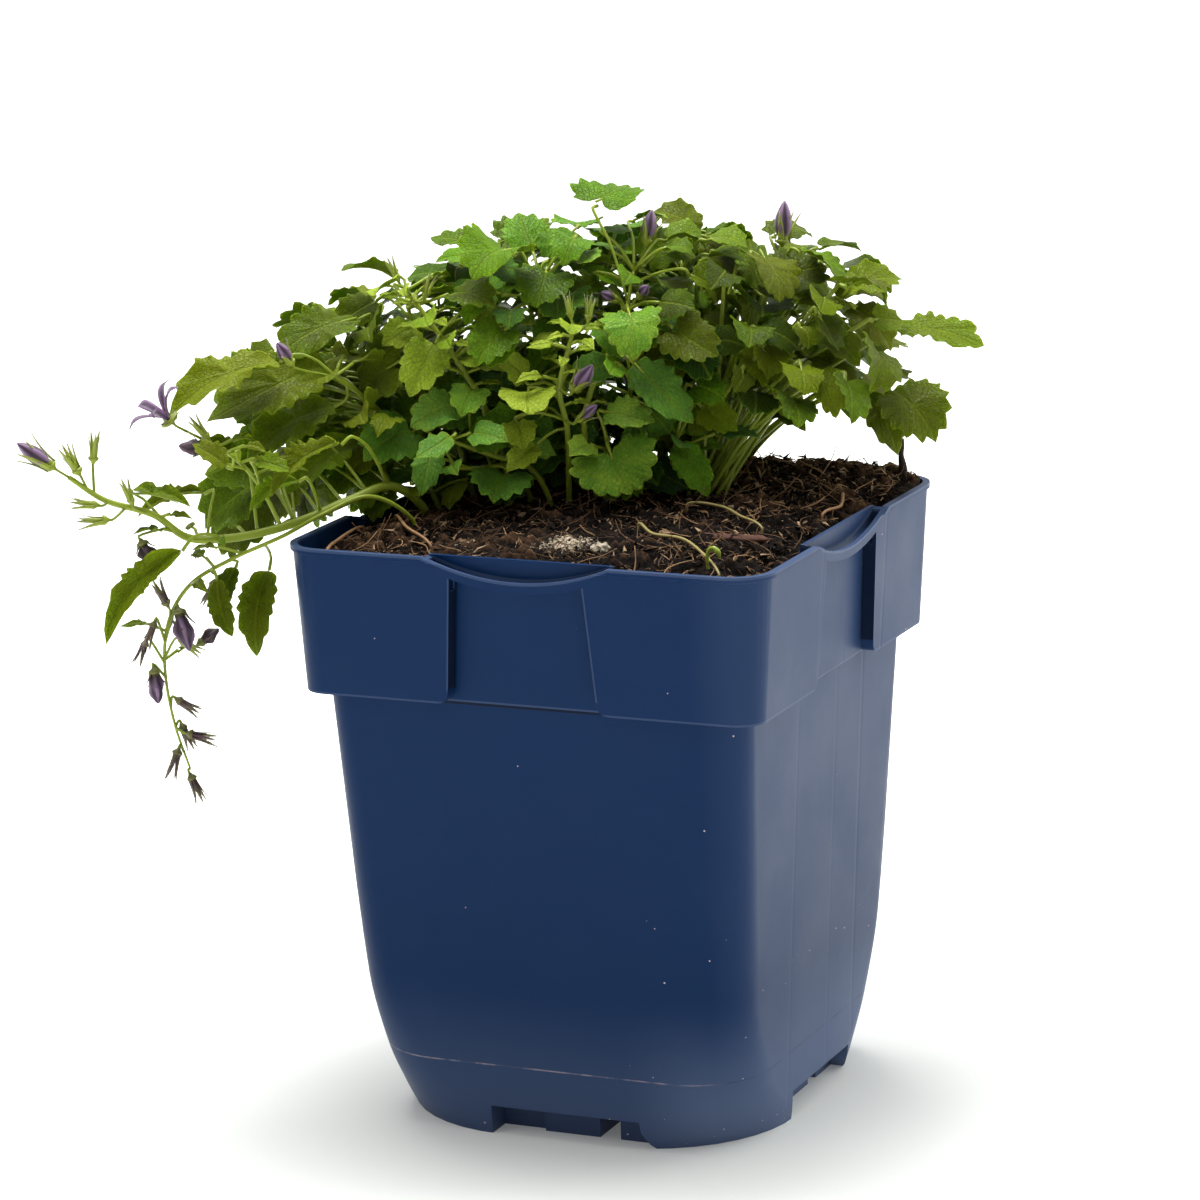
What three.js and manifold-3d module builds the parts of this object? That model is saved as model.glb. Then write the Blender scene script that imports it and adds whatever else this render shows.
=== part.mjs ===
// A bellflower in a square plastic nursery pot: trailing leafy stems with toothed leaves,
// violet buds and a star flower, rooted in peat that is heaped a little above the rim.
// Millimetres, +Z up. The origin is the middle of the pot's underside, and the pot's
// front wall faces -Y.
import * as THREE from "three";
import { mergeVertices } from "three/addons/utils/BufferGeometryUtils.js";
import Module from "manifold-3d";

const wasm = await Module();
wasm.setup();

// Driving dimensions of the pot
const POT_HEIGHT = 176;
const RIM_WIDTH = 150;
const BEAD_HEIGHT = 1.6;
const BEAD_PROUD = 0.8;
const COLLAR_HEIGHT = 43.5;
const WALL = 1.4;
const FLOOR = 2;
const CORNER_STEPS = 3;

// Wall outline at each height: [height, half width, corner radius]
const BODY_OUTLINE = [
  [0, 59.5, 43],
  [8, 60, 35],
  [21.5, 60.5, 23],
  [45, 61.6, 13],
  [POT_HEIGHT - COLLAR_HEIGHT + 0.5, 66, 8],
];
const COLLAR_OUTLINE = [
  [POT_HEIGHT - COLLAR_HEIGHT, 71.3, 8.5],
  [POT_HEIGHT - BEAD_HEIGHT, RIM_WIDTH / 2 - BEAD_PROUD, 12],
];

// Label panel in the middle of each side, and the bowed lip that crosses above it
const PANEL_DEPTH = 4;
const PANEL_HALF_TOP = 20.5;
const PANEL_HALF_BOTTOM = 23;
const PANEL_CORNER_RADIUS = 4;
const LIP_HEIGHT = 3;
const LIP_SAG = 6;
const LIP_HALF_SPAN = 29;
const POCKET_HALF_WIDTH = 27;
const POCKET_BOTTOM = POT_HEIGHT - 10;

// Drain notch under each side: it sits off the middle, with a stepped wall and a slot inside
const NOTCH_LEFT = -19;
const NOTCH_RIGHT = 32;
const NOTCH_SLANT = 4;
const NOTCH_HEIGHT = 8.6;
const NOTCH_DEPTH = 7;
const STEP_RIGHT = -5;
const STEP_DEPTH = 2;
const DRAIN_LEFT = 12.5;
const DRAIN_WIDTH = 6.5;
const DRAIN_END = 30;
const DRAIN_HOLE_LENGTH = 12;

// Peat
const SEAT_GAP = 0.3;
const SOIL_EDGE_HEIGHT = 169.5;
const SOIL_HEAP = 10;
const SOIL_CELLS = 9;
const SOIL_CELL = RIM_WIDTH / SOIL_CELLS;
const ROOT_DEPTH = 10;
const HOLE_CLEARANCE = 1.2;

// The clump's own X axis runs along its widest spread; the clump is turned by this on the pot
const CLUMP_TURN = THREE.MathUtils.degToRad(23.7);

const BLADE_THICKNESS = 0.9;
const STEM_RADIUS = 1.2;
const STEM_SIDES = 3;
const LEAFSTALK_RADIUS = 0.65;
const FLOWER_STALK_RADIUS = 0.5;
const CLEARANCE = 1.25;
const GOLDEN_ANGLE = 2.39996;
const SCRAP_VOLUME = 1;

const COLOURS = {
  pot: ["#1d3b66", 0.5],
  soil: ["#2f2119", 0.95],
  leaf: ["#4c7a2c", 0.6],
  shoot: ["#7c9c33", 0.6],
  bloom: ["#6f5596", 0.6],
  faded: ["#5f4560", 0.75],
  perlite: ["#c9c0b0", 0.9],
  root: ["#a9a56c", 0.8],
  straw: ["#b08c5a", 0.85],
  bark: ["#5d3a26", 0.9],
};

// Solids

function solidOf(geometry) {
  const bare = geometry.index ? geometry.toNonIndexed() : geometry.clone();
  for (const name of Object.keys(bare.attributes)) {
    if (name !== "position") bare.deleteAttribute(name);
  }
  const merged = mergeVertices(bare, 1e-4);
  return new wasm.Manifold(
    new wasm.Mesh({
      numProp: 3,
      vertProperties: merged.attributes.position.array,
      triVerts: new Uint32Array(merged.index.array),
    }),
  );
}

function geometryOf(solid) {
  const { vertProperties, triVerts, numProp } = solid.getMesh();
  const count = vertProperties.length / numProp;
  const positions = new Float32Array(count * 3);
  for (let i = 0; i < count; i++) {
    positions.set(vertProperties.subarray(i * numProp, i * numProp + 3), i * 3);
  }
  const geometry = new THREE.BufferGeometry();
  geometry.setAttribute("position", new THREE.BufferAttribute(positions, 3));
  geometry.setIndex(new THREE.BufferAttribute(triVerts, 1));
  geometry.computeVertexNormals();
  return geometry;
}

const joined = (solids) => wasm.Manifold.union(solids);

// The parts joined into one body, without the scraps and the sealed hollows between them
function fused(parts) {
  const bodies = joined(parts).decompose();
  return joined(bodies.filter((body) => body.volume() > SCRAP_VOLUME));
}

function geometryFrom(points, faces) {
  const geometry = new THREE.BufferGeometry();
  geometry.setAttribute(
    "position",
    new THREE.Float32BufferAttribute(points.flatMap((p) => [p.x, p.y, p.z]), 3),
  );
  geometry.setIndex(faces.flat());
  return geometry;
}

// A solid through a stack of rings with the same number of points, each ring anticlockwise
function loft(rings) {
  const size = rings[0].length;
  const points = rings.flat();
  const faces = [];
  for (let ring = 0; ring < rings.length - 1; ring++) {
    for (let i = 0; i < size; i++) {
      const a = ring * size + i;
      const b = ring * size + ((i + 1) % size);
      faces.push([a, b, b + size], [a, b + size, a + size]);
    }
  }
  for (const ring of [0, rings.length - 1]) {
    const centre = new THREE.Vector3();
    rings[ring].forEach((p) => centre.addScaledVector(p, 1 / size));
    points.push(centre);
    for (let i = 0; i < size; i++) {
      const a = ring * size + i;
      const b = ring * size + ((i + 1) % size);
      faces.push(ring === 0 ? [b, a, points.length - 1] : [a, b, points.length - 1]);
    }
  }
  return solidOf(geometryFrom(points, faces));
}

// Pot

function squareRing(z, half, radius, inset) {
  const corner = Math.max(radius - inset, 1);
  const arcCentre = half - inset - corner;
  const ring = [];
  for (let quarter = 0; quarter < 4; quarter++) {
    for (let step = 0; step <= CORNER_STEPS; step++) {
      const angle = (quarter + step / CORNER_STEPS) * (Math.PI / 2);
      const [sx, sy] = [[1, 1], [-1, 1], [-1, -1], [1, -1]][quarter];
      ring.push(
        new THREE.Vector3(
          sx * arcCentre + corner * Math.cos(angle),
          sy * arcCentre + corner * Math.sin(angle),
          z,
        ),
      );
    }
  }
  return ring;
}

const outlineLoft = (levels, inset) =>
  loft(levels.map(([z, half, radius]) => squareRing(z, half, radius, inset)));

const collarSlope = () => {
  const [[z0, half0], [z1, half1]] = COLLAR_OUTLINE;
  return (half1 - half0) / (z1 - z0);
};
const collarHalf = (z) => COLLAR_OUTLINE[0][1] + collarSlope() * (z - COLLAR_OUTLINE[0][0]);

// A shape drawn on the front wall (x along the wall, y up), extruded from one depth behind the
// collar's face to another, and leaned with the wall
function frontBlock(shape, from, to, leaned = true) {
  const geometry = new THREE.ExtrudeGeometry(shape, {
    depth: to - from,
    bevelEnabled: false,
    curveSegments: 2,
  });
  geometry.rotateX(Math.PI / 2);
  const position = geometry.attributes.position;
  for (let i = 0; i < position.count; i++) {
    const z = position.getZ(i);
    const face = leaned ? collarHalf(z) : BODY_OUTLINE[0][1];
    position.setY(i, position.getY(i) - face + to);
  }
  return solidOf(geometry);
}

const lipTop = (u) => POT_HEIGHT - LIP_SAG * (1 - (u / LIP_HALF_SPAN) ** 2);

function rectangle(left, bottom, right, top) {
  const shape = new THREE.Shape();
  shape.moveTo(left, bottom);
  shape.lineTo(right, bottom);
  shape.lineTo(right, top);
  shape.lineTo(left, top);
  shape.closePath();
  return shape;
}

// The panel's outline: flared at its foot, and bowed under the lip
function panelShape() {
  const bottom = POT_HEIGHT - COLLAR_HEIGHT - 2;
  const shoulder = bottom + 2 + PANEL_CORNER_RADIUS;
  const halfBottom = PANEL_HALF_BOTTOM;
  const halfTop = PANEL_HALF_TOP;
  const shape = new THREE.Shape();
  shape.moveTo(-halfBottom - PANEL_CORNER_RADIUS, bottom);
  shape.lineTo(halfBottom + PANEL_CORNER_RADIUS, bottom);
  shape.lineTo(halfBottom + PANEL_CORNER_RADIUS, shoulder - PANEL_CORNER_RADIUS);
  shape.quadraticCurveTo(halfBottom, shoulder - PANEL_CORNER_RADIUS, halfBottom, shoulder);
  const steps = 4;
  for (let i = 0; i <= steps; i++) {
    const u = halfTop - (2 * halfTop * i) / steps;
    shape.lineTo(u, lipTop(u) - LIP_HEIGHT);
  }
  shape.lineTo(-halfBottom, shoulder);
  shape.quadraticCurveTo(
    -halfBottom,
    shoulder - PANEL_CORNER_RADIUS,
    -halfBottom - PANEL_CORNER_RADIUS,
    shoulder - PANEL_CORNER_RADIUS,
  );
  shape.closePath();
  return shape;
}

function lipCutShape() {
  const shape = new THREE.Shape();
  const steps = 8;
  shape.moveTo(LIP_HALF_SPAN, POT_HEIGHT + 4);
  shape.lineTo(-LIP_HALF_SPAN, POT_HEIGHT + 4);
  for (let i = 0; i <= steps; i++) {
    const u = -LIP_HALF_SPAN + (2 * LIP_HALF_SPAN * i) / steps;
    shape.lineTo(u, lipTop(u) + 0.001);
  }
  shape.closePath();
  return shape;
}

function notchShape() {
  const slantTop = NOTCH_RIGHT - NOTCH_SLANT;
  const shape = new THREE.Shape();
  shape.moveTo(NOTCH_LEFT, -5);
  shape.lineTo(NOTCH_RIGHT, -5);
  shape.lineTo(NOTCH_RIGHT, 0);
  shape.quadraticCurveTo(slantTop, NOTCH_HEIGHT * 0.4, slantTop, NOTCH_HEIGHT);
  shape.lineTo(NOTCH_LEFT, NOTCH_HEIGHT);
  shape.closePath();
  return shape;
}

// Cuts in the front side, from outside: the panel, the pocket behind the lip, the room over
// the lip, and the notch with its step, slot and drain hole
function frontCuts() {
  const drainRight = DRAIN_LEFT + DRAIN_WIDTH;
  const step = rectangle(NOTCH_LEFT, -5, STEP_RIGHT, NOTCH_HEIGHT);
  const slot = rectangle(DRAIN_LEFT, -5, drainRight, NOTCH_HEIGHT);
  const hole = rectangle(DRAIN_LEFT, 0, drainRight, NOTCH_HEIGHT + WALL + 4);
  const pocket = rectangle(
    -POCKET_HALF_WIDTH,
    POCKET_BOTTOM,
    POCKET_HALF_WIDTH,
    POT_HEIGHT + 5,
  );
  return [
    frontBlock(panelShape(), -4, PANEL_DEPTH),
    frontBlock(pocket, WALL, PANEL_DEPTH),
    frontBlock(lipCutShape(), -4, PANEL_DEPTH),
    frontBlock(notchShape(), -5, NOTCH_DEPTH, false),
    frontBlock(step, -5, NOTCH_DEPTH + STEP_DEPTH, false),
    frontBlock(slot, -5, DRAIN_END, false),
    frontBlock(hole, DRAIN_END - DRAIN_HOLE_LENGTH, DRAIN_END, false),
  ];
}

// The same places seen from the hollow: plain blocks, a wall's thickness larger, that keep it off
function frontKeepOff(wall) {
  const top = NOTCH_HEIGHT + wall;
  const side = PANEL_HALF_BOTTOM + PANEL_CORNER_RADIUS + wall;
  const panel = rectangle(-side, POT_HEIGHT - COLLAR_HEIGHT - 3, side, POT_HEIGHT + 30);
  const notch = rectangle(NOTCH_LEFT - wall, -5, NOTCH_RIGHT + wall, top);
  const slot = rectangle(DRAIN_LEFT - wall, -5, DRAIN_LEFT + DRAIN_WIDTH + wall, top);
  return [
    frontBlock(panel, -4, PANEL_DEPTH + wall),
    frontBlock(notch, -5, NOTCH_DEPTH + STEP_DEPTH + wall, false),
    frontBlock(slot, -5, DRAIN_END + wall, false),
  ];
}

const onFourSides = (blocks) =>
  joined([0, 90, 180, 270].flatMap((turn) => blocks.map((b) => b.rotate([0, 0, turn]))));

// The room inside the pot, smaller all round by the gap
function hollow(gap, top) {
  const inset = WALL + gap;
  const body = BODY_OUTLINE.map(([z, half, radius]) => [z, half, radius]);
  body[0] = [FLOOR + gap, 59.7, 41];
  const collarFloor = POT_HEIGHT - COLLAR_HEIGHT + WALL + gap;
  const topHalf = collarHalf(POT_HEIGHT);
  const collar = [
    [collarFloor, collarHalf(collarFloor), 9],
    [POT_HEIGHT, topHalf, 12],
    [top, topHalf, 12],
  ];
  body[body.length - 1] = [collarFloor + 1, 66, 8];
  const room = joined([outlineLoft(body, inset), outlineLoft(collar, inset)]);
  return room.subtract(onFourSides(frontKeepOff(inset)));
}

function potSolid() {
  const bead = [
    [POT_HEIGHT - BEAD_HEIGHT - 0.4, RIM_WIDTH / 2 - BEAD_PROUD - 0.1, 12],
    [POT_HEIGHT - BEAD_HEIGHT, RIM_WIDTH / 2, 12.8],
    [POT_HEIGHT, RIM_WIDTH / 2, 12.8],
  ];
  const shell = joined([
    outlineLoft(BODY_OUTLINE, 0),
    outlineLoft(COLLAR_OUTLINE, 0),
    outlineLoft(bead, 0),
  ]);
  return shell.subtract(hollow(0, POT_HEIGHT + 20)).subtract(onFourSides(frontCuts()));
}

// Peat

// Height of the heap at a crossing of its grid: level along the front rim, heaped up towards the
// back, lumpy all over
function heapHeight(column, row) {
  const x = column * SOIL_CELL - RIM_WIDTH / 2;
  const y = row * SOIL_CELL - RIM_WIDTH / 2;
  const edge = Math.min(1, Math.max(0, (73 - Math.max(Math.abs(x), Math.abs(y))) / 26));
  const rise = SOIL_HEAP * edge * (2 - edge) * (0.35 + (0.65 * (y + 75)) / 150);
  const lumps =
    0.9 * Math.sin(0.31 * x + 1) * Math.cos(0.27 * y) + 0.8 * Math.sin(0.7 * x + 0.5 * y);
  return SOIL_EDGE_HEIGHT + rise + (y > 0 ? 0.03 * y : 0) + lumps;
}

// Height of the peat anywhere: each cell of the grid is two flat triangles
function soilHeight(x, y) {
  const across = (x + RIM_WIDTH / 2) / SOIL_CELL;
  const back = (y + RIM_WIDTH / 2) / SOIL_CELL;
  const column = Math.min(SOIL_CELLS - 1, Math.max(0, Math.floor(across)));
  const row = Math.min(SOIL_CELLS - 1, Math.max(0, Math.floor(back)));
  const [u, v] = [across - column, back - row];
  const near = heapHeight(column, row);
  const far = heapHeight(column + 1, row + 1);
  const side = u > v ? heapHeight(column + 1, row) : heapHeight(column, row + 1);
  const [first, second] = u > v ? [u, v] : [v, u];
  return near + first * (side - near) + second * (far - side);
}

function soilSolid(cuts) {
  const half = RIM_WIDTH / 2;
  const row = SOIL_CELLS + 1;
  const points = [];
  for (let j = 0; j < row; j++) {
    for (let i = 0; i < row; i++) {
      const [x, y] = [i * SOIL_CELL - half, j * SOIL_CELL - half];
      points.push(new THREE.Vector3(x, y, heapHeight(i, j)));
    }
  }
  const faces = [];
  const border = [];
  for (let j = 0; j < SOIL_CELLS; j++) {
    for (let i = 0; i < SOIL_CELLS; i++) {
      const a = j * row + i;
      faces.push([a, a + 1, a + row + 1], [a, a + row + 1, a + row]);
    }
  }
  for (let i = 0; i < SOIL_CELLS; i++) border.push(i);
  for (let j = 0; j < SOIL_CELLS; j++) border.push(j * row + SOIL_CELLS);
  for (let i = SOIL_CELLS; i > 0; i--) border.push(SOIL_CELLS * row + i);
  for (let j = SOIL_CELLS; j > 0; j--) border.push(j * row);
  const foot = points.length;
  points.push(new THREE.Vector3(0, 0, -1));
  const low = points.length;
  border.forEach((index) => points.push(points[index].clone().setZ(-1)));
  border.forEach((index, k) => {
    const next = (k + 1) % border.length;
    faces.push([index, low + k, low + next], [index, low + next, border[next]]);
    faces.push([low + next, low + k, foot]);
  });
  const heap = solidOf(geometryFrom(points, faces));
  return hollow(SEAT_GAP, POT_HEIGHT + 25).intersect(heap).subtract(joined(cuts));
}

// Plant frame and paths

const vector = ([x, y, z]) => new THREE.Vector3(x, y, z);
const turned = (x, y) => [
  x * Math.cos(CLUMP_TURN) - y * Math.sin(CLUMP_TURN),
  x * Math.sin(CLUMP_TURN) + y * Math.cos(CLUMP_TURN),
];
const groundAt = (x, y) => soilHeight(...turned(x, y));

// A smooth path through its points (each span a cubic with the neighbours' slope)
class SmoothPath extends THREE.Curve {
  constructor(points) {
    super();
    this.points = points;
  }
  getPoint(t, target = new THREE.Vector3()) {
    const last = this.points.length - 1;
    const span = Math.min(Math.floor(t * last), last - 1);
    const s = t * last - span;
    const p1 = this.points[span];
    const p2 = this.points[span + 1];
    const p0 = this.points[Math.max(span - 1, 0)];
    const p3 = this.points[Math.min(span + 2, last)];
    const length = p1.distanceTo(p2);
    const before = length / (length + p0.distanceTo(p1));
    const after = length / (length + p2.distanceTo(p3));
    for (const axis of ["x", "y", "z"]) {
      const m1 = (p2[axis] - p0[axis]) * before;
      const m2 = (p3[axis] - p1[axis]) * after;
      target[axis] =
        (2 * s ** 3 - 3 * s ** 2 + 1) * p1[axis] +
        (s ** 3 - 2 * s ** 2 + s) * m1 +
        (3 * s ** 2 - 2 * s ** 3) * p2[axis] +
        (s ** 3 - s ** 2) * m2;
    }
    return target;
  }
}

function tube(points, radius, sides, steps) {
  const section = new THREE.Shape();
  for (let i = 0; i < sides; i++) {
    const angle = (2 * Math.PI * i) / sides;
    const [x, y] = [radius * Math.cos(angle), radius * Math.sin(angle)];
    if (i === 0) section.moveTo(x, y);
    else section.lineTo(x, y);
  }
  section.closePath();
  const extrudePath = new SmoothPath(points);
  return solidOf(new THREE.ExtrudeGeometry(section, { steps, extrudePath, bevelEnabled: false }));
}

// Leaves. A blade lies in its own frame: along runs from its base to its tip, across to its
// side, and face is its upper side. Its outline is polar about a point 0.4 of the way along.

function makeLeaf(base, tip, width, facing, heart, teeth, phase) {
  const along = tip.clone().sub(base);
  const length = along.length();
  along.normalize();
  const face = facing.clone().addScaledVector(along, -facing.dot(along)).normalize();
  const across = face.clone().cross(along);
  return { base, length, width, along, face, across, heart, teeth, phase };
}

function outlineRadius(leaf, angle) {
  const reach = (Math.cos(angle) > 0 ? 0.6 : 0.4) * leaf.length;
  const side = leaf.width / 2;
  const oval = 1 / Math.hypot(Math.cos(angle) / reach, Math.sin(angle) / side);
  const back = Math.max(0, -Math.cos(angle));
  const lobe = 0.7 * back * Math.abs(Math.sin(angle));
  return oval * (1 + leaf.heart * (lobe - 0.6 * back ** 12));
}

// Height of the blade above its own plane: arched along, folded up at the midrib, waved at the rim
function bladeHeight(leaf, u, v) {
  const t = u / leaf.length;
  const angle = Math.atan2(v, u - 0.4 * leaf.length);
  const out = Math.hypot(v, u - 0.4 * leaf.length) / outlineRadius(leaf, angle);
  const arch = 0.1 * leaf.length * 4 * t * (1 - t);
  const wave = 0.035 * leaf.length * out * out * Math.sin(4 * angle + leaf.phase);
  return arch + 0.22 * Math.abs(v) + wave;
}

function bladePoint(leaf, u, v, above = 0) {
  return leaf.base
    .clone()
    .addScaledVector(leaf.along, u)
    .addScaledVector(leaf.across, v)
    .addScaledVector(leaf.face, bladeHeight(leaf, u, v) + above);
}

// Toothed outline as [u, v] points, anticlockwise from the tip
function toothedOutline(leaf) {
  const side = 2 * leaf.teeth + 1;
  const outline = [];
  for (let j = 0; j < 2 * side; j++) {
    const isTooth = j % side !== 0 && (j < side ? j : 2 * side - j) % 2 === 0;
    const isValley = j % side !== 0 && !isTooth;
    const lean = isTooth ? (j < side ? -0.25 : 0.25) : 0;
    const angle = (Math.PI * (j + lean)) / side;
    const radius = outlineRadius(leaf, angle) * (isValley ? 0.84 : 1);
    outline.push([0.4 * leaf.length + radius * Math.cos(angle), radius * Math.sin(angle)]);
  }
  return outline;
}

// Blade and leafstalk are one closed surface: the stalk's square section grows out of a short
// edge at the blade's base
function leafSolid({ leaf, stalk, rings }) {
  const outline = toothedOutline(leaf);
  const baseIndex = outline.length / 2;
  const [baseAlong] = outline[baseIndex];
  const half = BLADE_THICKNESS / 2;
  outline.splice(baseIndex, 1, [baseAlong, half], [baseAlong, -half]);
  const size = outline.length;
  const middle = 0.4 * leaf.length;
  const points = [
    ...outline.map(([u, v]) => bladePoint(leaf, u, v, half)),
    ...outline.map(([u, v]) => bladePoint(leaf, u, v, -half)),
    bladePoint(leaf, middle, 0, half),
    bladePoint(leaf, middle, 0, -half),
  ];
  const faces = [];
  for (let i = 0; i < size; i++) {
    const next = (i + 1) % size;
    faces.push([i, next, 2 * size], [next + size, i + size, 2 * size + 1]);
    if (i !== baseIndex) faces.push([i, i + size, next + size], [i, next + size, next]);
  }
  let ring = [baseIndex, baseIndex + 1, baseIndex + 1 + size, baseIndex + size];
  for (const corners of stalkRings(leaf, stalk, rings)) {
    const first = points.length;
    points.push(...corners);
    ring.forEach((index, k) => {
      const next = (k + 1) % 4;
      faces.push([index, first + k, first + next], [index, first + next, ring[next]]);
    });
    ring = corners.map((_, k) => first + k);
  }
  faces.push([ring[2], ring[1], ring[0]], [ring[3], ring[2], ring[0]]);
  return solidOf(geometryFrom(points, faces));
}

// Sections of a leafstalk: [share of the way from the stem to the blade, half width]
const STALK_BEND = [0.45, LEAFSTALK_RADIUS];
const STALK_END = [0, 0.3];
const SHORT_STALK = 15;

// Square sections down the stalk, carried from the blade to the stem without twisting
function stalkRings(leaf, stalk, places) {
  const path = new SmoothPath(stalk);
  const side = leaf.across.clone();
  const rings = [];
  for (const [t, radius] of places) {
    const tangent = path.getTangent(t);
    side.addScaledVector(tangent, -side.dot(tangent)).normalize();
    const up = tangent.clone().cross(side);
    const centre = path.getPoint(t, new THREE.Vector3());
    const corner = (a, b) =>
      centre
        .clone()
        .addScaledVector(side, a * radius)
        .addScaledVector(up, b * radius);
    rings.push([corner(1, 1), corner(-1, 1), corner(-1, -1), corner(1, -1)]);
  }
  return rings;
}

// The leafstalk leaves its stem, bends, and runs on to the blade's base
function stalkPoints(leaf, from) {
  const end = leaf.base.clone().addScaledVector(leaf.along, 0.1 * leaf.length * leaf.heart);
  const entry = end.clone().addScaledVector(leaf.along, -0.15 * leaf.length);
  const middle = from.clone().lerp(entry, 0.5);
  middle.z += 0.12 * from.distanceTo(entry);
  return [from, middle, entry, end];
}

// Keeping clear. Every placed piece is known by sample points on its stalk, and on its blade's
// rim and midrib. Two pieces are clear when no sample of one is within reach of the other.

const placed = [];

function tubeSamples(points, radius) {
  const path = new SmoothPath(points);
  const samples = [];
  let length = 0;
  for (let i = 1; i < points.length; i++) length += points[i].distanceTo(points[i - 1]);
  const count = Math.max(3, Math.ceil(length / 1.5));
  for (let i = 0; i <= count; i++) samples.push(path.getPoint(i / count, new THREE.Vector3()));
  return { samples, radius };
}

function bladeSamples(leaf) {
  const rays = [];
  const steps = 16;
  for (let i = 0; i < steps; i++) {
    const angle = (2 * Math.PI * i) / steps;
    const ray = [];
    for (let k = 1; k <= 6; k++) {
      const radius = (outlineRadius(leaf, angle) * k) / 6;
      ray.push(
        bladePoint(leaf, 0.4 * leaf.length + radius * Math.cos(angle), radius * Math.sin(angle)),
      );
    }
    rays.push(ray);
  }
  const rim = rays.map((ray) => ray[5]);
  rim.push(rim[0]);
  return [...rays, rim];
}

function boundsOf(piece) {
  const points = [...piece.stalk.samples, ...piece.rays.flat()];
  const centre = new THREE.Vector3();
  points.forEach((p) => centre.addScaledVector(p, 1 / points.length));
  const reach = Math.max(...points.map((p) => p.distanceTo(centre))) + 1.5;
  return { centre, reach };
}

function pieceOf(node, stalkPath, radius, leaf) {
  const piece = { node, leaf };
  piece.stalk = tubeSamples(stalkPath, radius);
  piece.rays = leaf ? bladeSamples(leaf) : [];
  piece.bounds = boundsOf(piece);
  return piece;
}

// Height of a point over a blade's surface, or null where it is past the blade's outline
function heightOver(leaf, point) {
  const offset = point.clone().sub(leaf.base);
  const u = offset.dot(leaf.along);
  const v = offset.dot(leaf.across);
  const angle = Math.atan2(v, u - 0.4 * leaf.length);
  if (Math.hypot(v, u - 0.4 * leaf.length) > outlineRadius(leaf, angle) + 0.8) return null;
  return offset.dot(leaf.face) - bladeHeight(leaf, u, v);
}

function lineMeetsBlade(samples, leaf, reach) {
  let before = null;
  for (const sample of samples) {
    const height = heightOver(leaf, sample);
    if (height !== null && Math.abs(height) < reach) return true;
    if (height !== null && before !== null && height * before < 0) return true;
    before = height;
  }
  return false;
}

function tubesMeet(a, b) {
  const reach = a.radius + b.radius + 0.5;
  return a.samples.some((p) => b.samples.some((q) => p.distanceTo(q) < reach));
}

function piecesMeet(a, b) {
  const distance = a.bounds.centre.distanceTo(b.bounds.centre);
  if (distance > a.bounds.reach + b.bounds.reach) return false;
  if (a.node !== b.node && tubesMeet(a.stalk, b.stalk)) return true;
  for (const [p, q] of [[a, b], [b, a]]) {
    if (!q.leaf) continue;
    if (lineMeetsBlade(p.stalk.samples, q.leaf, p.stalk.radius + 0.9)) return true;
    if (p.rays.some((ray) => lineMeetsBlade(ray, q.leaf, CLEARANCE))) return true;
  }
  return false;
}

// The lowest that foliage may reach over the peat and the rim
function lowestAt(point) {
  const [x, y] = turned(point.x, point.y);
  const out = Math.max(Math.abs(x), Math.abs(y));
  if (out < 72) return soilHeight(x, y) + 1.4;
  if (out < 77) return POT_HEIGHT + 1.2;
  return -Infinity;
}

const isClear = (piece) =>
  !placed.some((other) => piecesMeet(piece, other)) &&
  !piece.rays.flat().some((p) => p.z < lowestAt(p) || insidePot(p)) &&
  !piece.stalk.samples.slice(1).some((p) => p.z < lowestAt(p) - 0.6 || insidePot(p));

// Beside the pot, foliage keeps off the collar
function insidePot(point) {
  const [x, y] = turned(point.x, point.y);
  const out = Math.max(Math.abs(x), Math.abs(y));
  return point.z < POT_HEIGHT - 2 && out > 72 && out < 77.5;
}

// Random draws, the same on every run

let draw = 20;
function random() {
  draw = (draw * 1664525 + 1013904223) % 4294967296;
  return draw / 4294967296;
}
const between = (low, high) => low + (high - low) * random();

// Sprays. Places are [along the spread, towards the back, height], in the clump's own frame.
// Each has a root in the peat, the points that its stem passes, and its leaves; sprig leaves
// follow the rule below. A leaf is [base, tip, width, lean towards the front in degrees,
// heart shape 0 to 1, teeth on each side, where its stalk leaves the stem, 0 to 1].

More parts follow.
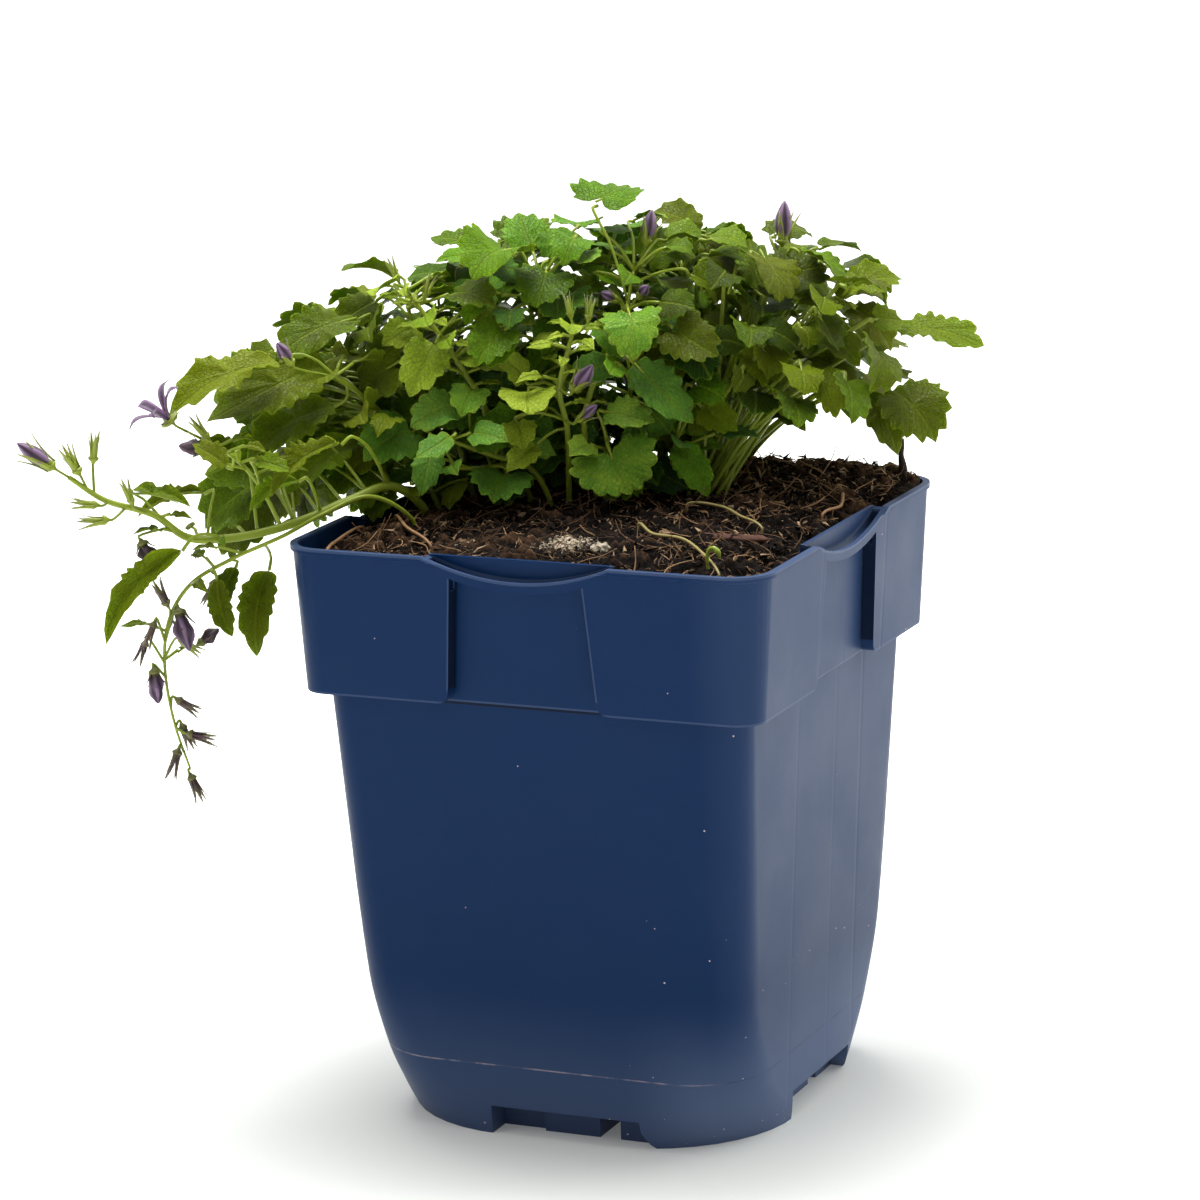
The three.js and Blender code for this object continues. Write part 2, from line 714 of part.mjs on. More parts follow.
const SPRAYS = [
  {
    name: "spire",
    root: [-6, 16],
    stem: [[-9, 10, 200], [-6, 10, 212], [3, 20, 228], [7, 27, 243]],
    leaves: [
      [[-4, 30, 262], [6, 45, 265], 23, 15, 0.7, 4, 0.86],
      [[-3, 22, 238], [-17, 16, 234], 11, 30, 0.2, 3, 0.8],
      [[10, 31, 243], [24, 42, 249], 17, 40, 0.4, 3, 0.9],
    ],
    sprigs: 2,
    size: 13,
  },
  {
    name: "central_shoot",
    root: [-14, 10],
    stem: [[-14, 6, 200], [-16, 4, 212], [-13, 3, 224], [-11, 3, 231]],
    leaves: [
      [[-25, 4, 212], [-25, -9, 207], 18, 35, 0.4, 3, 0.45],
      [[-26, 5, 213], [-35, 2, 222], 11, 40, 0.2, 3, 0.5],
      [[-29, 4, 203], [-27, -5, 196], 11, 60, 0.2, 3, 0.3],
      [[-23, 3, 196], [-32, -6, 190], 9, 50, 0, 2, 0.25],
    ],
    sprigs: 3,
    size: 10,
    colour: "shoot",
  },
  {
    name: "left_shoot",
    root: [-32, 16],
    stem: [[-36, 14, 200], [-47, 14, 221], [-56, 18, 234], [-61, 21, 241]],
    leaves: [
      [[-58, 21, 229], [-68, 13, 225], 12, 50, 0.2, 3, 0.75],
      [[-52, 15, 226], [-60, 3, 212], 15, 60, 0.3, 3, 0.6],
      [[-37, 27, 226], [-33, 35, 232], 12, 40, 0.2, 3, 0.5],
    ],
    sprigs: 5,
    size: 11,
    colour: "shoot",
  },
  {
    name: "front_left",
    root: [-20, 8],
    stem: [[-26, 5, 189], [-37, 4, 193], [-50, 0, 199]],
    leaves: [
      [[-41, 6, 213], [-45, -3, 206], 12, 50, 0.7, 3, 0.65],
      [[-45, 2, 208], [-60, -6, 203], 14, 45, 0.3, 3, 0.8],
      [[-48, -1, 201], [-58, -9, 196], 9, 40, 0, 2, 0.95],
      [[-53, -4, 198], [-57, -14, 185], 10, 40, 0, 3, 0.98],
    ],
    sprigs: 0,
    size: 12,
  },
  {
    name: "front_low",
    root: [-26, 14],
    stem: [[-31, 9, 188], [-40, 4, 189], [-50, 1, 190]],
    leaves: [
      [[-52, -2, 187], [-69, -14, 184], 10, 20, 0, 3, 0.95],
      [[-32, 5, 188], [-36, -9, 182], 20, 40, 0.4, 4, 0.55],
      [[-59, 4, 200], [-74, -9, 194], 20, 50, 0.4, 4, 0.9],
      [[-15, 4, 190], [-25, -10, 184], 11, 30, 0.2, 3, 0.4],
    ],
    sprigs: 0,
    size: 12,
  },
  {
    name: "heart_leaf",
    root: [-3, 11],
    stem: [[-3, 8, 190], [-2, 5, 196]],
    leaves: [
      [[-2, 1, 195], [4, -9, 182], 27, 60, 0.9, 5, 0.98],
      [[-3, 4, 205], [12, -5, 203], 12, 45, 0.2, 3, 0.9],
    ],
    sprigs: 0,
    size: 12,
  },
  {
    name: "front_right",
    root: [5, 17],
    stem: [[5, 14, 200], [5, 12, 216]],
    leaves: [
      [[6, 10, 219], [23, -1, 202], 15, 45, 0.1, 3, 0.98],
      [[0, 14, 218], [-12, 9, 214], 12, 45, 0.3, 3, 0.9],
      [[12, 16, 208], [24, 10, 196], 15, 40, 0.3, 3, 0.6],
    ],
    sprigs: 2,
    size: 12,
  },
  {
    name: "drooping_leaf",
    root: [17, 13],
    stem: [[17, 9, 190], [18, 7, 195]],
    leaves: [[[18, 5, 195], [27, -3, 180], 11, 50, 0.2, 3, 0.98]],
    sprigs: 0,
    size: 12,
  },
  {
    name: "right_broad",
    root: [12, 25],
    stem: [[17, 23, 202], [24, 26, 220]],
    leaves: [
      [[27, 27, 224], [9, 13, 212], 20, 50, 0.4, 4, 0.95],
      [[36, 31, 228], [26, 22, 216], 13, 70, 0.2, 3, 0.9],
      [[12, 36, 228], [32, 38, 222], 22, 60, 0.3, 4, 0.7],
    ],
    sprigs: 2,
    size: 14,
  },
  {
    name: "right_top",
    root: [19, 38],
    stem: [[18, 42, 215], [22, 46, 238]],
    leaves: [
      [[28, 52, 250], [13, 57, 256], 15, 20, 0.2, 3, 0.95],
      [[26, 46, 243], [47, 52, 239], 24, 35, 0.3, 4, 0.9],
      [[28, 36, 243], [44, 28, 236], 15, 30, 0.2, 3, 0.85],
    ],
    sprigs: 2,
    size: 16,
  },
  {
    name: "right_bud",
    root: [27, 43],
    stem: [[36, 40, 208], [44, 38, 228], [50, 42, 242]],
    leaves: [
      [[48, 38, 237], [65, 45, 240], 22, 30, 0.2, 4, 0.75],
      [[45, 34, 236], [42, 48, 249], 12, 30, 0, 3, 0.7],
    ],
    sprigs: 2,
    size: 16,
  },
  {
    name: "right_high",
    root: [32, 48],
    stem: [[46, 38, 205], [58, 32, 223], [65, 30, 231]],
    leaves: [
      [[67, 30, 233], [88, 37, 237], 16, 25, 0.1, 3, 0.98],
      [[71, 31, 230], [83, 21, 218], 14, 25, 0.2, 3, 0.9],
      [[57, 24, 226], [73, 10, 216], 15, 30, 0.2, 3, 0.85],
    ],
    sprigs: 2,
    size: 14,
  },
  {
    name: "right_long",
    root: [33, 41],
    stem: [[49, 33, 200], [64, 28, 213], [77, 24, 220]],
    leaves: [
      [[82, 22, 221], [111, 12, 216], 18, 15, 0.1, 5, 0.98],
      [[47, 20, 220], [44, 6, 211], 18, 50, 0.3, 4, 0.5],
    ],
    sprigs: 2,
    size: 14,
  },
  {
    name: "right_round",
    root: [38, 45],
    stem: [[53, 36, 197], [67, 27, 207], [79, 20, 208]],
    leaves: [
      [[82, 18, 207], [95, 6, 193], 23, 35, 0.2, 5, 0.98],
      [[58, 24, 217], [73, 17, 207], 11, 20, 0.1, 3, 0.6],
    ],
    sprigs: 1,
    size: 14,
  },
  {
    name: "right_low",
    root: [40, 51],
    stem: [[51, 43, 193], [62, 34, 201], [71, 27, 206]],
    leaves: [
      [[74, 25, 206], [84, 13, 188], 14, 30, 0.1, 3, 0.98],
      [[60, 29, 206], [73, 17, 194], 10, 30, 0.1, 3, 0.8],
      [[59, 36, 201], [64, 26, 190], 20, 40, 0.3, 4, 0.7],
      [[44, 12, 203], [57, 2, 195], 11, 35, 0.1, 3, 0.4],
    ],
    sprigs: 0,
    size: 14,
  },
  {
    name: "top_left",
    root: [-22, 25],
    stem: [[-22, 26, 212], [-21, 29, 240]],
    leaves: [
      [[-19, 30, 246], [-8, 41, 252], 16, 40, 0.4, 3, 0.95],
      [[-23, 33, 248], [-27, 46, 257], 15, 40, 0.3, 3, 0.97],
      [[-27, 29, 243], [-39, 21, 246], 15, 40, 0.4, 3, 0.9],
      [[-19, 26, 244], [-22, 10, 235], 19, 50, 0.5, 4, 0.9],
    ],
    sprigs: 2,
    size: 13,
  },
  {
    name: "back_top",
    root: [-30, 35],
    stem: [[-32, 40, 215], [-37, 44, 243]],
    leaves: [
      [[-39, 44, 248], [-54, 50, 250], 12, 15, 0.2, 3, 0.95],
      [[-33, 50, 248], [-18, 62, 253], 18, 15, 0.3, 4, 0.95],
    ],
    sprigs: 3,
    size: 17,
  },
  {
    name: "left_top",
    root: [-43, 23],
    stem: [[-53, 26, 213], [-61, 29, 234]],
    leaves: [
      [[-64, 30, 242], [-80, 22, 246], 15, -10, 0.2, 3, 0.95],
      [[-70, 34, 235], [-83, 27, 228], 13, 40, 0.1, 3, 0.85],
    ],
    sprigs: 2,
    size: 16,
  },
  {
    name: "left_side",
    root: [-50, 17],
    stem: [[-62, 24, 206], [-72, 28, 226]],
    leaves: [
      [[-75, 30, 232], [-99, 14, 223], 17, 35, 0.1, 4, 0.95],
      [[-66, 20, 214], [-84, 8, 204], 18, 45, 0.2, 4, 0.7],
    ],
    sprigs: 2,
    size: 16,
  },
  {
    name: "left_long",
    root: [-53, 12],
    stem: [[-66, 15, 200], [-76, 6, 213], [-82, -2, 219]],
    leaves: [
      [[-84, -5, 221], [-119, -20, 206], 22, 40, 0.1, 4, 0.97],
      [[-97, 4, 224], [-130, -9, 211], 18, 20, 0.1, 4, 0.95],
      [[-82, 3, 209], [-108, -8, 196], 16, 40, 0.1, 3, 0.8],
      [[-76, -6, 198], [-97, -18, 185], 13, 40, 0, 3, 0.5],
    ],
    sprigs: 1,
    size: 16,
  },
  {
    name: "arching_stem",
    root: [-57, 4],
    stem: [
      [-66, -4, 186],
      [-78, -13, 184],
      [-90, -18, 180],
      [-103, -22, 177],
      [-115, -25, 176],
      [-125, -26, 177],
      [-134, -27, 184],
      [-148, -28, 189],
      [-158, -28, 196],
    ],
    leaves: [
      [[-140, -26, 191], [-123, -30, 187], 10, 10, 0, 3, 0.75],
      [[-126, -27, 174], [-148, -34, 148], 13, 60, 0, 3, 0.55],
      [[-109, -18, 195], [-122, -20, 203], 9, 30, 0, 3, 0.46],
    ],
    sprigs: 0,
    size: 10,
    radius: 1.3,
  },
  {
    name: "star_branch",
    branchOf: "arching_stem",
    branchAt: 0.4,
    stem: [[-104, -20, 191], [-112, -20, 200], [-124, -20, 207]],
    leaves: [[[-112, -17, 199], [-122, -15, 205], 9, 30, 0, 3, 0.6]],
    sprigs: 0,
    size: 10,
    radius: 0.8,
  },
  {
    name: "hanging_spray",
    root: [-60, -12],
    stem: [
      [-72, -18, 186],
      [-86, -24, 182],
      [-97, -28, 177],
      [-112, -30, 171],
      [-124, -30, 164],
      [-131, -28, 153],
      [-133, -27, 139],
      [-131, -27, 122],
      [-127, -27, 108],
    ],
    leaves: [
      [[-102, -18, 165], [-106, -27, 141], 15, 60, 0.1, 3, 0.38],
      [[-111, -28, 168], [-115, -32, 156], 9, 60, 0, 3, 0.46],
    ],
    sprigs: 0,
    size: 10,
    radius: 0.8,
  },
];

// Behind, the clump is filled by stems that fan out from its back: [root, heading of the
// spread in degrees, reach, height over the peat]
const BACK_FAN = [
  [[-6, 40], 80, 34, 62],
  [[6, 52], 62, 38, 50],
  [[-20, 46], 105, 32, 56],
  [[-36, 42], 128, 36, 52],
  [[-44, 34], 150, 40, 40],
  [[-12, 52], 92, 46, 34],
  [[18, 54], 40, 44, 44],
  [[-30, 54], 118, 46, 28],
];

for (const [index, [root, heading, reach, height]] of BACK_FAN.entries()) {
  const angle = THREE.MathUtils.degToRad(heading);
  const ground = groundAt(...root);
  const at = (share, rise) => [
    root[0] + share * reach * Math.cos(angle),
    root[1] + share * reach * Math.sin(angle),
    ground + rise * height,
  ];
  SPRAYS.push({
    name: `back_spray_${index + 1}`,
    root,
    stem: [at(0.2, 0.45), at(0.55, 0.85), at(1, 1)],
    leaves: [],
    sprigs: 4,
    size: 20,
  });
}

function stemPoints(spray) {
  if (spray.branchOf) {
    const parent = SPRAYS.find((candidate) => candidate.name === spray.branchOf);
    return [onStem(parent, spray.branchAt), ...spray.stem.map(vector)];
  }
  const [x, y] = spray.root;
  const ground = groundAt(x, y);
  const foot = [-ROOT_DEPTH, -ROOT_DEPTH / 2, 2.5].map((rise) => [x, y, ground + rise]);
  return [...foot, ...spray.stem].map(vector);
}

// Flowers. Each stands on a thin stalk from its spray, in a green calyx with five pointed
// sepals: [name, spray, share of the stem, base, tip, width, kind]. A bud is a closed spindle, a
// star is open, a limp flower hangs as a bud does, and a calyx is left without its flower.
const FLOWERS = [
  ["top_bud", "spire", 0.97, [11, 33, 250], [13, 35, 260], 4.6, "bud"],
  ["spire_bud_left", "spire", 0.72, [2, 22, 235], [-3, 20, 238], 3.4, "bud"],
  ["spire_bud_right", "spire", 0.76, [8, 21, 236], [11, 18, 240], 3.4, "bud"],
  ["right_violet_bud", "right_bud", 0.98, [52, 44, 247], [53, 46, 260], 5.4, "bud"],
  ["central_bud", "central_shoot", 0.5, [-12, -4, 213], [-6, -7, 221], 5, "bud"],
  ["pink_bud", "central_shoot", 0.3, [-11, -4, 204], [-5, -6, 209], 3.2, "bud"],
  ["star_flower", "star_branch", 1, [-128, -21, 210], [-134, -23, 217], 8, "star"],
  ["faded_flower", "star_branch", 0.72, [-118, -23, 202], [-126, -26, 204], 4.4, "limp"],
  ["tip_bud", "arching_stem", 1, [-162, -29, 199], [-172, -31, 207], 5, "bud"],
  ["hanging_bell", "arching_stem", 0.72, [-138, -29, 177], [-135, -30, 170], 5, "limp"],
  ["inner_violet", "left_long", 0.97, [-93, -15, 225], [-97, -18, 232], 4, "bud"],
  ["violet_trumpet", "hanging_spray", 0.72, [-128, -31, 157], [-125, -34, 145], 5.4, "limp"],
  ["dark_bud", "hanging_spray", 0.8, [-136, -30, 139], [-135, -32, 129], 4.6, "limp"],
  ["side_bud", "hanging_spray", 0.66, [-123, -26, 145], [-117, -24, 149], 3.8, "limp"],
  ["", "central_shoot", 1, [-12, 2, 234], [-13, 1, 241], 3, "calyx"],
  ["", "central_shoot", 0.9, [-7, 2, 233], [-6, 1, 240], 3, "calyx"],
  ["", "left_shoot", 1, [-63, 22, 243], [-66, 23, 250], 3, "calyx"],
  ["", "left_shoot", 0.85, [-55, 14, 239], [-53, 12, 246], 3, "calyx"],
  ["", "arching_stem", 0.92, [-151, -26, 200], [-150, -26, 209], 4, "calyx"],
  ["", "arching_stem", 0.84, [-147, -32, 184], [-155, -34, 184], 4, "calyx"],
  ["", "hanging_spray", 0.9, [-127, -29, 119], [-122, -30, 118], 4, "calyx"],
  ["", "hanging_spray", 1, [-127, -27, 106], [-124, -28, 99], 4, "calyx"],
];

const flowerPieces = [];

function placeFlower([name, sprayName, at, baseRow, tipRow, width, kind]) {
  const spray = SPRAYS.find((candidate) => candidate.name === sprayName);
  const base = vector(baseRow);
  const tip = vector(tipRow);
  const axis = tip.clone().sub(base).normalize();
  const from = onStem(spray, at);
  const entry = base.clone().addScaledVector(axis, -1.5);
  const flower = { name, node: spray.node, base, tip, axis, width, kind };
  flower.stalk = [from, entry, base.clone().addScaledVector(axis, 0.5)];
  flower.length = base.distanceTo(tip);
  flowerPieces.push(flower);
  placed.push(pieceOf(spray.node, flower.stalk, FLOWER_STALK_RADIUS, null));
  const spread = kind === "star" ? 0.9 : 0.55;
  const middle = base.clone().lerp(tip, 0.5);
  placed.push(pieceOf(name || `${sprayName}_calyx`, [base, middle, tip], spread * width, null));
}

// A crown of five points: its rim runs from point to notch and back, over a cup
function crown(flower, cupHeight, tip, notch) {
  const turn = new THREE.Quaternion().setFromUnitVectors(
    new THREE.Vector3(0, 0, 1),
    flower.axis,
  );
  const local = (x, y, z) => new THREE.Vector3(x, y, z).applyQuaternion(turn).add(flower.base);
  const points = [];
  for (let i = 0; i < 10; i++) {
    const [radius, height] = i % 2 === 0 ? tip : notch;
    const angle = (Math.PI * i) / 5;
    points.push(local(radius * Math.cos(angle), radius * Math.sin(angle), height));
  }
  points.push(local(0, 0, 0), local(0, 0, cupHeight));
  const faces = [];
  for (let i = 0; i < 10; i++) {
    const next = (i + 1) % 10;
    faces.push([10, next, i], [11, i, next]);
  }
  return solidOf(geometryFrom(points, faces));
}

const CUP = 1.3;

// Sepals stand up round a flower, close over a calyx without one, and lie flat under a star
function calyxSolid(flower) {
  const { width, kind } = flower;
  if (kind === "star") return crown(flower, 0.9, [4.5, 1.6], [1.5, 1]);
  const spread = kind === "calyx" ? 0.5 : 0.9;
  const notch = [0.45 * width, 0.5 * width];
  return crown(flower, CUP, [spread * width + 0.6, 1.25 * width + 1], notch);
}

function bloomSolid(flower) {
  const { width, length, kind, axis, base } = flower;
  const start = CUP + SEAT_GAP;
  if (kind === "star") {
    const seat = { axis, base: base.clone().addScaledVector(axis, start) };
    return crown(seat, 1.2, [1.3 * width, 0.7 * length], [0.16 * width, 0.35 * length]);
  }
  const wide = kind === "limp" ? 0.42 : 0.5;
  const profile = [
    [0, start],
    [0.2 * width, start + 0.18 * length],
    [wide * width, 0.55 * length],
    [0.36 * width, 0.8 * length],
    [0, length],
  ].map(([radius, height]) => new THREE.Vector2(radius, height));
  const geometry = new THREE.LatheGeometry(profile, 5);
  geometry.rotateX(Math.PI / 2);
  const turn = new THREE.Quaternion().setFromUnitVectors(new THREE.Vector3(0, 0, 1), axis);
  geometry.applyQuaternion(turn);
  geometry.translate(base.x, base.y, base.z);
  return solidOf(geometry);
}

// Where a leaf would meet others it is moved clear of them, this far back or forward
const BENDS = [0, 4, -4, 8, -8, 12, -12, 16, -16, 20, -20];

// A point at a share of the stem's way from the peat to its end
function onStem(spray, share) {
  const path = new SmoothPath(spray.path);
  const surface = spray.branchOf ? 0 : 2 / (spray.path.length - 1);
  return path.getPoint(surface + share * (1 - surface), new THREE.Vector3());
}

function placeLeaf(spray, row) {
  const [base, tip, width, lean, heart, teeth, at] = row;
  const angle = THREE.MathUtils.degToRad(lean);
  const facing = new THREE.Vector3(0, -Math.sin(angle), Math.cos(angle));
  const phase = between(0, 6);
  const from = onStem(spray, at);
  for (const bend of BENDS) {
    const shift = new THREE.Vector3(0, bend, 0);
    const leaf = makeLeaf(
      vector(base).add(shift),
      vector(tip).add(shift),
      width,
      facing,
      heart,
      teeth,
      phase,
    );
    const stalk = stalkPoints(leaf, from);
    const piece = pieceOf(spray.node, stalk, LEAFSTALK_RADIUS, leaf);
    if (!isClear(piece)) continue;
    placed.push(piece);
    const isShort = from.distanceTo(leaf.base) < SHORT_STALK;
    return { leaf, stalk, rings: isShort ? [STALK_END] : [STALK_BEND, STALK_END] };
  }
  return null;
}

// Sprig leaves stand round the stem at the golden angle, each on its own stalk, and face
// outwards and up from the middle of the clump
function placeSprig(spray, index) {
  const from = onStem(spray, 0.3 + (0.68 * (index + 1)) / spray.sprigs);
  const length = spray.size * between(0.8, 1.2);
  const turn = index * GOLDEN_ANGLE + between(-0.4, 0.4);
  const phase = between(0, 6);
  const outward = new THREE.Vector3(from.x + 20, from.y - 25, 0).normalize();
  for (let attempt = 0; attempt < 10; attempt++) {
    const heading = turn + attempt * 0.7;
    const side = new THREE.Vector3(Math.cos(heading), Math.sin(heading), 0);
    const stalk = length * (0.5 + 0.08 * attempt);
    const base = from.clone().addScaledVector(side, stalk);
    base.z += 0.35 * stalk;
    const tip = base.clone().addScaledVector(side, length);
    tip.z -= 0.12 * length;
    const facing = new THREE.Vector3(0, 0, 1).addScaledVector(outward, 0.7);
    const leaf = makeLeaf(base, tip, length * 0.85, facing, 0.4, length > 17 ? 3 : 2, phase);
    const points = [from, from.clone().lerp(base, 0.5), base];
    const piece = pieceOf(spray.node, points, LEAFSTALK_RADIUS, leaf);
    if (!isClear(piece)) continue;
    placed.push(piece);
    return { leaf, stalk: points, rings: [STALK_END] };
  }
  return null;
}

function placeSprays() {
  for (const spray of SPRAYS) {
    spray.path = stemPoints(spray);
    spray.node = spray.branchOf ?? spray.name;
    placed.push(pieceOf(spray.node, spray.path, spray.radius ?? STEM_RADIUS, null));
  }
  FLOWERS.forEach(placeFlower);
  for (const spray of SPRAYS) {
    spray.placedLeaves = spray.leaves.map((row) => placeLeaf(spray, row));
  }
  for (const spray of SPRAYS) {
    for (let i = 0; i < spray.sprigs; i++) spray.placedLeaves.push(placeSprig(spray, i));
    spray.placedLeaves = spray.placedLeaves.filter((leaf) => leaf !== null);
  }
}

function spraySolid(node) {
  const parts = [];
  for (const spray of SPRAYS.filter((candidate) => candidate.node === node)) {
    parts.push(tube(spray.path, spray.radius ?? STEM_RADIUS, STEM_SIDES, spray.path.length));
    parts.push(...spray.placedLeaves.map(leafSolid));
  }
  for (const flower of flowerPieces.filter((candidate) => candidate.node === node)) {
    parts.push(tube(flower.stalk, FLOWER_STALK_RADIUS, STEM_SIDES, 2), calyxSolid(flower));
  }
  return fused(parts);
}

function rootHole(spray) {
  const [x, y] = spray.root;
  const radius = (spray.radius ?? STEM_RADIUS) + HOLE_CLEARANCE;
  const ground = groundAt(x, y);
  const hole = new THREE.CylinderGeometry(radius, radius, ROOT_DEPTH + 10, 4);
  hole.rotateX(Math.PI / 2);
  hole.translate(x, y, ground - ROOT_DEPTH - SEAT_GAP + (ROOT_DEPTH + 10) / 2);
  hole.rotateZ(CLUMP_TURN);
  return solidOf(hole);
}

// Litter on the peat, placed on the pot: runner roots and straws with both ends in the peat,
// a strip of bark, a twig in the far corner and a lump of perlite
const LITTER = [
  {
    name: "runner_root_front",
    path: [[16, -21], [25, -32], [36, -37], [46, -47], [57, -61]],
    radius: 0.7,
    colour: "root",
  },
  {
    name: "runner_root_right",
    path: [[22, 2], [33, 1], [41, -5], [51, -13]],
    radius: 0.7,
    colour: "root",
  },
  { name: "straw_left", path: [[-64, -64], [-66, -52], [-64, -40]], radius: 0.55, colour: "straw" },
  { name: "straw_front", path: [[-58, -30], [-48, -43], [-36, -53]], radius: 0.5, colour: "straw" },
  { name: "straw_right", path: [[60, 30], [63, 20], [62, 8]], radius: 0.5, colour: "straw" },
  { name: "bark_strip", box: [46, -24, 22, 5, 2.2], turn: 5, colour: "bark" },
  { name: "perlite_lump", lump: [15, -47, 4.2], colour: "perlite" },
  { name: "corner_twig", twig: [67, 62, 14, 1.4], colour: "bark" },
];
const LITTER_SINK = 5;
const LITTER_RISE = 2.4;

function litterPath({ path }) {
  const run = path.map(([x, y]) => new THREE.Vector3(x, y, soilHeight(x, y) + LITTER_RISE));
  const first = run[0].clone().setZ(run[0].z - LITTER_SINK);
  const last = run[run.length - 1].clone().setZ(run[run.length - 1].z - LITTER_SINK);
  return [first, ...run, last];
}

function upright(x, y, low, high, radiusLow, radiusHigh) {
  const geometry = new THREE.CylinderGeometry(radiusHigh, radiusLow, high - low, 5);
  geometry.rotateX(Math.PI / 2);
  geometry.translate(x, y, (low + high) / 2);
  return solidOf(geometry);
}

function litterBox([x, y, length, width, height], turn, grow) {
  const geometry = new THREE.BoxGeometry(length + 2 * grow, width + 2 * grow, height + 2 * grow);
  geometry.rotateZ(THREE.MathUtils.degToRad(turn));
  geometry.translate(x, y, soilHeight(x, y) + 0.6);
  return solidOf(geometry);
}

function litterLump([x, y, radius], grow) {
  const geometry = new THREE.IcosahedronGeometry(radius + grow, 0);
  geometry.scale(1, 0.8, 0.7);
  geometry.rotateZ(0.4);
  geometry.translate(x, y, soilHeight(x, y) + 0.8);
  return solidOf(geometry);
}

function litterSolid(piece) {
  if (piece.path) {
    const path = litterPath(piece);
    return tube(path, piece.radius, STEM_SIDES, 2 * path.length);
  }
  if (piece.box) return litterBox(piece.box, piece.turn, 0);
  if (piece.lump) return litterLump(piece.lump, 0);
  const [x, y, height, radius] = piece.twig;
  const ground = soilHeight(x, y);
  return upright(x, y, ground - LITTER_SINK, ground + height, radius, 0.5 * radius);
}

// The room that a piece of litter takes in the peat
function litterHoles(piece) {
  if (piece.box) return [litterBox(piece.box, piece.turn, SEAT_GAP)];
  if (piece.lump) return [litterLump(piece.lump, SEAT_GAP)];
  const ends = piece.path ? [piece.path[0], piece.path[piece.path.length - 1]] : [piece.twig];
  const radius = (piece.radius ?? piece.twig[3]) + HOLE_CLEARANCE;
  return ends.map(([x, y]) => {
    const low = soilHeight(x, y) - LITTER_SINK - SEAT_GAP;
    return upright(x, y, low, low + LITTER_SINK + 8, radius, radius);
  });
}

// Assembly

const root = new THREE.Group();
const clump = new THREE.Group();
clump.rotation.z = CLUMP_TURN;
root.add(clump);

function addMesh(group, name, solid, colour) {
  const [color, roughness] = COLOURS[colour];
  const material = new THREE.MeshStandardMaterial({ color, roughness, metalness: 0 });
  const mesh = new THREE.Mesh(geometryOf(solid), material);
  mesh.name = name;
  group.add(mesh);
}

placeSprays();
const rooted = SPRAYS.filter((spray) => !spray.branchOf);
addMesh(root, "pot", potSolid(), "pot");
const cuts = [...rooted.map(rootHole), ...LITTER.flatMap(litterHoles)];
addMesh(root, "soil", soilSolid(cuts), "soil");
for (const { node, colour } of rooted) addMesh(clump, node, spraySolid(node), colour ?? "leaf");
for (const flower of flowerPieces) {
  if (flower.kind === "calyx") continue;
  addMesh(clump, flower.name, bloomSolid(flower), flower.kind === "limp" ? "faded" : "bloom");
}
for (const piece of LITTER) addMesh(root, piece.name, litterSolid(piece), piece.colour);

export default root;
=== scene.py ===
import math
from functools import partial

import bpy
import numpy as np
from bpy.props import FloatProperty, FloatVectorProperty, IntProperty, PointerProperty
from bpy.types import Operator, Panel, PropertyGroup
from mathutils import Matrix, Vector, noise


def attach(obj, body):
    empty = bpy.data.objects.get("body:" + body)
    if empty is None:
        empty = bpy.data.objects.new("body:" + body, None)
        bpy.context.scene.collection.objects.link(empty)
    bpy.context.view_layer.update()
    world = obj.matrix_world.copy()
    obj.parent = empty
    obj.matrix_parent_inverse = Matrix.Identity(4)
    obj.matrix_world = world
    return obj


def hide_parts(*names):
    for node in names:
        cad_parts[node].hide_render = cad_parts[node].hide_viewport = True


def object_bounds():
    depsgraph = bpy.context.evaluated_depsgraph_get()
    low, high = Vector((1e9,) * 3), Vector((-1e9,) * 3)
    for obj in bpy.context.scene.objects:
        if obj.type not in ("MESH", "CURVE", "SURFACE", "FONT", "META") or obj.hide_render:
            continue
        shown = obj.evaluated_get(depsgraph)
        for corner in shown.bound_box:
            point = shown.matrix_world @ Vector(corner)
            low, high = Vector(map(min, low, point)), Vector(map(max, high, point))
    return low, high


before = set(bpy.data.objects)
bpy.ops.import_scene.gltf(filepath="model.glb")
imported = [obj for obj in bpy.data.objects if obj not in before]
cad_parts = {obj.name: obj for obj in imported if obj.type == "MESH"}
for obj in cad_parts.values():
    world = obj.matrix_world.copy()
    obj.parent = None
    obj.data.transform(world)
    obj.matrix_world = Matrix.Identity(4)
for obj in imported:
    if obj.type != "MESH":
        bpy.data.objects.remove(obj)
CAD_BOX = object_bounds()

bl_info = {
    "name": "Potted Bellflower",
    "version": (1, 0, 0),
    "blender": (4, 5, 0),
    "location": "3D View > Sidebar > Bellflower",
    "description": "A trailing bellflower in a square nursery pot, made round its packed model",
    "category": "Add Mesh",
}

MM = 0.001
BODY = "root"

# Sizes of the pot, in millimetres, as in the solid model. An outline's rows are height, half
# width and corner radius.
POT_HEIGHT = 176
RIM_WIDTH = 150
BEAD_HEIGHT = 1.6
BEAD_PROUD = 0.8
COLLAR_HEIGHT = 43.5
WALL = 1.4
FLOOR = 2
CORNER_STEPS = 10
BODY_OUTLINE = [[0, 59.5, 43], [8, 60, 35], [21.5, 60.5, 23], [45, 61.6, 13], [133, 66, 8]]
COLLAR_OUTLINE = [[132.5, 71.3, 8.5], [174.4, 74.2, 12]]
PANEL_DEPTH = 4
PANEL_HALF_TOP = 20.5
PANEL_HALF_BOTTOM = 23
PANEL_CORNER_RADIUS = 4
LIP_HEIGHT = 3
LIP_SAG = 6
LIP_HALF_SPAN = 29
POCKET_HALF_WIDTH = 27
POCKET_BOTTOM = POT_HEIGHT - 10
NOTCH_LEFT = -19
NOTCH_RIGHT = 32
NOTCH_SLANT = 4
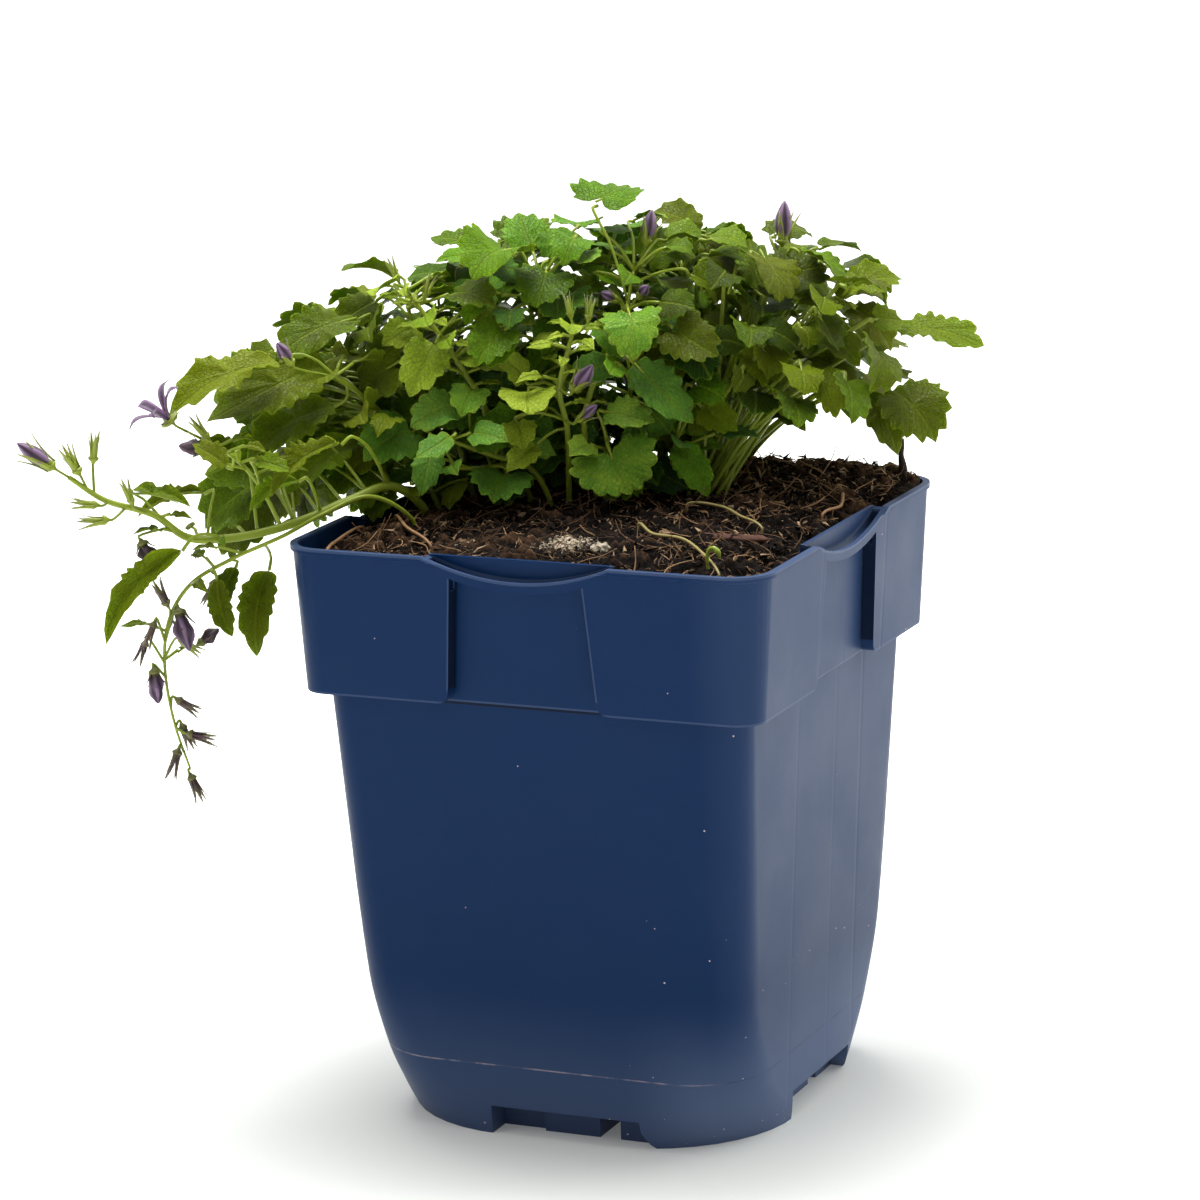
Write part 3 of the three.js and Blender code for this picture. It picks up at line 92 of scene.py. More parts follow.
NOTCH_HEIGHT = 8.6
NOTCH_DEPTH = 7
STEP_RIGHT = -5
STEP_DEPTH = 2
DRAIN_LEFT = 12.5
DRAIN_RIGHT = 19
DRAIN_END = 30
DRAIN_HOLE_LENGTH = 12
PARTING_LINE = 21.5
COLLAR_EDGE = POT_HEIGHT - COLLAR_HEIGHT
# Cuts start this far before the collar or the foot, and this far under the pot
BEFORE_WALL = -4
BEFORE_FOOT = -5
BELOW_POT = -5

# Peat
SOIL_EDGE_HEIGHT = 169.5
SOIL_HEAP = 10
SOIL_CELLS = 9
SOIL_CELL = RIM_WIDTH / SOIL_CELLS
SOIL_INSET = WALL + 0.3

# Plant
CLUMP_TURN = math.radians(23.7)
ROOT_DEPTH = 10
STEM_RADIUS = 1.2
LEAFSTALK_RADIUS = 0.65
FLOWER_STALK_RADIUS = 0.5
CLEARANCE = 1.25
CLOSE_CLEARANCE = 0.6
GOLDEN_ANGLE = 2.39996
CUP = 1.3
# Share of a blade's length from its base to its widest place
WIDEST = 0.4


def linear(code):
    """An sRGB hex colour as the linear colour that the shaders take, opaque"""
    parts = [int(code[i : i + 2], 16) / 255 for i in (1, 3, 5)]
    return (*(c / 12.92 if c <= 0.04045 else ((c + 0.055) / 1.055) ** 2.4 for c in parts), 1.0)


def colour_property(name, description, code):
    return FloatVectorProperty(
        name=name, description=description, subtype="COLOR", size=4, min=0, max=1, default=linear(code)
    )


class PotSettings(PropertyGroup):
    edge_rounding: FloatProperty(
        name="Edge rounding", description="Radius of the moulded edges", default=0.5 * MM, unit="LENGTH"
    )
    plastic: colour_property("Plastic", "Navy polypropylene", "#032750")
    # Also the colour of the painted sheen on the right wall, the painted floor reflection at the foot and
    # the painted edge highlights
    scuff_and_painted_light: colour_property("Scuff", "Where the plastic is rubbed pale", "#6f7fa0")
    dust: colour_property("Dust", "Dust and the scratched parting line", "#cbb9bd")
    shadow: colour_property("Shadow", "Grooves and the deep side of an edge", "#010612")


class PeatSettings(PropertyGroup):
    grid: IntProperty(name="Grid", description="Squares along each side of the heap", default=230)
    relief: FloatProperty(
        name="Relief", description="Height of the crumbs in the heap", default=3.0 * MM, unit="LENGTH"
    )
    crumbs: IntProperty(name="Crumbs", description="Loose crumbs and shreds on the heap", default=14000)
    fibres: IntProperty(name="Fibres", description="Loose fibres on the heap", default=620)
    # The hollows are darkened towards this colour as painted shade
    dark: colour_property("Dark peat", "Moist peat in the hollows", "#100a07")
    brown: colour_property("Brown peat", "Peat on the crumbs", "#5e4229")
    tan: colour_property("Dry peat", "Dry shreds and edges", "#b59a7a")
    crust: colour_property("Crust", "Dried pale crust", "#cdbca3")
    fibre: colour_property("Fibre", "Dry fibres and straws", "#a8845a")
    bark: colour_property("Bark", "Bark and twigs", "#5a2b0e")
    root: colour_property("Runner root", "Pale runners over the peat", "#8e8a48")
    perlite: colour_property("Perlite", "Puffed stone", "#bfb29c")
    perlite_pores: colour_property("Perlite pores", "Pores of the puffed stone", "#76695a")


class PlantSettings(PropertyGroup):
    tooth_depth: FloatProperty(
        name="Tooth depth", description="Share of a leaf's radius cut away between teeth", default=0.145
    )
    extra_sprigs: IntProperty(
        name="Extra sprigs", description="Leaves that each stem gets beside the solid ones", default=3
    )
    inner_leaves: IntProperty(
        name="Inner leaves", description="Leaves that fill the clump between its sprays", default=450
    )
    leaf_dark: colour_property("Deep green", "Older leaves", "#1b3403")
    leaf_light: colour_property("Light green", "Young leaves in the light", "#63900c")
    leaf_yellow: colour_property("Yellow green", "Leaves that turn", "#7d8112")
    # The rims' lime is partly a painted highlight
    leaf_lime: colour_property("Lime", "Youngest leaves and the rims", "#a9c03a")
    # Blue green: partly the grown leaves' own colour, partly painted shade on the leaves near the middle
    leaf_cool_shade: colour_property("Blue green", "Grown leaves near the middle", "#5c8c50")
    leaf_back: colour_property("Leaf back", "Underside of the leaves", "#6e7f1c")
    stem: colour_property("Stem", "Stems and leafstalks", "#8fa02a")
    sepal: colour_property("Sepal", "Calyx tips", "#8d9b2c")
    husk: colour_property("Husk", "Withered calyx", "#3c3213")
    petal: colour_property("Petal", "Violet petals", "#957499")
    petal_fold: colour_property("Petal fold", "Dark folds of the petals", "#351f38")
    faded: colour_property("Faded petal", "Withered petals", "#5a3b52")
    faded_fold: colour_property("Faded fold", "Folds of the withered petals", "#241318")


# Meshes


class Shape:
    """Points, faces and colours of many parts, gathered until they become one mesh"""

    def __init__(self):
        self.points = []
        self.faces = []
        self.slots = []
        self.maps = []
        self.tints = []
        self.count = 0

    def add(self, points, faces, slot=0, tint=(0, 0, 0), veins=None):
        points = np.asarray(points, float)
        size = len(points)
        self.points.append(points)
        self.faces.extend(tuple(int(i) + self.count for i in face) for face in faces)
        self.slots.extend([slot] * len(faces))
        self.maps.append(np.zeros((size, 2)) if veins is None else veins)
        self.tints.append(np.zeros((size, 3)) + tint)
        self.count += size


def new_object(name, points, faces):
    mesh = bpy.data.meshes.new(name)
    mesh.from_pydata([tuple(p) for p in points], [], [tuple(f) for f in faces])
    mesh.update()
    piece = bpy.data.objects.new(name, mesh)
    bpy.context.scene.collection.objects.link(piece)
    return piece


def finish_piece(piece, slot, *nodes):
    """The piece rides on the pot and stands for its nodes; its slot is not used"""
    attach(piece, BODY)
    if nodes:
        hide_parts(*nodes)


def piece_from(name, shape, materials, slot, *nodes, in_clump=False, smooth=True):
    """One finished piece of a gathered shape, given in millimetres"""
    points = np.concatenate(shape.points)
    points = (to_pot(points) if in_clump else points) * MM
    piece = new_object(name, points.tolist(), shape.faces)
    mesh = piece.data
    mesh.polygons.foreach_set("material_index", shape.slots)
    mesh.polygons.foreach_set("use_smooth", [smooth] * len(mesh.polygons))
    corners = np.zeros(len(mesh.loops), int)
    mesh.loops.foreach_get("vertex_index", corners)
    veins = np.concatenate(shape.maps)
    mesh.uv_layers.new(name="veins").data.foreach_set("uv", veins[corners].ravel())
    tints = np.concatenate(shape.tints)
    colours = np.concatenate([tints, np.ones((len(tints), 1))], axis=1)
    mesh.attributes.new("tint", "FLOAT_COLOR", "POINT").data.foreach_set("color", colours.ravel())
    for material in materials:
        mesh.materials.append(material)
    finish_piece(piece, slot, *nodes)


def select_only(piece):
    bpy.ops.object.select_all(action="DESELECT")
    piece.select_set(True)
    bpy.context.view_layer.objects.active = piece


def apply_modifier(piece, kind, **settings):
    select_only(piece)
    modifier = piece.modifiers.new(kind.lower(), kind)
    for key, value in settings.items():
        setattr(modifier, key, value)
    bpy.ops.object.modifier_apply(modifier=modifier.name)


def loft(rings):
    """Points and faces of a closed stack of rings, capped by fans"""
    size = len(rings[0])
    points = np.concatenate(rings + [[np.mean(rings[0], axis=0)], [np.mean(rings[-1], axis=0)]])
    faces = []
    for level in range(len(rings) - 1):
        for i in range(size):
            a = level * size + i
            b = level * size + (i + 1) % size
            faces.append((a, b, b + size, a + size))
    low = len(rings) * size
    top = low - size
    for i in range(size):
        following = (i + 1) % size
        faces.append((following, i, low))
        faces.append((top + i, top + following, low + 1))
    return points, faces


# Materials. Each pattern's scale is one over its size in metres.


def add_node(tree, kind, inputs=(), output=0, **settings):
    """One node with its settings, its socket values and its links, given back as its output"""
    node = tree.nodes.new("ShaderNode" + kind)
    for key, value in settings.items():
        setattr(node, key, value)
    for key, value in inputs.items() if isinstance(inputs, dict) else enumerate(inputs):
        if isinstance(value, bpy.types.NodeSocket):
            tree.links.new(value, node.inputs[key])
        else:
            node.inputs[key].default_value = value
    return node.outputs[output] if node.outputs else None


def cleared(owner):
    """The way to add nodes to an emptied material or world"""
    owner.use_nodes = True
    owner.node_tree.nodes.clear()
    return partial(add_node, owner.node_tree)


def new_material(name):
    """An empty material, the way to add nodes to it and the place on the piece"""
    material = bpy.data.materials.new(name)
    add = cleared(material)
    return material, add, add("TexCoord", output="Object")


def tint_parts(add):
    """The three numbers that a mesh carries at each point"""
    tint = add("Attribute", output="Color", attribute_name="tint")
    return add("SeparateColor", [tint]).node.outputs


def layered(add, colour, *layers):
    """A colour with others laid over it, each by its share"""
    for share, other in layers:
        colour = add("Mix", {0: share, 6: colour, 7: other}, 2, data_type="RGBA")
    return colour


def shade(add, inputs):
    surface = add("BsdfPrincipled", inputs)
    add("OutputMaterial", [surface])


def leaf_material(plant):
    """Living leaf: waxy skin over green tissue, so it has a soft satin sheen and glows a little
    where light passes through it. Veins are paler and sunken, and the net between them puckers."""
    material, add, place = new_material("leaf_blade")
    light, yellow, underside = tint_parts(add)
    on_blade = add("UVMap", uv_map="veins")
    along, beside, _ = add("SeparateXYZ", [on_blade]).node.outputs
    off_vein = add("Math", [along, 0.5], operation="PINGPONG")
    branch = add("MapRange", [off_vein, 0, 0.075, 0.75, 0], interpolation_type="SMOOTHSTEP")
    midrib = add("MapRange", [beside, 0.15, 0.55, 1, 0], interpolation_type="SMOOTHSTEP")
    vein = add("Math", [branch, midrib], operation="MAXIMUM")
    # The net of small veins is about 1.2 mm wide
    mesh = {"Vector": place, "Scale": 850.0}
    from_net = add("TexVoronoi", mesh, "Distance", feature="DISTANCE_TO_EDGE")
    net = add("MapRange", [from_net, 0, 0.12, 1, 0])
    patches = add("TexNoise", {"Vector": place, "Scale": 160.0, "Detail": 4.0})
    patched = add("Math", [patches, 0.9, light], operation="MULTIPLY_ADD")
    # Waxy grains of about a millimetre
    grains = add("TexNoise", {"Vector": place, "Scale": 1100.0, "Detail": 2.0})
    speckled = add("Math", [grains, 0.7, patched], operation="MULTIPLY_ADD")
    # The lightness tint is the leaves' own tone with painted light and shade, so the light green and lime
    # shares partly paint light
    young = add("Math", [speckled, 0.8], operation="SUBTRACT", use_clamp=True)
    # Partly painted shade: a yellow below nothing mixes in the blue green of the shaded leaves near the
    # middle
    cool_shade = add("Math", [yellow, -0.8], operation="MULTIPLY", use_clamp=True)
    youngest_and_lit = add("Math", [speckled, 1.8], operation="SUBTRACT", use_clamp=True)
    under = add("Math", [underside, 0.7], operation="MULTIPLY")
    pale_vein = add("Math", [vein, 0.45], operation="MULTIPLY")
    dark_net = add("Math", [net, 0.3], operation="MULTIPLY")
    colour = layered(
        add,
        plant.leaf_dark,
        (young, plant.leaf_light),
        (yellow, plant.leaf_yellow),
        (cool_shade, plant.leaf_cool_shade),
        (youngest_and_lit, plant.leaf_lime),
        (under, plant.leaf_back),
        (pale_vein, plant.leaf_back),
        (dark_net, plant.leaf_dark),
    )
    relief = add("Math", [net, 0.5, vein], operation="MULTIPLY_ADD")
    sunk = add("Math", [relief, -1], operation="MULTIPLY")
    bump = add("Bump", {"Height": sunk, "Strength": 0.75, "Distance": 0.35 * MM})
    skin = {"Base Color": colour, "Roughness": 0.4, "IOR": 1.42, "Specular IOR Level": 0.1, "Normal": bump}
    glow = {"Subsurface Weight": 0.12, "Subsurface Radius": (0.9, 1.4, 0.4), "Subsurface Scale": 1.2 * MM}
    shade(add, skin | glow)
    return material


def stem_material(plant):
    """Herbaceous stem: smooth green skin with fine lengthwise streaks and a wet-looking gloss"""
    material, add, place = new_material("bellflower_stem_skin")
    darkness = tint_parts(add)[2]
    streaks = add("TexNoise", {"Vector": place, "Scale": 300.0, "Detail": 2.0})
    share = add("Math", [streaks, 0.3, darkness], operation="MULTIPLY_ADD", use_clamp=True)
    colour = layered(add, plant.stem, (share, plant.leaf_dark))
    glow = {"Subsurface Weight": 0.25, "Subsurface Radius": (0.9, 1.2, 0.4), "Subsurface Scale": 1.2 * MM}
    shade(add, {"Base Color": colour, "Roughness": 0.38, "IOR": 1.42} | glow)
    return material


def sepal_material(plant):
    """Young calyx and bract tissue: thin, bright and matt, and brown where it has withered"""
    material, add, place = new_material("bellflower_sepal_skin")
    dryness = tint_parts(add)[1]
    mottle = add("TexNoise", {"Vector": place, "Scale": 330.0, "Detail": 3.0})
    colour = layered(add, plant.sepal, (dryness, layered(add, plant.faded, (mottle, plant.husk))))
    glow = {"Subsurface Weight": 0.25, "Subsurface Radius": (0.9, 1.2, 0.4), "Subsurface Scale": 1.0 * MM}
    shade(add, {"Base Color": colour, "Roughness": 0.5} | glow)
    return material


def petal_material(name, light, fold):
    """Bellflower petal: thin violet tissue, velvety, darker in its lengthwise folds"""
    material, add, place = new_material(name)
    folds = tint_parts(add)[0]
    mottle = add("TexNoise", {"Vector": place, "Scale": 500.0, "Detail": 3.0})
    share = add("Math", [mottle, 0.35, folds], operation="MULTIPLY_ADD", use_clamp=True)
    colour = layered(add, light, (share, fold))
    glow = {"Subsurface Weight": 0.25, "Subsurface Radius": (1.0, 0.6, 1.2), "Subsurface Scale": 1.0 * MM}
    shade(add, {"Base Color": colour, "Roughness": 0.55, "Sheen Weight": 0.25} | glow)
    return material


# Faint upright creases in the side walls: millimetres from the middle, and depth
CREASES = ((-23.0, 0.25), (29.5, 0.4), (8.0, 0.2))


def crease_height(add, x, y, fade):
    """Height of the side walls' shallow creases, about 3 mm wide, which fade in and out"""
    out = add("Math", [x], operation="ABSOLUTE")
    height = add("Math", [out, 0], operation="MULTIPLY")
    on_wall = add("Math", [out, 0.054], operation="GREATER_THAN")
    for side, depth in CREASES:
        off = add("Math", [y, side * MM], operation="SUBTRACT")
        near = add("Math", [off], operation="ABSOLUTE")
        span = [near, 0, 1.6 * MM, -depth, 0]
        line = add("MapRange", span, interpolation_type="SMOOTHSTEP")
        height = add("Math", [line, height], operation="ADD")
    faded = add("Math", [height, fade], operation="MULTIPLY")
    return add("Math", [faded, on_wall], operation="MULTIPLY")


def between_lines(add, value, low, high, share):
    """A share between two heights or offsets in millimetres, and nothing outside them"""
    above = add("Math", [value, low * MM], operation="GREATER_THAN")
    below = add("Math", [value, high * MM], operation="LESS_THAN")
    both = add("Math", [above, below], operation="MULTIPLY")
    return add("Math", [both, share], operation="MULTIPLY")


def painted_edge_lights(add, x, y, z, colour, pot):
    """The panels' upright edges, the collar's lower edge and the rim: painted highlights along
    them, and painted shade in the step"""
    out_x = add("Math", [x], operation="ABSOLUTE")
    out_y = add("Math", [y], operation="ABSOLUTE")
    along = add("Math", [out_x, out_y], operation="MINIMUM")
    shoulder = COLLAR_EDGE + PANEL_CORNER_RADIUS
    top = POT_HEIGHT - LIP_SAG
    slope = [z, shoulder * MM, top * MM, PANEL_HALF_BOTTOM * MM, PANEL_HALF_TOP * MM]
    half = add("MapRange", slope)
    off = add("Math", [along, half], operation="SUBTRACT")
    on_panel = between_lines(add, z, shoulder, top, 1.0)
    marks = []
    # Beside each panel's upright edge: a dark line of painted shade in the step, then a pale painted
    # highlight
    for low, high, share, mark in ((-0.8, 0.0, 0.7, pot.shadow), (0.0, 0.5, 0.18, pot.scuff_and_painted_light)):
        line = between_lines(add, off, low, high, share)
        marks.append((add("Math", [line, on_panel], operation="MULTIPLY"), mark))
    # Painted shade in a band under the collar, and a painted highlight on its lower edge
    marks.append((between_lines(add, z, COLLAR_EDGE - 1.1, COLLAR_EDGE - 0.05, 0.75), pot.shadow))
    marks.append((between_lines(add, z, COLLAR_EDGE, COLLAR_EDGE + 0.6, 0.18), pot.scuff_and_painted_light))
    # A painted highlight follows the rim's top edge, which dips with the lips
    squared = add("Math", [along, along], operation="MULTIPLY")
    dip = [squared, 0, (LIP_HALF_SPAN * MM) ** 2, (POT_HEIGHT - LIP_SAG) * MM, POT_HEIGHT * MM]
    rim = add("MapRange", dip)
    over = add("Math", [z, rim], operation="SUBTRACT")
    marks.append((between_lines(add, over, -0.7, 0.5, 0.22), pot.scuff_and_painted_light))
    return layered(add, colour, *marks)


def dust_share(add, x, z, place):
    """Specks of dust of about 0.3 mm, thick on the low right part of the front, rare elsewhere"""
    cells = {"Vector": place, "Scale": 420.0, "Randomness": 1.0}
    specks = add("TexVoronoi", cells).node.outputs
    chance = add("SeparateColor", [specks["Color"]]).node.outputs
    to_right = add("MapRange", [x, 0, 0.06, 0, 1])
    low = add("MapRange", [z, 0.08, 0, 0, 1])
    where = add("Math", [to_right, low], operation="MULTIPLY")
    needed = add("MapRange", [where, 0, 1, 0.986, 0.66])
    chosen = add("Math", [chance[0], needed], operation="GREATER_THAN")
    size = add("Math", [chance[1], 0.09, 0.02], operation="MULTIPLY_ADD")
    dots = add("Math", [specks["Distance"], size], operation="LESS_THAN")
    return add("Math", [dots, chosen], operation="MULTIPLY")


def parting_line_share(add, z, place):
    """The parting line is about 0.5 mm wide and breaks up along its way"""
    off = add("Math", [z, PARTING_LINE * MM], operation="SUBTRACT")
    distance = add("Math", [off], operation="ABSOLUTE")
    line = add("MapRange", [distance, 0.08 * MM, 0.28 * MM, 1, 0])
    breaks = add("TexNoise", {"Vector": place, "Scale": 190.0, "Detail": 4.0})
    broken = add("MapRange", [breaks, 0.42, 0.62, 0.04, 0.45])
    return add("Math", [line, broken], operation="MULTIPLY")


def pot_material(pot):
    """Injection-moulded polypropylene: navy, satin, with faint flow marks rubbed pale, a painted floor
    reflection at its foot, painted sheen on its right wall, painted highlights and shade along its
    edges, a scratched parting line low down that is a painted shaded groove on the right wall, and
    a little dust near the front corner"""
    material, add, place = new_material("moulded_polypropylene")
    x, y, z = add("SeparateXYZ", [place]).node.outputs
    marbled = {"Vector": place, "Scale": 28.0, "Detail": 5.0, "Roughness": 0.6}
    flow = add("TexNoise", marbled)
    rubbed = add("MapRange", [flow, 0.5, 0.75, 0, 0.02])
    # Painted sheen: the right wall is paled as a grazing reflection of the light behind it
    right_wall_sheen = add("MapRange", [x, 0.052, 0.066, 0, 0.09])
    # Painted reflection: the foot, most of all at the front right corner, is paled as if it reflected the
    # bright floor
    foot = add("MapRange", [z, 0.05, 0, 0, 1], interpolation_type="SMOOTHSTEP")
    corner = add("MapRange", [x, 0.022, 0.05, 0.3, 0.6], interpolation_type="SMOOTHSTEP")
    foot_reflection = add("Math", [foot, corner], operation="MULTIPLY")
    wear_and_painted_light = [(share, pot.scuff_and_painted_light) for share in (rubbed, right_wall_sheen, foot_reflection)]
    # The parting line is a pale scratch on the front and painted shade in its groove on the right wall
    scratch_and_groove_shade = layered(add, pot.dust, (add("MapRange", [x, 0.046, 0.054, 0, 1]), pot.shadow))
    line = (parting_line_share(add, z, place), scratch_and_groove_shade)
    edged = painted_edge_lights(add, x, y, z, layered(add, pot.plastic, *wear_and_painted_light, line), pot)
    colour = layered(add, edged, (dust_share(add, x, z, place), pot.dust))
    rough = add("MapRange", [flow, 0.3, 0.7, 0.36, 0.48])
    grain = add("TexNoise", {"Vector": place, "Scale": 900.0, "Detail": 2.0})
    normal = add("Bump", {"Height": grain, "Strength": 0.12, "Distance": 0.1 * MM})
    for height, strength, depth in ((crease_height(add, x, y, flow), 0.8, 0.3), (flow, 0.25, 0.4)):
        bump = {"Height": height, "Strength": strength, "Distance": depth * MM, "Normal": normal}
        normal = add("Bump", bump)
    skin = {"Base Color": colour, "Roughness": rough, "IOR": 1.49, "Specular IOR Level": 0.1}
    shade(add, skin | {"Sheen Weight": 0.05, "Sheen Roughness": 0.35, "Normal": normal})
    return material


def peat_material(peat):
    """Moist peat: almost black in its hollows, brown on its crumbs and tan where it has dried, with
    a pale crust at the front, dead matt. Its first tint number adds painted shade in the hollows
    and at the right front, and painted light on the tops, at the left and at the back"""
    material, add, place = new_material("moist_peat")
    # The first tint number, named dryness, also carries painted light and shade
    dryness, crust, _ = tint_parts(add)
    grain = {"Vector": place, "Scale": 420.0, "Detail": 6.0, "Roughness": 0.75}
    coarse = add("TexNoise", grain)
    mixed = add("Math", [coarse, dryness], operation="ADD")
    # The crust breaks into specks of a millimetre or so
    specks = {"Vector": place, "Scale": 820.0, "Detail": 5.0, "Roughness": 0.8}
    crusty = add("Math", [add("TexNoise", specks), crust], operation="ADD")
    brown = add("MapRange", [mixed, 0.95, 1.5, 0, 1])
    tan = add("MapRange", [mixed, 1.22, 1.7, 0, 0.85])
    crusted = add("MapRange", [crusty, 1.03, 1.13, 0, 0.95])
    layers = ((brown, peat.brown), (tan, peat.tan), (crusted, peat.crust))
    colour = layered(add, peat.dark, *layers)
    bump = add("Bump", {"Height": coarse, "Strength": 0.8, "Distance": 0.8 * MM})
    shade(add, {"Base Color": colour, "Roughness": 0.95, "Specular IOR Level": 0.15, "Normal": bump})
    return material


def dry_material(name, colour, dark, scale, roughness=0.85):
    """Dry plant matter or puffed stone: matt, streaked lighter and darker"""
    material, add, place = new_material(name)
    darkness = tint_parts(add)[1]
    streaks = add("TexNoise", {"Vector": place, "Scale": scale, "Detail": 5.0})
    share = add("Math", [streaks, 0.6, darkness], operation="MULTIPLY_ADD", use_clamp=True)
    mixed = layered(add, colour, (share, dark))
    bump = add("Bump", {"Height": streaks, "Strength": 0.6, "Distance": 0.3 * MM})
    shade(add, {"Base Color": mixed, "Roughness": roughness, "Normal": bump})
    return material


def floor_material():
    """Painted studio floor: pale and matt. Away from the pot it glows a little, as a lit sweep."""
    material, add, place = new_material("painted_studio_floor")
    grain = add("TexNoise", {"Vector": place, "Scale": 3.0, "Detail": 2.0})
    colour = layered(add, linear("#e3e6df"), (grain, linear("#e8e9e6")))
    distance = add("VectorMath", [place], "Value", operation="LENGTH")
    sweep = [distance, 0.04, 0.46, 0.1, 0.85]
    glow = add("MapRange", sweep, interpolation_type="SMOOTHSTEP")
    paint = {"Base Color": colour, "Roughness": 0.9, "Specular IOR Level": 0.1}
    shade(add, paint | {"Emission Color": (1, 1, 1, 1), "Emission Strength": glow})
    return material


# The heap of peat

# Half the width of the room inside the rim, of the rim itself and of the air kept round it
ROOM_HALF = 72
RIM_HALF = 77
RIM_CLEAR_HALF = 77.5


def heap_height(column, row):
    """Height of the heap at a crossing of its grid, as in the solid model"""
    x = column * SOIL_CELL - RIM_WIDTH / 2
    y = row * SOIL_CELL - RIM_WIDTH / 2
    edge = np.clip((73 - np.maximum(np.abs(x), np.abs(y))) / 26, 0, 1)
    rise = SOIL_HEAP * edge * (2 - edge) * (0.35 + (0.65 * (y + 75)) / 150)
    lumps = 0.9 * np.sin(0.31 * x + 1) * np.cos(0.27 * y) + 0.8 * np.sin(0.7 * x + 0.5 * y)
    return SOIL_EDGE_HEIGHT + rise + np.where(y > 0, 0.03 * y, 0) + lumps


def soil_height(x, y):
    """Height of the peat anywhere: each cell of the grid is two flat triangles"""
    across = (np.asarray(x, float) + RIM_WIDTH / 2) / SOIL_CELL
    back = (np.asarray(y, float) + RIM_WIDTH / 2) / SOIL_CELL
    column = np.clip(np.floor(across), 0, SOIL_CELLS - 1)
    row = np.clip(np.floor(back), 0, SOIL_CELLS - 1)
    u, v = across - column, back - row
    near = heap_height(column, row)
    far = heap_height(column + 1, row + 1)
    steep = u > v
    side = np.where(steep, heap_height(column + 1, row), heap_height(column, row + 1))
    first, second = np.where(steep, u, v), np.where(steep, v, u)
    return near + first * (side - near) + second * (far - side)


def turned(x, y, turn=CLUMP_TURN):
    """A place turned about the upright axis, from the clump's frame to the pot's unless told"""
    return x * math.cos(turn) - y * math.sin(turn), x * math.sin(turn) + y * math.cos(turn)


def to_pot(points):
    points = np.array(points, float)
    x, y = turned(points[:, 0], points[:, 1])
    return np.stack([x, y, points[:, 2]], axis=1)


def collar_half(z):
    (z0, half0), (z1, half1) = [row[:2] for row in COLLAR_OUTLINE]
    return half0 + (half1 - half0) * (z - z0) / (z1 - z0)


# Growth. The rules and the random draws are those of the solid model, so that every leaf here
# lies on its solid one.

# Lines and samples that a placed blade is known by, and those of a closer cover
RAYS = 16
RAY_STEPS = 6
COVER_RAYS = 44
COVER_STEPS = 12
# Which samples follow on from the one before them: the rays' own, and then those round the rim
SAMPLES = np.arange(1, RAYS * RAY_STEPS + RAYS + 1)
CONTINUES = (SAMPLES % RAY_STEPS != 0) | (SAMPLES > RAYS * RAY_STEPS)


class SmoothPath:
    """A smooth path through its points"""

    def __init__(self, points):
        self.points = np.array(points, float)

    def at(self, shares):
        last = len(self.points) - 1
        t = np.atleast_1d(np.asarray(shares, float)) * last
        span = np.minimum(np.floor(t).astype(int), last - 1)
        s = (t - span)[:, None]
        p0 = self.points[np.maximum(span - 1, 0)]
        p1 = self.points[span]
        p2 = self.points[span + 1]
        p3 = self.points[np.minimum(span + 2, last)]
        length = np.linalg.norm(p2 - p1, axis=1, keepdims=True)
        before = length / (length + np.linalg.norm(p1 - p0, axis=1, keepdims=True))
        after = length / (length + np.linalg.norm(p3 - p2, axis=1, keepdims=True))
        m1 = (p2 - p0) * before
        m2 = (p3 - p1) * after
        from_start = (2 * s**3 - 3 * s**2 + 1) * p1 + (s**3 - 2 * s**2 + s) * m1
        return from_start + (3 * s**2 - 2 * s**3) * p2 + (s**3 - s**2) * m2


class Draws:
    """Random draws, the same on every run"""

    def __init__(self, seed):
        self.state = seed

    def between(self, low, high):
        self.state = (self.state * 1664525 + 1013904223) % 4294967296
        return low + (high - low) * self.state / 4294967296


def unit(vector):
    return vector / np.linalg.norm(vector)


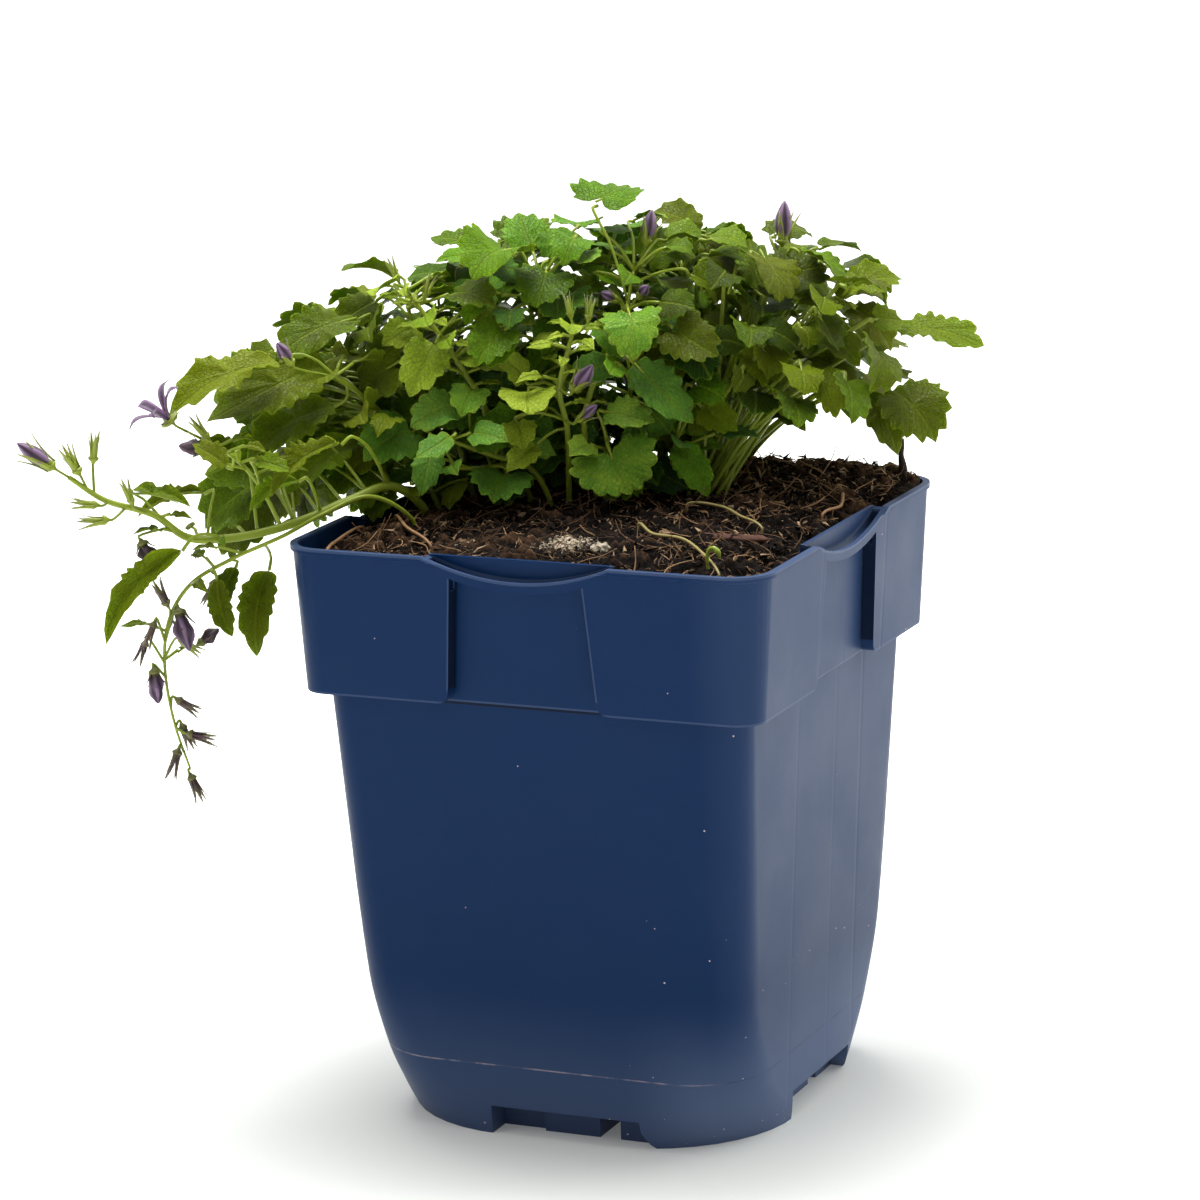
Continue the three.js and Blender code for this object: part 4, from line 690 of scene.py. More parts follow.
class Leaf:
    """A blade in its own frame: along to its tip, across to its side, face its upper side"""

    def __init__(self, base, tip, width, facing, heart, teeth, phase):
        self.base = np.array(base, float)
        run = np.array(tip, float) - self.base
        self.length = np.linalg.norm(run)
        self.middle = WIDEST * self.length
        self.along = run / self.length
        facing = np.array(facing, float)
        self.face = unit(facing - self.along * facing.dot(self.along))
        self.across = np.cross(self.face, self.along)
        self.width = width
        self.heart = heart
        self.teeth = teeth
        self.phase = phase
        self.cup = 0.22
        self.arch = 0.1
        self.stalk_width = 1.0
        self.bow = 0.04 * math.sin(2.3 * phase)

    def radius(self, angle):
        reach = np.where(np.cos(angle) > 0, 1 - WIDEST, WIDEST) * self.length
        oval = 1 / np.hypot(np.cos(angle) / reach, np.sin(angle) / (self.width / 2))
        back = np.maximum(0, -np.cos(angle))
        lobe = 0.7 * back * np.abs(np.sin(angle))
        return oval * (1 + self.heart * (lobe - 0.6 * back**12))

    def height(self, u, v):
        t = u / self.length
        angle = np.arctan2(v, u - self.middle)
        out = np.hypot(v, u - self.middle) / self.radius(angle)
        arch = self.arch * self.length * 4 * t * (1 - t)
        wave = 0.035 * self.length * out * out * np.sin(4 * angle + self.phase)
        return arch + self.cup * np.abs(v) + wave

    def at(self, u, v, height):
        flat = self.base + np.multiply.outer(u, self.along) + np.multiply.outer(v, self.across)
        return flat + np.multiply.outer(height, self.face)

    def cover(self, rays, steps):
        """Points all over the blade, along straight lines out from its widest place"""
        angles = np.repeat(2 * np.pi * np.arange(rays) / rays, steps)
        radius = self.radius(angles) * np.tile(np.arange(1, steps + 1) / steps, rays)
        u = self.middle + radius * np.cos(angles)
        v = radius * np.sin(angles)
        return self.at(u, v, self.height(u, v))

    def height_over(self, points):
        """Heights of points over the blade, and which of them are within its outline"""
        offset = points - self.base
        u, v = offset @ self.along, offset @ self.across
        outward = u - self.middle
        inside = np.hypot(v, outward) <= self.radius(np.arctan2(v, outward)) + 0.8
        return offset @ self.face - self.height(u, v), inside


class Placed:
    """A placed stem, stalk or leaf, known by sample points along lines"""

    def __init__(self, node, stalk_points, radius, leaf=None):
        self.node = node
        self.leaf = leaf
        self.radius = radius
        points = np.array(stalk_points, float)
        length = np.linalg.norm(np.diff(points, axis=0), axis=1).sum()
        count = max(3, math.ceil(length / 1.5))
        self.stalk = SmoothPath(points).at(np.arange(count + 1) / count)
        self.rays = np.zeros((0, 3))
        if leaf:
            rays = leaf.cover(RAYS, RAY_STEPS)
            rim = rays[RAY_STEPS - 1 :: RAY_STEPS]
            self.rays = np.concatenate([rays, rim, rim[:1]])
        everything = np.concatenate([self.stalk, self.rays])
        self.centre = everything.mean(axis=0)
        self.reach = np.linalg.norm(everything - self.centre, axis=1).max() + 1.5


def line_meets_blade(points, continues, leaf, reach):
    height, inside = leaf.height_over(points)
    if (inside & (np.abs(height) < reach)).any():
        return True
    both = inside[1:] & inside[:-1] & (height[1:] * height[:-1] < 0)
    return bool((both & continues).any())


def pieces_meet(a, b, clearance):
    if np.linalg.norm(a.centre - b.centre) > a.reach + b.reach:
        return False
    if a.node != b.node:
        apart = np.linalg.norm(a.stalk[:, None] - b.stalk[None], axis=2).min()
        if apart < a.radius + b.radius + 0.5:
            return True
    for p, q in ((a, b), (b, a)):
        if q.leaf is None:
            continue
        if line_meets_blade(p.stalk, True, q.leaf, p.radius + 0.7 * clearance):
            return True
        if p.leaf and line_meets_blade(p.rays, CONTINUES, q.leaf, clearance):
            return True
    return False


def is_blocked(points, allowance=0):
    """Whether foliage would dip into the peat or the rim, or touch the collar from beside"""
    x, y = turned(points[:, 0], points[:, 1])
    z = points[:, 2]
    out = np.maximum(np.abs(x), np.abs(y))
    lowest = np.where(out < RIM_HALF, POT_HEIGHT + 1.2, -np.inf)
    lowest = np.where(out < ROOM_HALF, soil_height(x, y) + 1.4, lowest)
    beside = (z < POT_HEIGHT - 2) & (out > ROOM_HALF) & (out < RIM_CLEAR_HALF)
    return bool((z < lowest - allowance).any() or beside.any())


# Sprays, in the clump's own frame: along the spread, towards the back, height. A row is a name,
# the root or the stem that it branches off and where, the number of sprigs and their size, the
# points of the stem, and its leaves. A leaf is its base, its tip, its width, how it leans to the
# front in degrees, its heart shape, its teeth on each side and where its stalk leaves the stem.
SPRAYS = [
    ("spire", [-6, 16], 2, 13, [[-9, 10, 200], [-6, 10, 212], [3, 20, 228], [7, 27, 243]], [
        [[-4, 30, 262], [6, 45, 265], 23, 15, 0.7, 4, 0.86],
        [[-3, 22, 238], [-17, 16, 234], 11, 30, 0.2, 3, 0.8],
        [[10, 31, 243], [24, 42, 249], 17, 40, 0.4, 3, 0.9],
    ]),
    ("central_shoot", [-14, 10], 3, 10, [[-14, 6, 200], [-16, 4, 212], [-13, 3, 224], [-11, 3, 231]], [
        [[-25, 4, 212], [-25, -9, 207], 18, 35, 0.4, 3, 0.45],
        [[-26, 5, 213], [-35, 2, 222], 11, 40, 0.2, 3, 0.5],
        [[-29, 4, 203], [-27, -5, 196], 11, 60, 0.2, 3, 0.3],
        [[-23, 3, 196], [-32, -6, 190], 9, 50, 0, 2, 0.25],
    ]),
    ("left_shoot", [-32, 16], 5, 11, [[-36, 14, 200], [-47, 14, 221], [-56, 18, 234], [-61, 21, 241]], [
        [[-58, 21, 229], [-68, 13, 225], 12, 50, 0.2, 3, 0.75],
        [[-52, 15, 226], [-60, 3, 212], 15, 60, 0.3, 3, 0.6],
        [[-37, 27, 226], [-33, 35, 232], 12, 40, 0.2, 3, 0.5],
    ]),
    ("front_left", [-20, 8], 0, 0, [[-26, 5, 189], [-37, 4, 193], [-50, 0, 199]], [
        [[-41, 6, 213], [-45, -3, 206], 12, 50, 0.7, 3, 0.65],
        [[-45, 2, 208], [-60, -6, 203], 14, 45, 0.3, 3, 0.8],
        [[-48, -1, 201], [-58, -9, 196], 9, 40, 0, 2, 0.95],
        [[-53, -4, 198], [-57, -14, 185], 10, 40, 0, 3, 0.98],
    ]),
    ("front_low", [-26, 14], 0, 0, [[-31, 9, 188], [-40, 4, 189], [-50, 1, 190]], [
        [[-52, -2, 187], [-69, -14, 184], 10, 20, 0, 3, 0.95],
        [[-32, 5, 188], [-36, -9, 182], 20, 40, 0.4, 4, 0.55],
        [[-59, 4, 200], [-74, -9, 194], 20, 50, 0.4, 4, 0.9],
        [[-15, 4, 190], [-25, -10, 184], 11, 30, 0.2, 3, 0.4],
    ]),
    ("heart_leaf", [-3, 11], 0, 0, [[-3, 8, 190], [-2, 5, 196]], [
        [[-2, 1, 195], [4, -9, 182], 27, 60, 0.9, 5, 0.98],
        [[-3, 4, 205], [12, -5, 203], 12, 45, 0.2, 3, 0.9],
    ]),
    ("front_right", [5, 17], 2, 12, [[5, 14, 200], [5, 12, 216]], [
        [[6, 10, 219], [23, -1, 202], 15, 45, 0.1, 3, 0.98],
        [[0, 14, 218], [-12, 9, 214], 12, 45, 0.3, 3, 0.9],
        [[12, 16, 208], [24, 10, 196], 15, 40, 0.3, 3, 0.6],
    ]),
    ("drooping_leaf", [17, 13], 0, 0, [[17, 9, 190], [18, 7, 195]], [
        [[18, 5, 195], [27, -3, 180], 11, 50, 0.2, 3, 0.98],
    ]),
    ("right_broad", [12, 25], 2, 14, [[17, 23, 202], [24, 26, 220]], [
        [[27, 27, 224], [9, 13, 212], 20, 50, 0.4, 4, 0.95],
        [[36, 31, 228], [26, 22, 216], 13, 70, 0.2, 3, 0.9],
        [[12, 36, 228], [32, 38, 222], 22, 60, 0.3, 4, 0.7],
    ]),
    ("right_top", [19, 38], 2, 16, [[18, 42, 215], [22, 46, 238]], [
        [[28, 52, 250], [13, 57, 256], 15, 20, 0.2, 3, 0.95],
        [[26, 46, 243], [47, 52, 239], 24, 35, 0.3, 4, 0.9],
        [[28, 36, 243], [44, 28, 236], 15, 30, 0.2, 3, 0.85],
    ]),
    ("right_bud", [27, 43], 2, 16, [[36, 40, 208], [44, 38, 228], [50, 42, 242]], [
        [[48, 38, 237], [65, 45, 240], 22, 30, 0.2, 4, 0.75],
        [[45, 34, 236], [42, 48, 249], 12, 30, 0, 3, 0.7],
    ]),
    ("right_high", [32, 48], 2, 14, [[46, 38, 205], [58, 32, 223], [65, 30, 231]], [
        [[67, 30, 233], [88, 37, 237], 16, 25, 0.1, 3, 0.98],
        [[71, 31, 230], [83, 21, 218], 14, 25, 0.2, 3, 0.9],
        [[57, 24, 226], [73, 10, 216], 15, 30, 0.2, 3, 0.85],
    ]),
    ("right_long", [33, 41], 2, 14, [[49, 33, 200], [64, 28, 213], [77, 24, 220]], [
        [[82, 22, 221], [111, 12, 216], 18, 15, 0.1, 5, 0.98],
        [[47, 20, 220], [44, 6, 211], 18, 50, 0.3, 4, 0.5],
    ]),
    ("right_round", [38, 45], 1, 14, [[53, 36, 197], [67, 27, 207], [79, 20, 208]], [
        [[82, 18, 207], [95, 6, 193], 23, 35, 0.2, 5, 0.98],
        [[58, 24, 217], [73, 17, 207], 11, 20, 0.1, 3, 0.6],
    ]),
    ("right_low", [40, 51], 0, 0, [[51, 43, 193], [62, 34, 201], [71, 27, 206]], [
        [[74, 25, 206], [84, 13, 188], 14, 30, 0.1, 3, 0.98],
        [[60, 29, 206], [73, 17, 194], 10, 30, 0.1, 3, 0.8],
        [[59, 36, 201], [64, 26, 190], 20, 40, 0.3, 4, 0.7],
        [[44, 12, 203], [57, 2, 195], 11, 35, 0.1, 3, 0.4],
    ]),
    ("top_left", [-22, 25], 2, 13, [[-22, 26, 212], [-21, 29, 240]], [
        [[-19, 30, 246], [-8, 41, 252], 16, 40, 0.4, 3, 0.95],
        [[-23, 33, 248], [-27, 46, 257], 15, 40, 0.3, 3, 0.97],
        [[-27, 29, 243], [-39, 21, 246], 15, 40, 0.4, 3, 0.9],
        [[-19, 26, 244], [-22, 10, 235], 19, 50, 0.5, 4, 0.9],
    ]),
    ("back_top", [-30, 35], 3, 17, [[-32, 40, 215], [-37, 44, 243]], [
        [[-39, 44, 248], [-54, 50, 250], 12, 15, 0.2, 3, 0.95],
        [[-33, 50, 248], [-18, 62, 253], 18, 15, 0.3, 4, 0.95],
    ]),
    ("left_top", [-43, 23], 2, 16, [[-53, 26, 213], [-61, 29, 234]], [
        [[-64, 30, 242], [-80, 22, 246], 15, -10, 0.2, 3, 0.95],
        [[-70, 34, 235], [-83, 27, 228], 13, 40, 0.1, 3, 0.85],
    ]),
    ("left_side", [-50, 17], 2, 16, [[-62, 24, 206], [-72, 28, 226]], [
        [[-75, 30, 232], [-99, 14, 223], 17, 35, 0.1, 4, 0.95],
        [[-66, 20, 214], [-84, 8, 204], 18, 45, 0.2, 4, 0.7],
    ]),
    ("left_long", [-53, 12], 1, 16, [[-66, 15, 200], [-76, 6, 213], [-82, -2, 219]], [
        [[-84, -5, 221], [-119, -20, 206], 22, 40, 0.1, 4, 0.97],
        [[-97, 4, 224], [-130, -9, 211], 18, 20, 0.1, 4, 0.95],
        [[-82, 3, 209], [-108, -8, 196], 16, 40, 0.1, 3, 0.8],
        [[-76, -6, 198], [-97, -18, 185], 13, 40, 0, 3, 0.5],
    ]),
    ("arching_stem", [-57, 4], 0, 0, [
        [-66, -4, 186], [-78, -13, 184], [-90, -18, 180], [-103, -22, 177], [-115, -25, 176],
        [-125, -26, 177], [-134, -27, 184], [-148, -28, 189], [-158, -28, 196],
    ], [
        [[-140, -26, 191], [-123, -30, 187], 10, 10, 0, 3, 0.75],
        [[-126, -27, 174], [-148, -34, 148], 13, 60, 0, 3, 0.55],
        [[-109, -18, 195], [-122, -20, 203], 9, 30, 0, 3, 0.46],
    ]),
    ("star_branch", ["arching_stem", 0.4], 0, 0, [[-104, -20, 191], [-112, -20, 200], [-124, -20, 207]], [
        [[-112, -17, 199], [-122, -15, 205], 9, 30, 0, 3, 0.6],
    ]),
    ("hanging_spray", [-60, -12], 0, 0, [
        [-72, -18, 186], [-86, -24, 182], [-97, -28, 177], [-112, -30, 171], [-124, -30, 164],
        [-131, -28, 153], [-133, -27, 139], [-131, -27, 122], [-127, -27, 108],
    ], [
        [[-102, -18, 165], [-106, -27, 141], 15, 60, 0.1, 3, 0.38],
        [[-111, -28, 168], [-115, -32, 156], 9, 60, 0, 3, 0.46],
    ]),
]
TRAILING_STEMS = ("arching_stem", "hanging_spray", "star_branch")
YOUNG_SHOOTS = ("central_shoot", "left_shoot")
STEM_RADII = {"arching_stem": 1.3, "star_branch": 0.8, "hanging_spray": 0.8}

# Stems that fan out behind: root, heading in degrees, reach, height over the peat
BACK_FAN = [
    [[-6, 40], 80, 34, 62],
    [[6, 52], 62, 38, 50],
    [[-20, 46], 105, 32, 56],
    [[-36, 42], 128, 36, 52],
    [[-44, 34], 150, 40, 40],
    [[-12, 52], 92, 46, 34],
    [[18, 54], 40, 44, 44],
    [[-30, 54], 118, 46, 28],
]
FAN_SPRIGS = 4
FAN_SPRIG_SIZE = 20

# Flowers: name, spray, share of the stem, base, tip, width, kind
FLOWERS = [
    ["top_bud", "spire", 0.97, [11, 33, 250], [13, 35, 260], 4.6, "bud"],
    ["spire_bud_left", "spire", 0.72, [2, 22, 235], [-3, 20, 238], 3.4, "bud"],
    ["spire_bud_right", "spire", 0.76, [8, 21, 236], [11, 18, 240], 3.4, "bud"],
    ["right_violet_bud", "right_bud", 0.98, [52, 44, 247], [53, 46, 260], 5.4, "bud"],
    ["central_bud", "central_shoot", 0.5, [-12, -4, 213], [-6, -7, 221], 5, "bud"],
    ["pink_bud", "central_shoot", 0.3, [-11, -4, 204], [-5, -6, 209], 3.2, "bud"],
    ["star_flower", "star_branch", 1, [-128, -21, 210], [-134, -23, 217], 8, "star"],
    ["faded_flower", "star_branch", 0.72, [-118, -23, 202], [-126, -26, 204], 4.4, "limp"],
    ["tip_bud", "arching_stem", 1, [-162, -29, 199], [-172, -31, 207], 5, "bud"],
    ["hanging_bell", "arching_stem", 0.72, [-138, -29, 177], [-135, -30, 170], 5, "limp"],
    ["inner_violet", "left_long", 0.97, [-93, -15, 225], [-97, -18, 232], 4, "bud"],
    ["violet_trumpet", "hanging_spray", 0.72, [-128, -31, 157], [-125, -34, 145], 5.4, "limp"],
    ["dark_bud", "hanging_spray", 0.8, [-136, -30, 139], [-135, -32, 129], 4.6, "limp"],
    ["side_bud", "hanging_spray", 0.66, [-123, -26, 145], [-117, -24, 149], 3.8, "limp"],
    ["", "central_shoot", 1, [-12, 2, 234], [-13, 1, 241], 3, "calyx"],
    ["", "central_shoot", 0.9, [-7, 2, 233], [-6, 1, 240], 3, "calyx"],
    ["", "left_shoot", 1, [-63, 22, 243], [-66, 23, 250], 3, "calyx"],
    ["", "left_shoot", 0.85, [-55, 14, 239], [-53, 12, 246], 3, "calyx"],
    ["", "arching_stem", 0.92, [-151, -26, 200], [-150, -26, 209], 4, "calyx"],
    ["", "arching_stem", 0.84, [-147, -32, 184], [-155, -34, 184], 4, "calyx"],
    ["", "hanging_spray", 0.9, [-127, -29, 119], [-122, -30, 118], 4, "dry"],
    ["", "hanging_spray", 1, [-127, -27, 106], [-124, -28, 99], 4, "dry"],
]

# Small calyces that the solid model leaves out, as rows of FLOWERS
MORE_CALYCES = [
    ["", "hanging_spray", 0.77, [-138, -29, 147], [-140, -30, 141], 3.2, "dry"],
    ["", "hanging_spray", 0.86, [-130, -27, 129], [-125, -28, 126], 3.6, "dry"],
    ["", "hanging_spray", 0.9, [-129, -26, 121], [-125.5, -27, 113.5], 3.6, "dry"],
    ["", "hanging_spray", 0.96, [-130, -28, 114], [-132, -29, 108.5], 4.2, "dry"],
    ["", "hanging_spray", 0.76, [-128, -29, 147], [-121.5, -30, 143], 3.2, "calyx"],
    ["", "hanging_spray", 0.72, [-135, -31, 153], [-138, -32, 146], 3.6, "dry"],
    ["", "hanging_spray", 0.66, [-131, -31, 158], [-134, -32, 165], 4, "dry"],
    ["", "hanging_spray", 0.5, [-117, -32, 165], [-120, -34, 159], 3.4, "dry"],
    ["", "arching_stem", 0.94, [-155, -28, 197], [-158, -28, 203], 4.5, "calyx"],
    ["", "arching_stem", 0.88, [-150, -30, 188], [-156, -31, 189], 3.4, "calyx"],
    ["", "arching_stem", 0.78, [-140, -29, 188], [-142, -29, 194], 3.2, "calyx"],
    ["", "star_branch", 0.85, [-118, -21, 205], [-122, -22, 211], 3.6, "calyx"],
]

# Leaves that the solid model leaves out: spray, and a row as in SPRAYS
MORE_LEAVES = [
    ("arching_stem", [[-79, -25, 203], [-99, -31, 188], 14, 25, 0.1, 4, 0.12]),
    ("arching_stem", [[-120, -22, 188], [-139, -25, 181], 9, 30, 0, 3, 0.6]),
    ("arching_stem", [[-92, -24, 192], [-106, -28, 184], 9, 40, 0, 3, 0.3]),
    ("hanging_spray", [[-116, -27, 166], [-112, -31, 150], 10, 60, 0, 3, 0.5]),
    ("hanging_spray", [[-124, -27, 160], [-117, -30, 152], 7, 60, 0, 2, 0.6]),
    ("hanging_spray", [[-98, -24, 172], [-101, -30, 155], 11, 60, 0, 3, 0.35]),
    ("star_branch", [[-104, -24, 199], [-94, -27, 196], 8, 30, 0, 3, 0.3]),
]

BENDS = [0, 4, -4, 8, -8, 12, -12, 16, -16, 20, -20]

# How light and how yellow the leaves of a spray are, where they differ from the rest. The
# # lightness is partly the leaves' own tone and partly painted light and shade: the heart leaf low
# # in front is lightened where shade falls on it, and the sprays at the right are darkened. A yellow
# # below nothing mixes in blue green, partly painted shade.
TONES = {
    "spire": (0.85, 0.15),
    "central_shoot": (1.7, 0.4),
    "left_shoot": (1.5, 0.35),
    "front_left": (0.8, -0.35),
    "front_low": (0.75, -0.35),
    "heart_leaf": (1.3, -0.5),
    "front_right": (0.78, -0.2),
    "drooping_leaf": (0.75, -0.3),
    "right_broad": (0.36, 0.12),
    "right_top": (0.24, 0.25),
    "right_bud": (0.22, 0.3),
    "right_high": (0.25, 0.4),
    "right_long": (0.28, 0.5),
    "right_round": (0.22, 0.5),
    "right_low": (0.12, 0.3),
    "top_left": (0.65, -0.12),
    "left_side": (0.2, 0.45),
    "left_long": (0.25, 0.5),
    "left_top": (0.4, 0.3),
    "arching_stem": (0.4, 0.4),
    "hanging_spray": (0.2, 0.35),
}
PLAIN_TONE = (0.4, 0.1)
# How much narrower the fine blades of some sprays are than the solid ones
SLIMMER = {"arching_stem": 0.66, "hanging_spray": 0.75}
# How far, in lengths, the blades of some sprays bend to one side
BOWS = {"arching_stem": -0.12, "hanging_spray": -0.07}
# How steeply the blades of some sprays are folded along their rib
FOLDS = {"arching_stem": 0.85, "hanging_spray": 0.9, "star_branch": 0.5, "left_long": 0.3, "right_low": 0.4}


class Bed:
    """All placed pieces, with their bounds in arrays so that far ones are passed over at once"""

    def __init__(self):
        self.pieces = []
        self.centres = np.zeros((0, 3))
        self.reaches = np.zeros(0)

    def add(self, piece):
        self.pieces.append(piece)
        self.centres = np.vstack([self.centres, piece.centre])
        self.reaches = np.append(self.reaches, piece.reach)

    def is_clear(self, piece, clearance=CLEARANCE):
        gaps = np.linalg.norm(self.centres - piece.centre, axis=1)
        for index in np.nonzero(gaps <= self.reaches + piece.reach)[0]:
            if pieces_meet(piece, self.pieces[index], clearance):
                return False
        return not (is_blocked(piece.rays) or is_blocked(piece.stalk[1:], 0.6))


class Spray:
    """A stem with the leaves that grow on it"""

    def __init__(self, name, root, sprigs, size, stem, leaves, others):
        self.name = name
        self.sprigs = sprigs
        self.size = size
        self.leaves = leaves
        self.radius = STEM_RADII.get(name, STEM_RADIUS)
        self.grown = []
        self.is_branch = isinstance(root[0], str)
        if self.is_branch:
            self.node, share = root
            foot = [others[self.node].on_stem(share)]
        else:
            self.node = name
            ground = ground_at(*root)
            foot = [[*root, ground + rise] for rise in (-ROOT_DEPTH, -ROOT_DEPTH / 2, 2.5)]
        self.path = [*foot, *stem]
        self.surface = 0 if self.is_branch else 2 / (len(self.path) - 1)

    def on_stem(self, shares):
        """Points at shares of the stem's way from the peat to its end"""
        places = SmoothPath(self.path).at(self.surface + shares * (1 - self.surface))
        return places if np.ndim(shares) else places[0]


def ground_at(x, y):
    return float(soil_height(*turned(x, y)))


def arrange_sprays():
    """All stems by name: those of the photographed side, then those that fan out behind"""
    sprays = {}
    for name, *row in SPRAYS:
        sprays[name] = Spray(name, *row, sprays)
    for index, (root, heading, reach, height) in enumerate(BACK_FAN):
        heading = math.radians(heading)
        ground = ground_at(*root)
        stem = []
        for share, rise in ((0.2, 0.45), (0.55, 0.85), (1, 1)):
            x = root[0] + share * reach * math.cos(heading)
            y = root[1] + share * reach * math.sin(heading)
            stem.append([x, y, ground + rise * height])
        name = f"back_spray_{index + 1}"
        sprays[name] = Spray(name, root, FAN_SPRIGS, FAN_SPRIG_SIZE, stem, [], sprays)
    return sprays


def stalk_points(leaf, start):
    """The leafstalk leaves its stem, bends, and runs on to the blade's base"""
    end = leaf.base + leaf.along * 0.1 * leaf.length * leaf.heart
    entry = end - leaf.along * 0.15 * leaf.length
    middle = (start + entry) / 2
    middle[2] += 0.12 * np.linalg.norm(start - entry)
    return [start, middle, entry, end]


def place_leaf(bed, draws, spray, row):
    """Sets one leaf of the tables, shifted back or forward where its own place is taken"""
    base, tip, width, lean, heart, teeth, at = row
    lean = math.radians(lean)
    facing = [0, -math.sin(lean), math.cos(lean)]
    phase = draws.between(0, 6)
    start = spray.on_stem(at)
    for bend in BENDS:
        shift = np.array([0, bend, 0])
        leaf = Leaf(np.array(base) + shift, np.array(tip) + shift, width, facing, heart, teeth, phase)
        stalk = stalk_points(leaf, start)
        piece = Placed(spray.node, stalk, LEAFSTALK_RADIUS, leaf)
        if bed.is_clear(piece):
            bed.add(piece)
            spray.grown.append((leaf, stalk))
            return


def place_sprig(bed, draws, spray, share, size, vary, turn, shape, attempts, clearance):
    """A leaf on its own short stalk, facing outwards and up from the middle of the clump"""
    start = spray.on_stem(share)
    length = size * draws.between(1 - vary, 1 + vary)
    turn += draws.between(-0.4, 0.4)
    phase = draws.between(0, 6)
    outward = unit(np.array([start[0] + 20, start[1] - 25, 0]))
    for attempt in range(attempts):
        heading = turn + attempt * 0.7
        side = np.array([math.cos(heading), math.sin(heading), 0])
        stalk = length * (0.5 + 0.08 * attempt)
        base = start + side * stalk
        base[2] += 0.35 * stalk
        tip = base + side * length
        tip[2] -= 0.12 * length
        facing = np.array([0, 0, 1]) + 0.7 * outward
        teeth = 3 if length > 17 else 2
        leaf = Leaf(base, tip, length * shape, facing, 0.4, teeth, phase)
        points = [start, (start + base) / 2, base]
        piece = Placed(spray.node, points, LEAFSTALK_RADIUS, leaf)
        if bed.is_clear(piece, clearance):
            bed.add(piece)
            return leaf, points
    return None


def place_flower(bed, sprays, row):
    name, spray_name, at, base, tip, width, kind = row
    spray = sprays[spray_name]
    base, tip = np.array(base, float), np.array(tip, float)
    axis = unit(tip - base)
    stalk = [spray.on_stem(at), base - 1.5 * axis, base + 0.5 * axis]
    bed.add(Placed(spray.node, stalk, FLOWER_STALK_RADIUS))
    spread = (0.9 if kind == "star" else 0.55) * width
    bed.add(Placed(name or spray_name + "_calyx", [base, (base + tip) / 2, tip], spread))
    return {
        "name": name,
        "node": spray.node,
        "base": base,
        "axis": axis,
        "stalk": stalk,
        "length": np.linalg.norm(tip - base),
        "width": width,
        "kind": kind,
    }


def within_box(points):
    """Whether points of the clump are all inside the solid model's box"""
    spots = to_pot(points) * MM
    return bool((spots > CAD_BOX[0]).all() and (spots < CAD_BOX[1]).all())


def grow(plant):
    """Places everything that grows: first as the solid model does, then the leaves between"""
    draws = Draws(20)
    bed = Bed()
    sprays = arrange_sprays()
    for spray in sprays.values():
        bed.add(Placed(spray.node, spray.path, spray.radius))
    flowers = [place_flower(bed, sprays, row) for row in FLOWERS]
    for spray in sprays.values():
        for row in spray.leaves:
            place_leaf(bed, draws, spray, row)
    for spray in sprays.values():
        for i in range(spray.sprigs):
            share = 0.3 + (0.68 * (i + 1)) / spray.sprigs
            turn = i * GOLDEN_ANGLE
            item = place_sprig(bed, draws, spray, share, spray.size, 0.2, turn, 0.85, 10, CLEARANCE)
            if item:
                spray.grown.append(item)
    flowers += [place_flower(bed, sprays, row) for row in MORE_CALYCES]
    for name, row in MORE_LEAVES:
        place_leaf(bed, Draws(len(sprays[name].grown)), sprays[name], row)
    more = Draws(77)
    between = []
    for spray in sprays.values():
        between += small_leaves(bed, more, spray, plant.extra_sprigs)
    between += inner_leaves(bed, more, sprays.values(), plant.inner_leaves)
    return sprays, flowers, between


def small_leaves(bed, draws, spray, count):
    """Young leaves along a stem, narrower on the trailing stems and on the young shoots"""
    if spray.name in TRAILING_STEMS:
        count, size, shape = 3 * count, 9, 0.34
    elif spray.name in YOUNG_SHOOTS:
        count, size, shape = 5 * count, 8, 0.42
    elif spray.name.startswith("back_spray"):
        count, size, shape = count + 2, 15, 0.9
    else:
        size, shape = 11, 0.85
    grown = []
    for i in range(count):
        share = 0.35 + 0.62 * (i + 1) / count
        turn = i * GOLDEN_ANGLE
        item = place_sprig(bed, draws, spray, share, size, 0.25, turn, shape, 9, CLOSE_CLEARANCE)
        if item and within_box(item[0].cover(COVER_RAYS, COVER_STEPS)):
            grown.append((spray.node, *item))
    return grown


class Room:
    """Which small cells of the clump's space are taken"""

    def __init__(self):
        self.low = np.array([-150.0, -80.0, 90.0])
        self.cell = 1.3
        self.taken = np.zeros((220, 145, 150), bool)

    def cells(self, points):
        index = np.floor((points - self.low) / self.cell).astype(int)
        return tuple(np.clip(index, 0, np.array(self.taken.shape) - 1).T)

    def mark(self, piece):
        self.taken[self.cells(piece.stalk)] = True
        if piece.leaf:
            blade = piece.leaf.cover(COVER_RAYS, COVER_STEPS)
            for lift in (-0.5, 0, 0.5):
                self.taken[self.cells(blade + piece.leaf.face * lift)] = True

    def share_taken(self, points):
        return self.taken[self.cells(points)].mean()


# The clump's outline over its spread, and its underside: on the peat at the left of the middle,
# lower beside the pot, lifted at the right
DOME_SPREAD = [-130, -115, -84, -60, -40, 0, 50, 75, 95, 110]
DOME_TOP = [203, 213, 227, 239, 249, 257, 251, 240, 229, 214]
UNDERSIDE_SPREAD = [-130, -110, -92, -78, -68, 8, 26, 60, 72, 110]
UNDERSIDE = [184, 178, 182, 186, 182, 181, 205, 210, 214, 220]
# The camera looks down by this much a millimetre
SIGHT_FALL = 0.23
# Where the leafstalks of the right side come up: spread and back
CROWN = [24, 14]
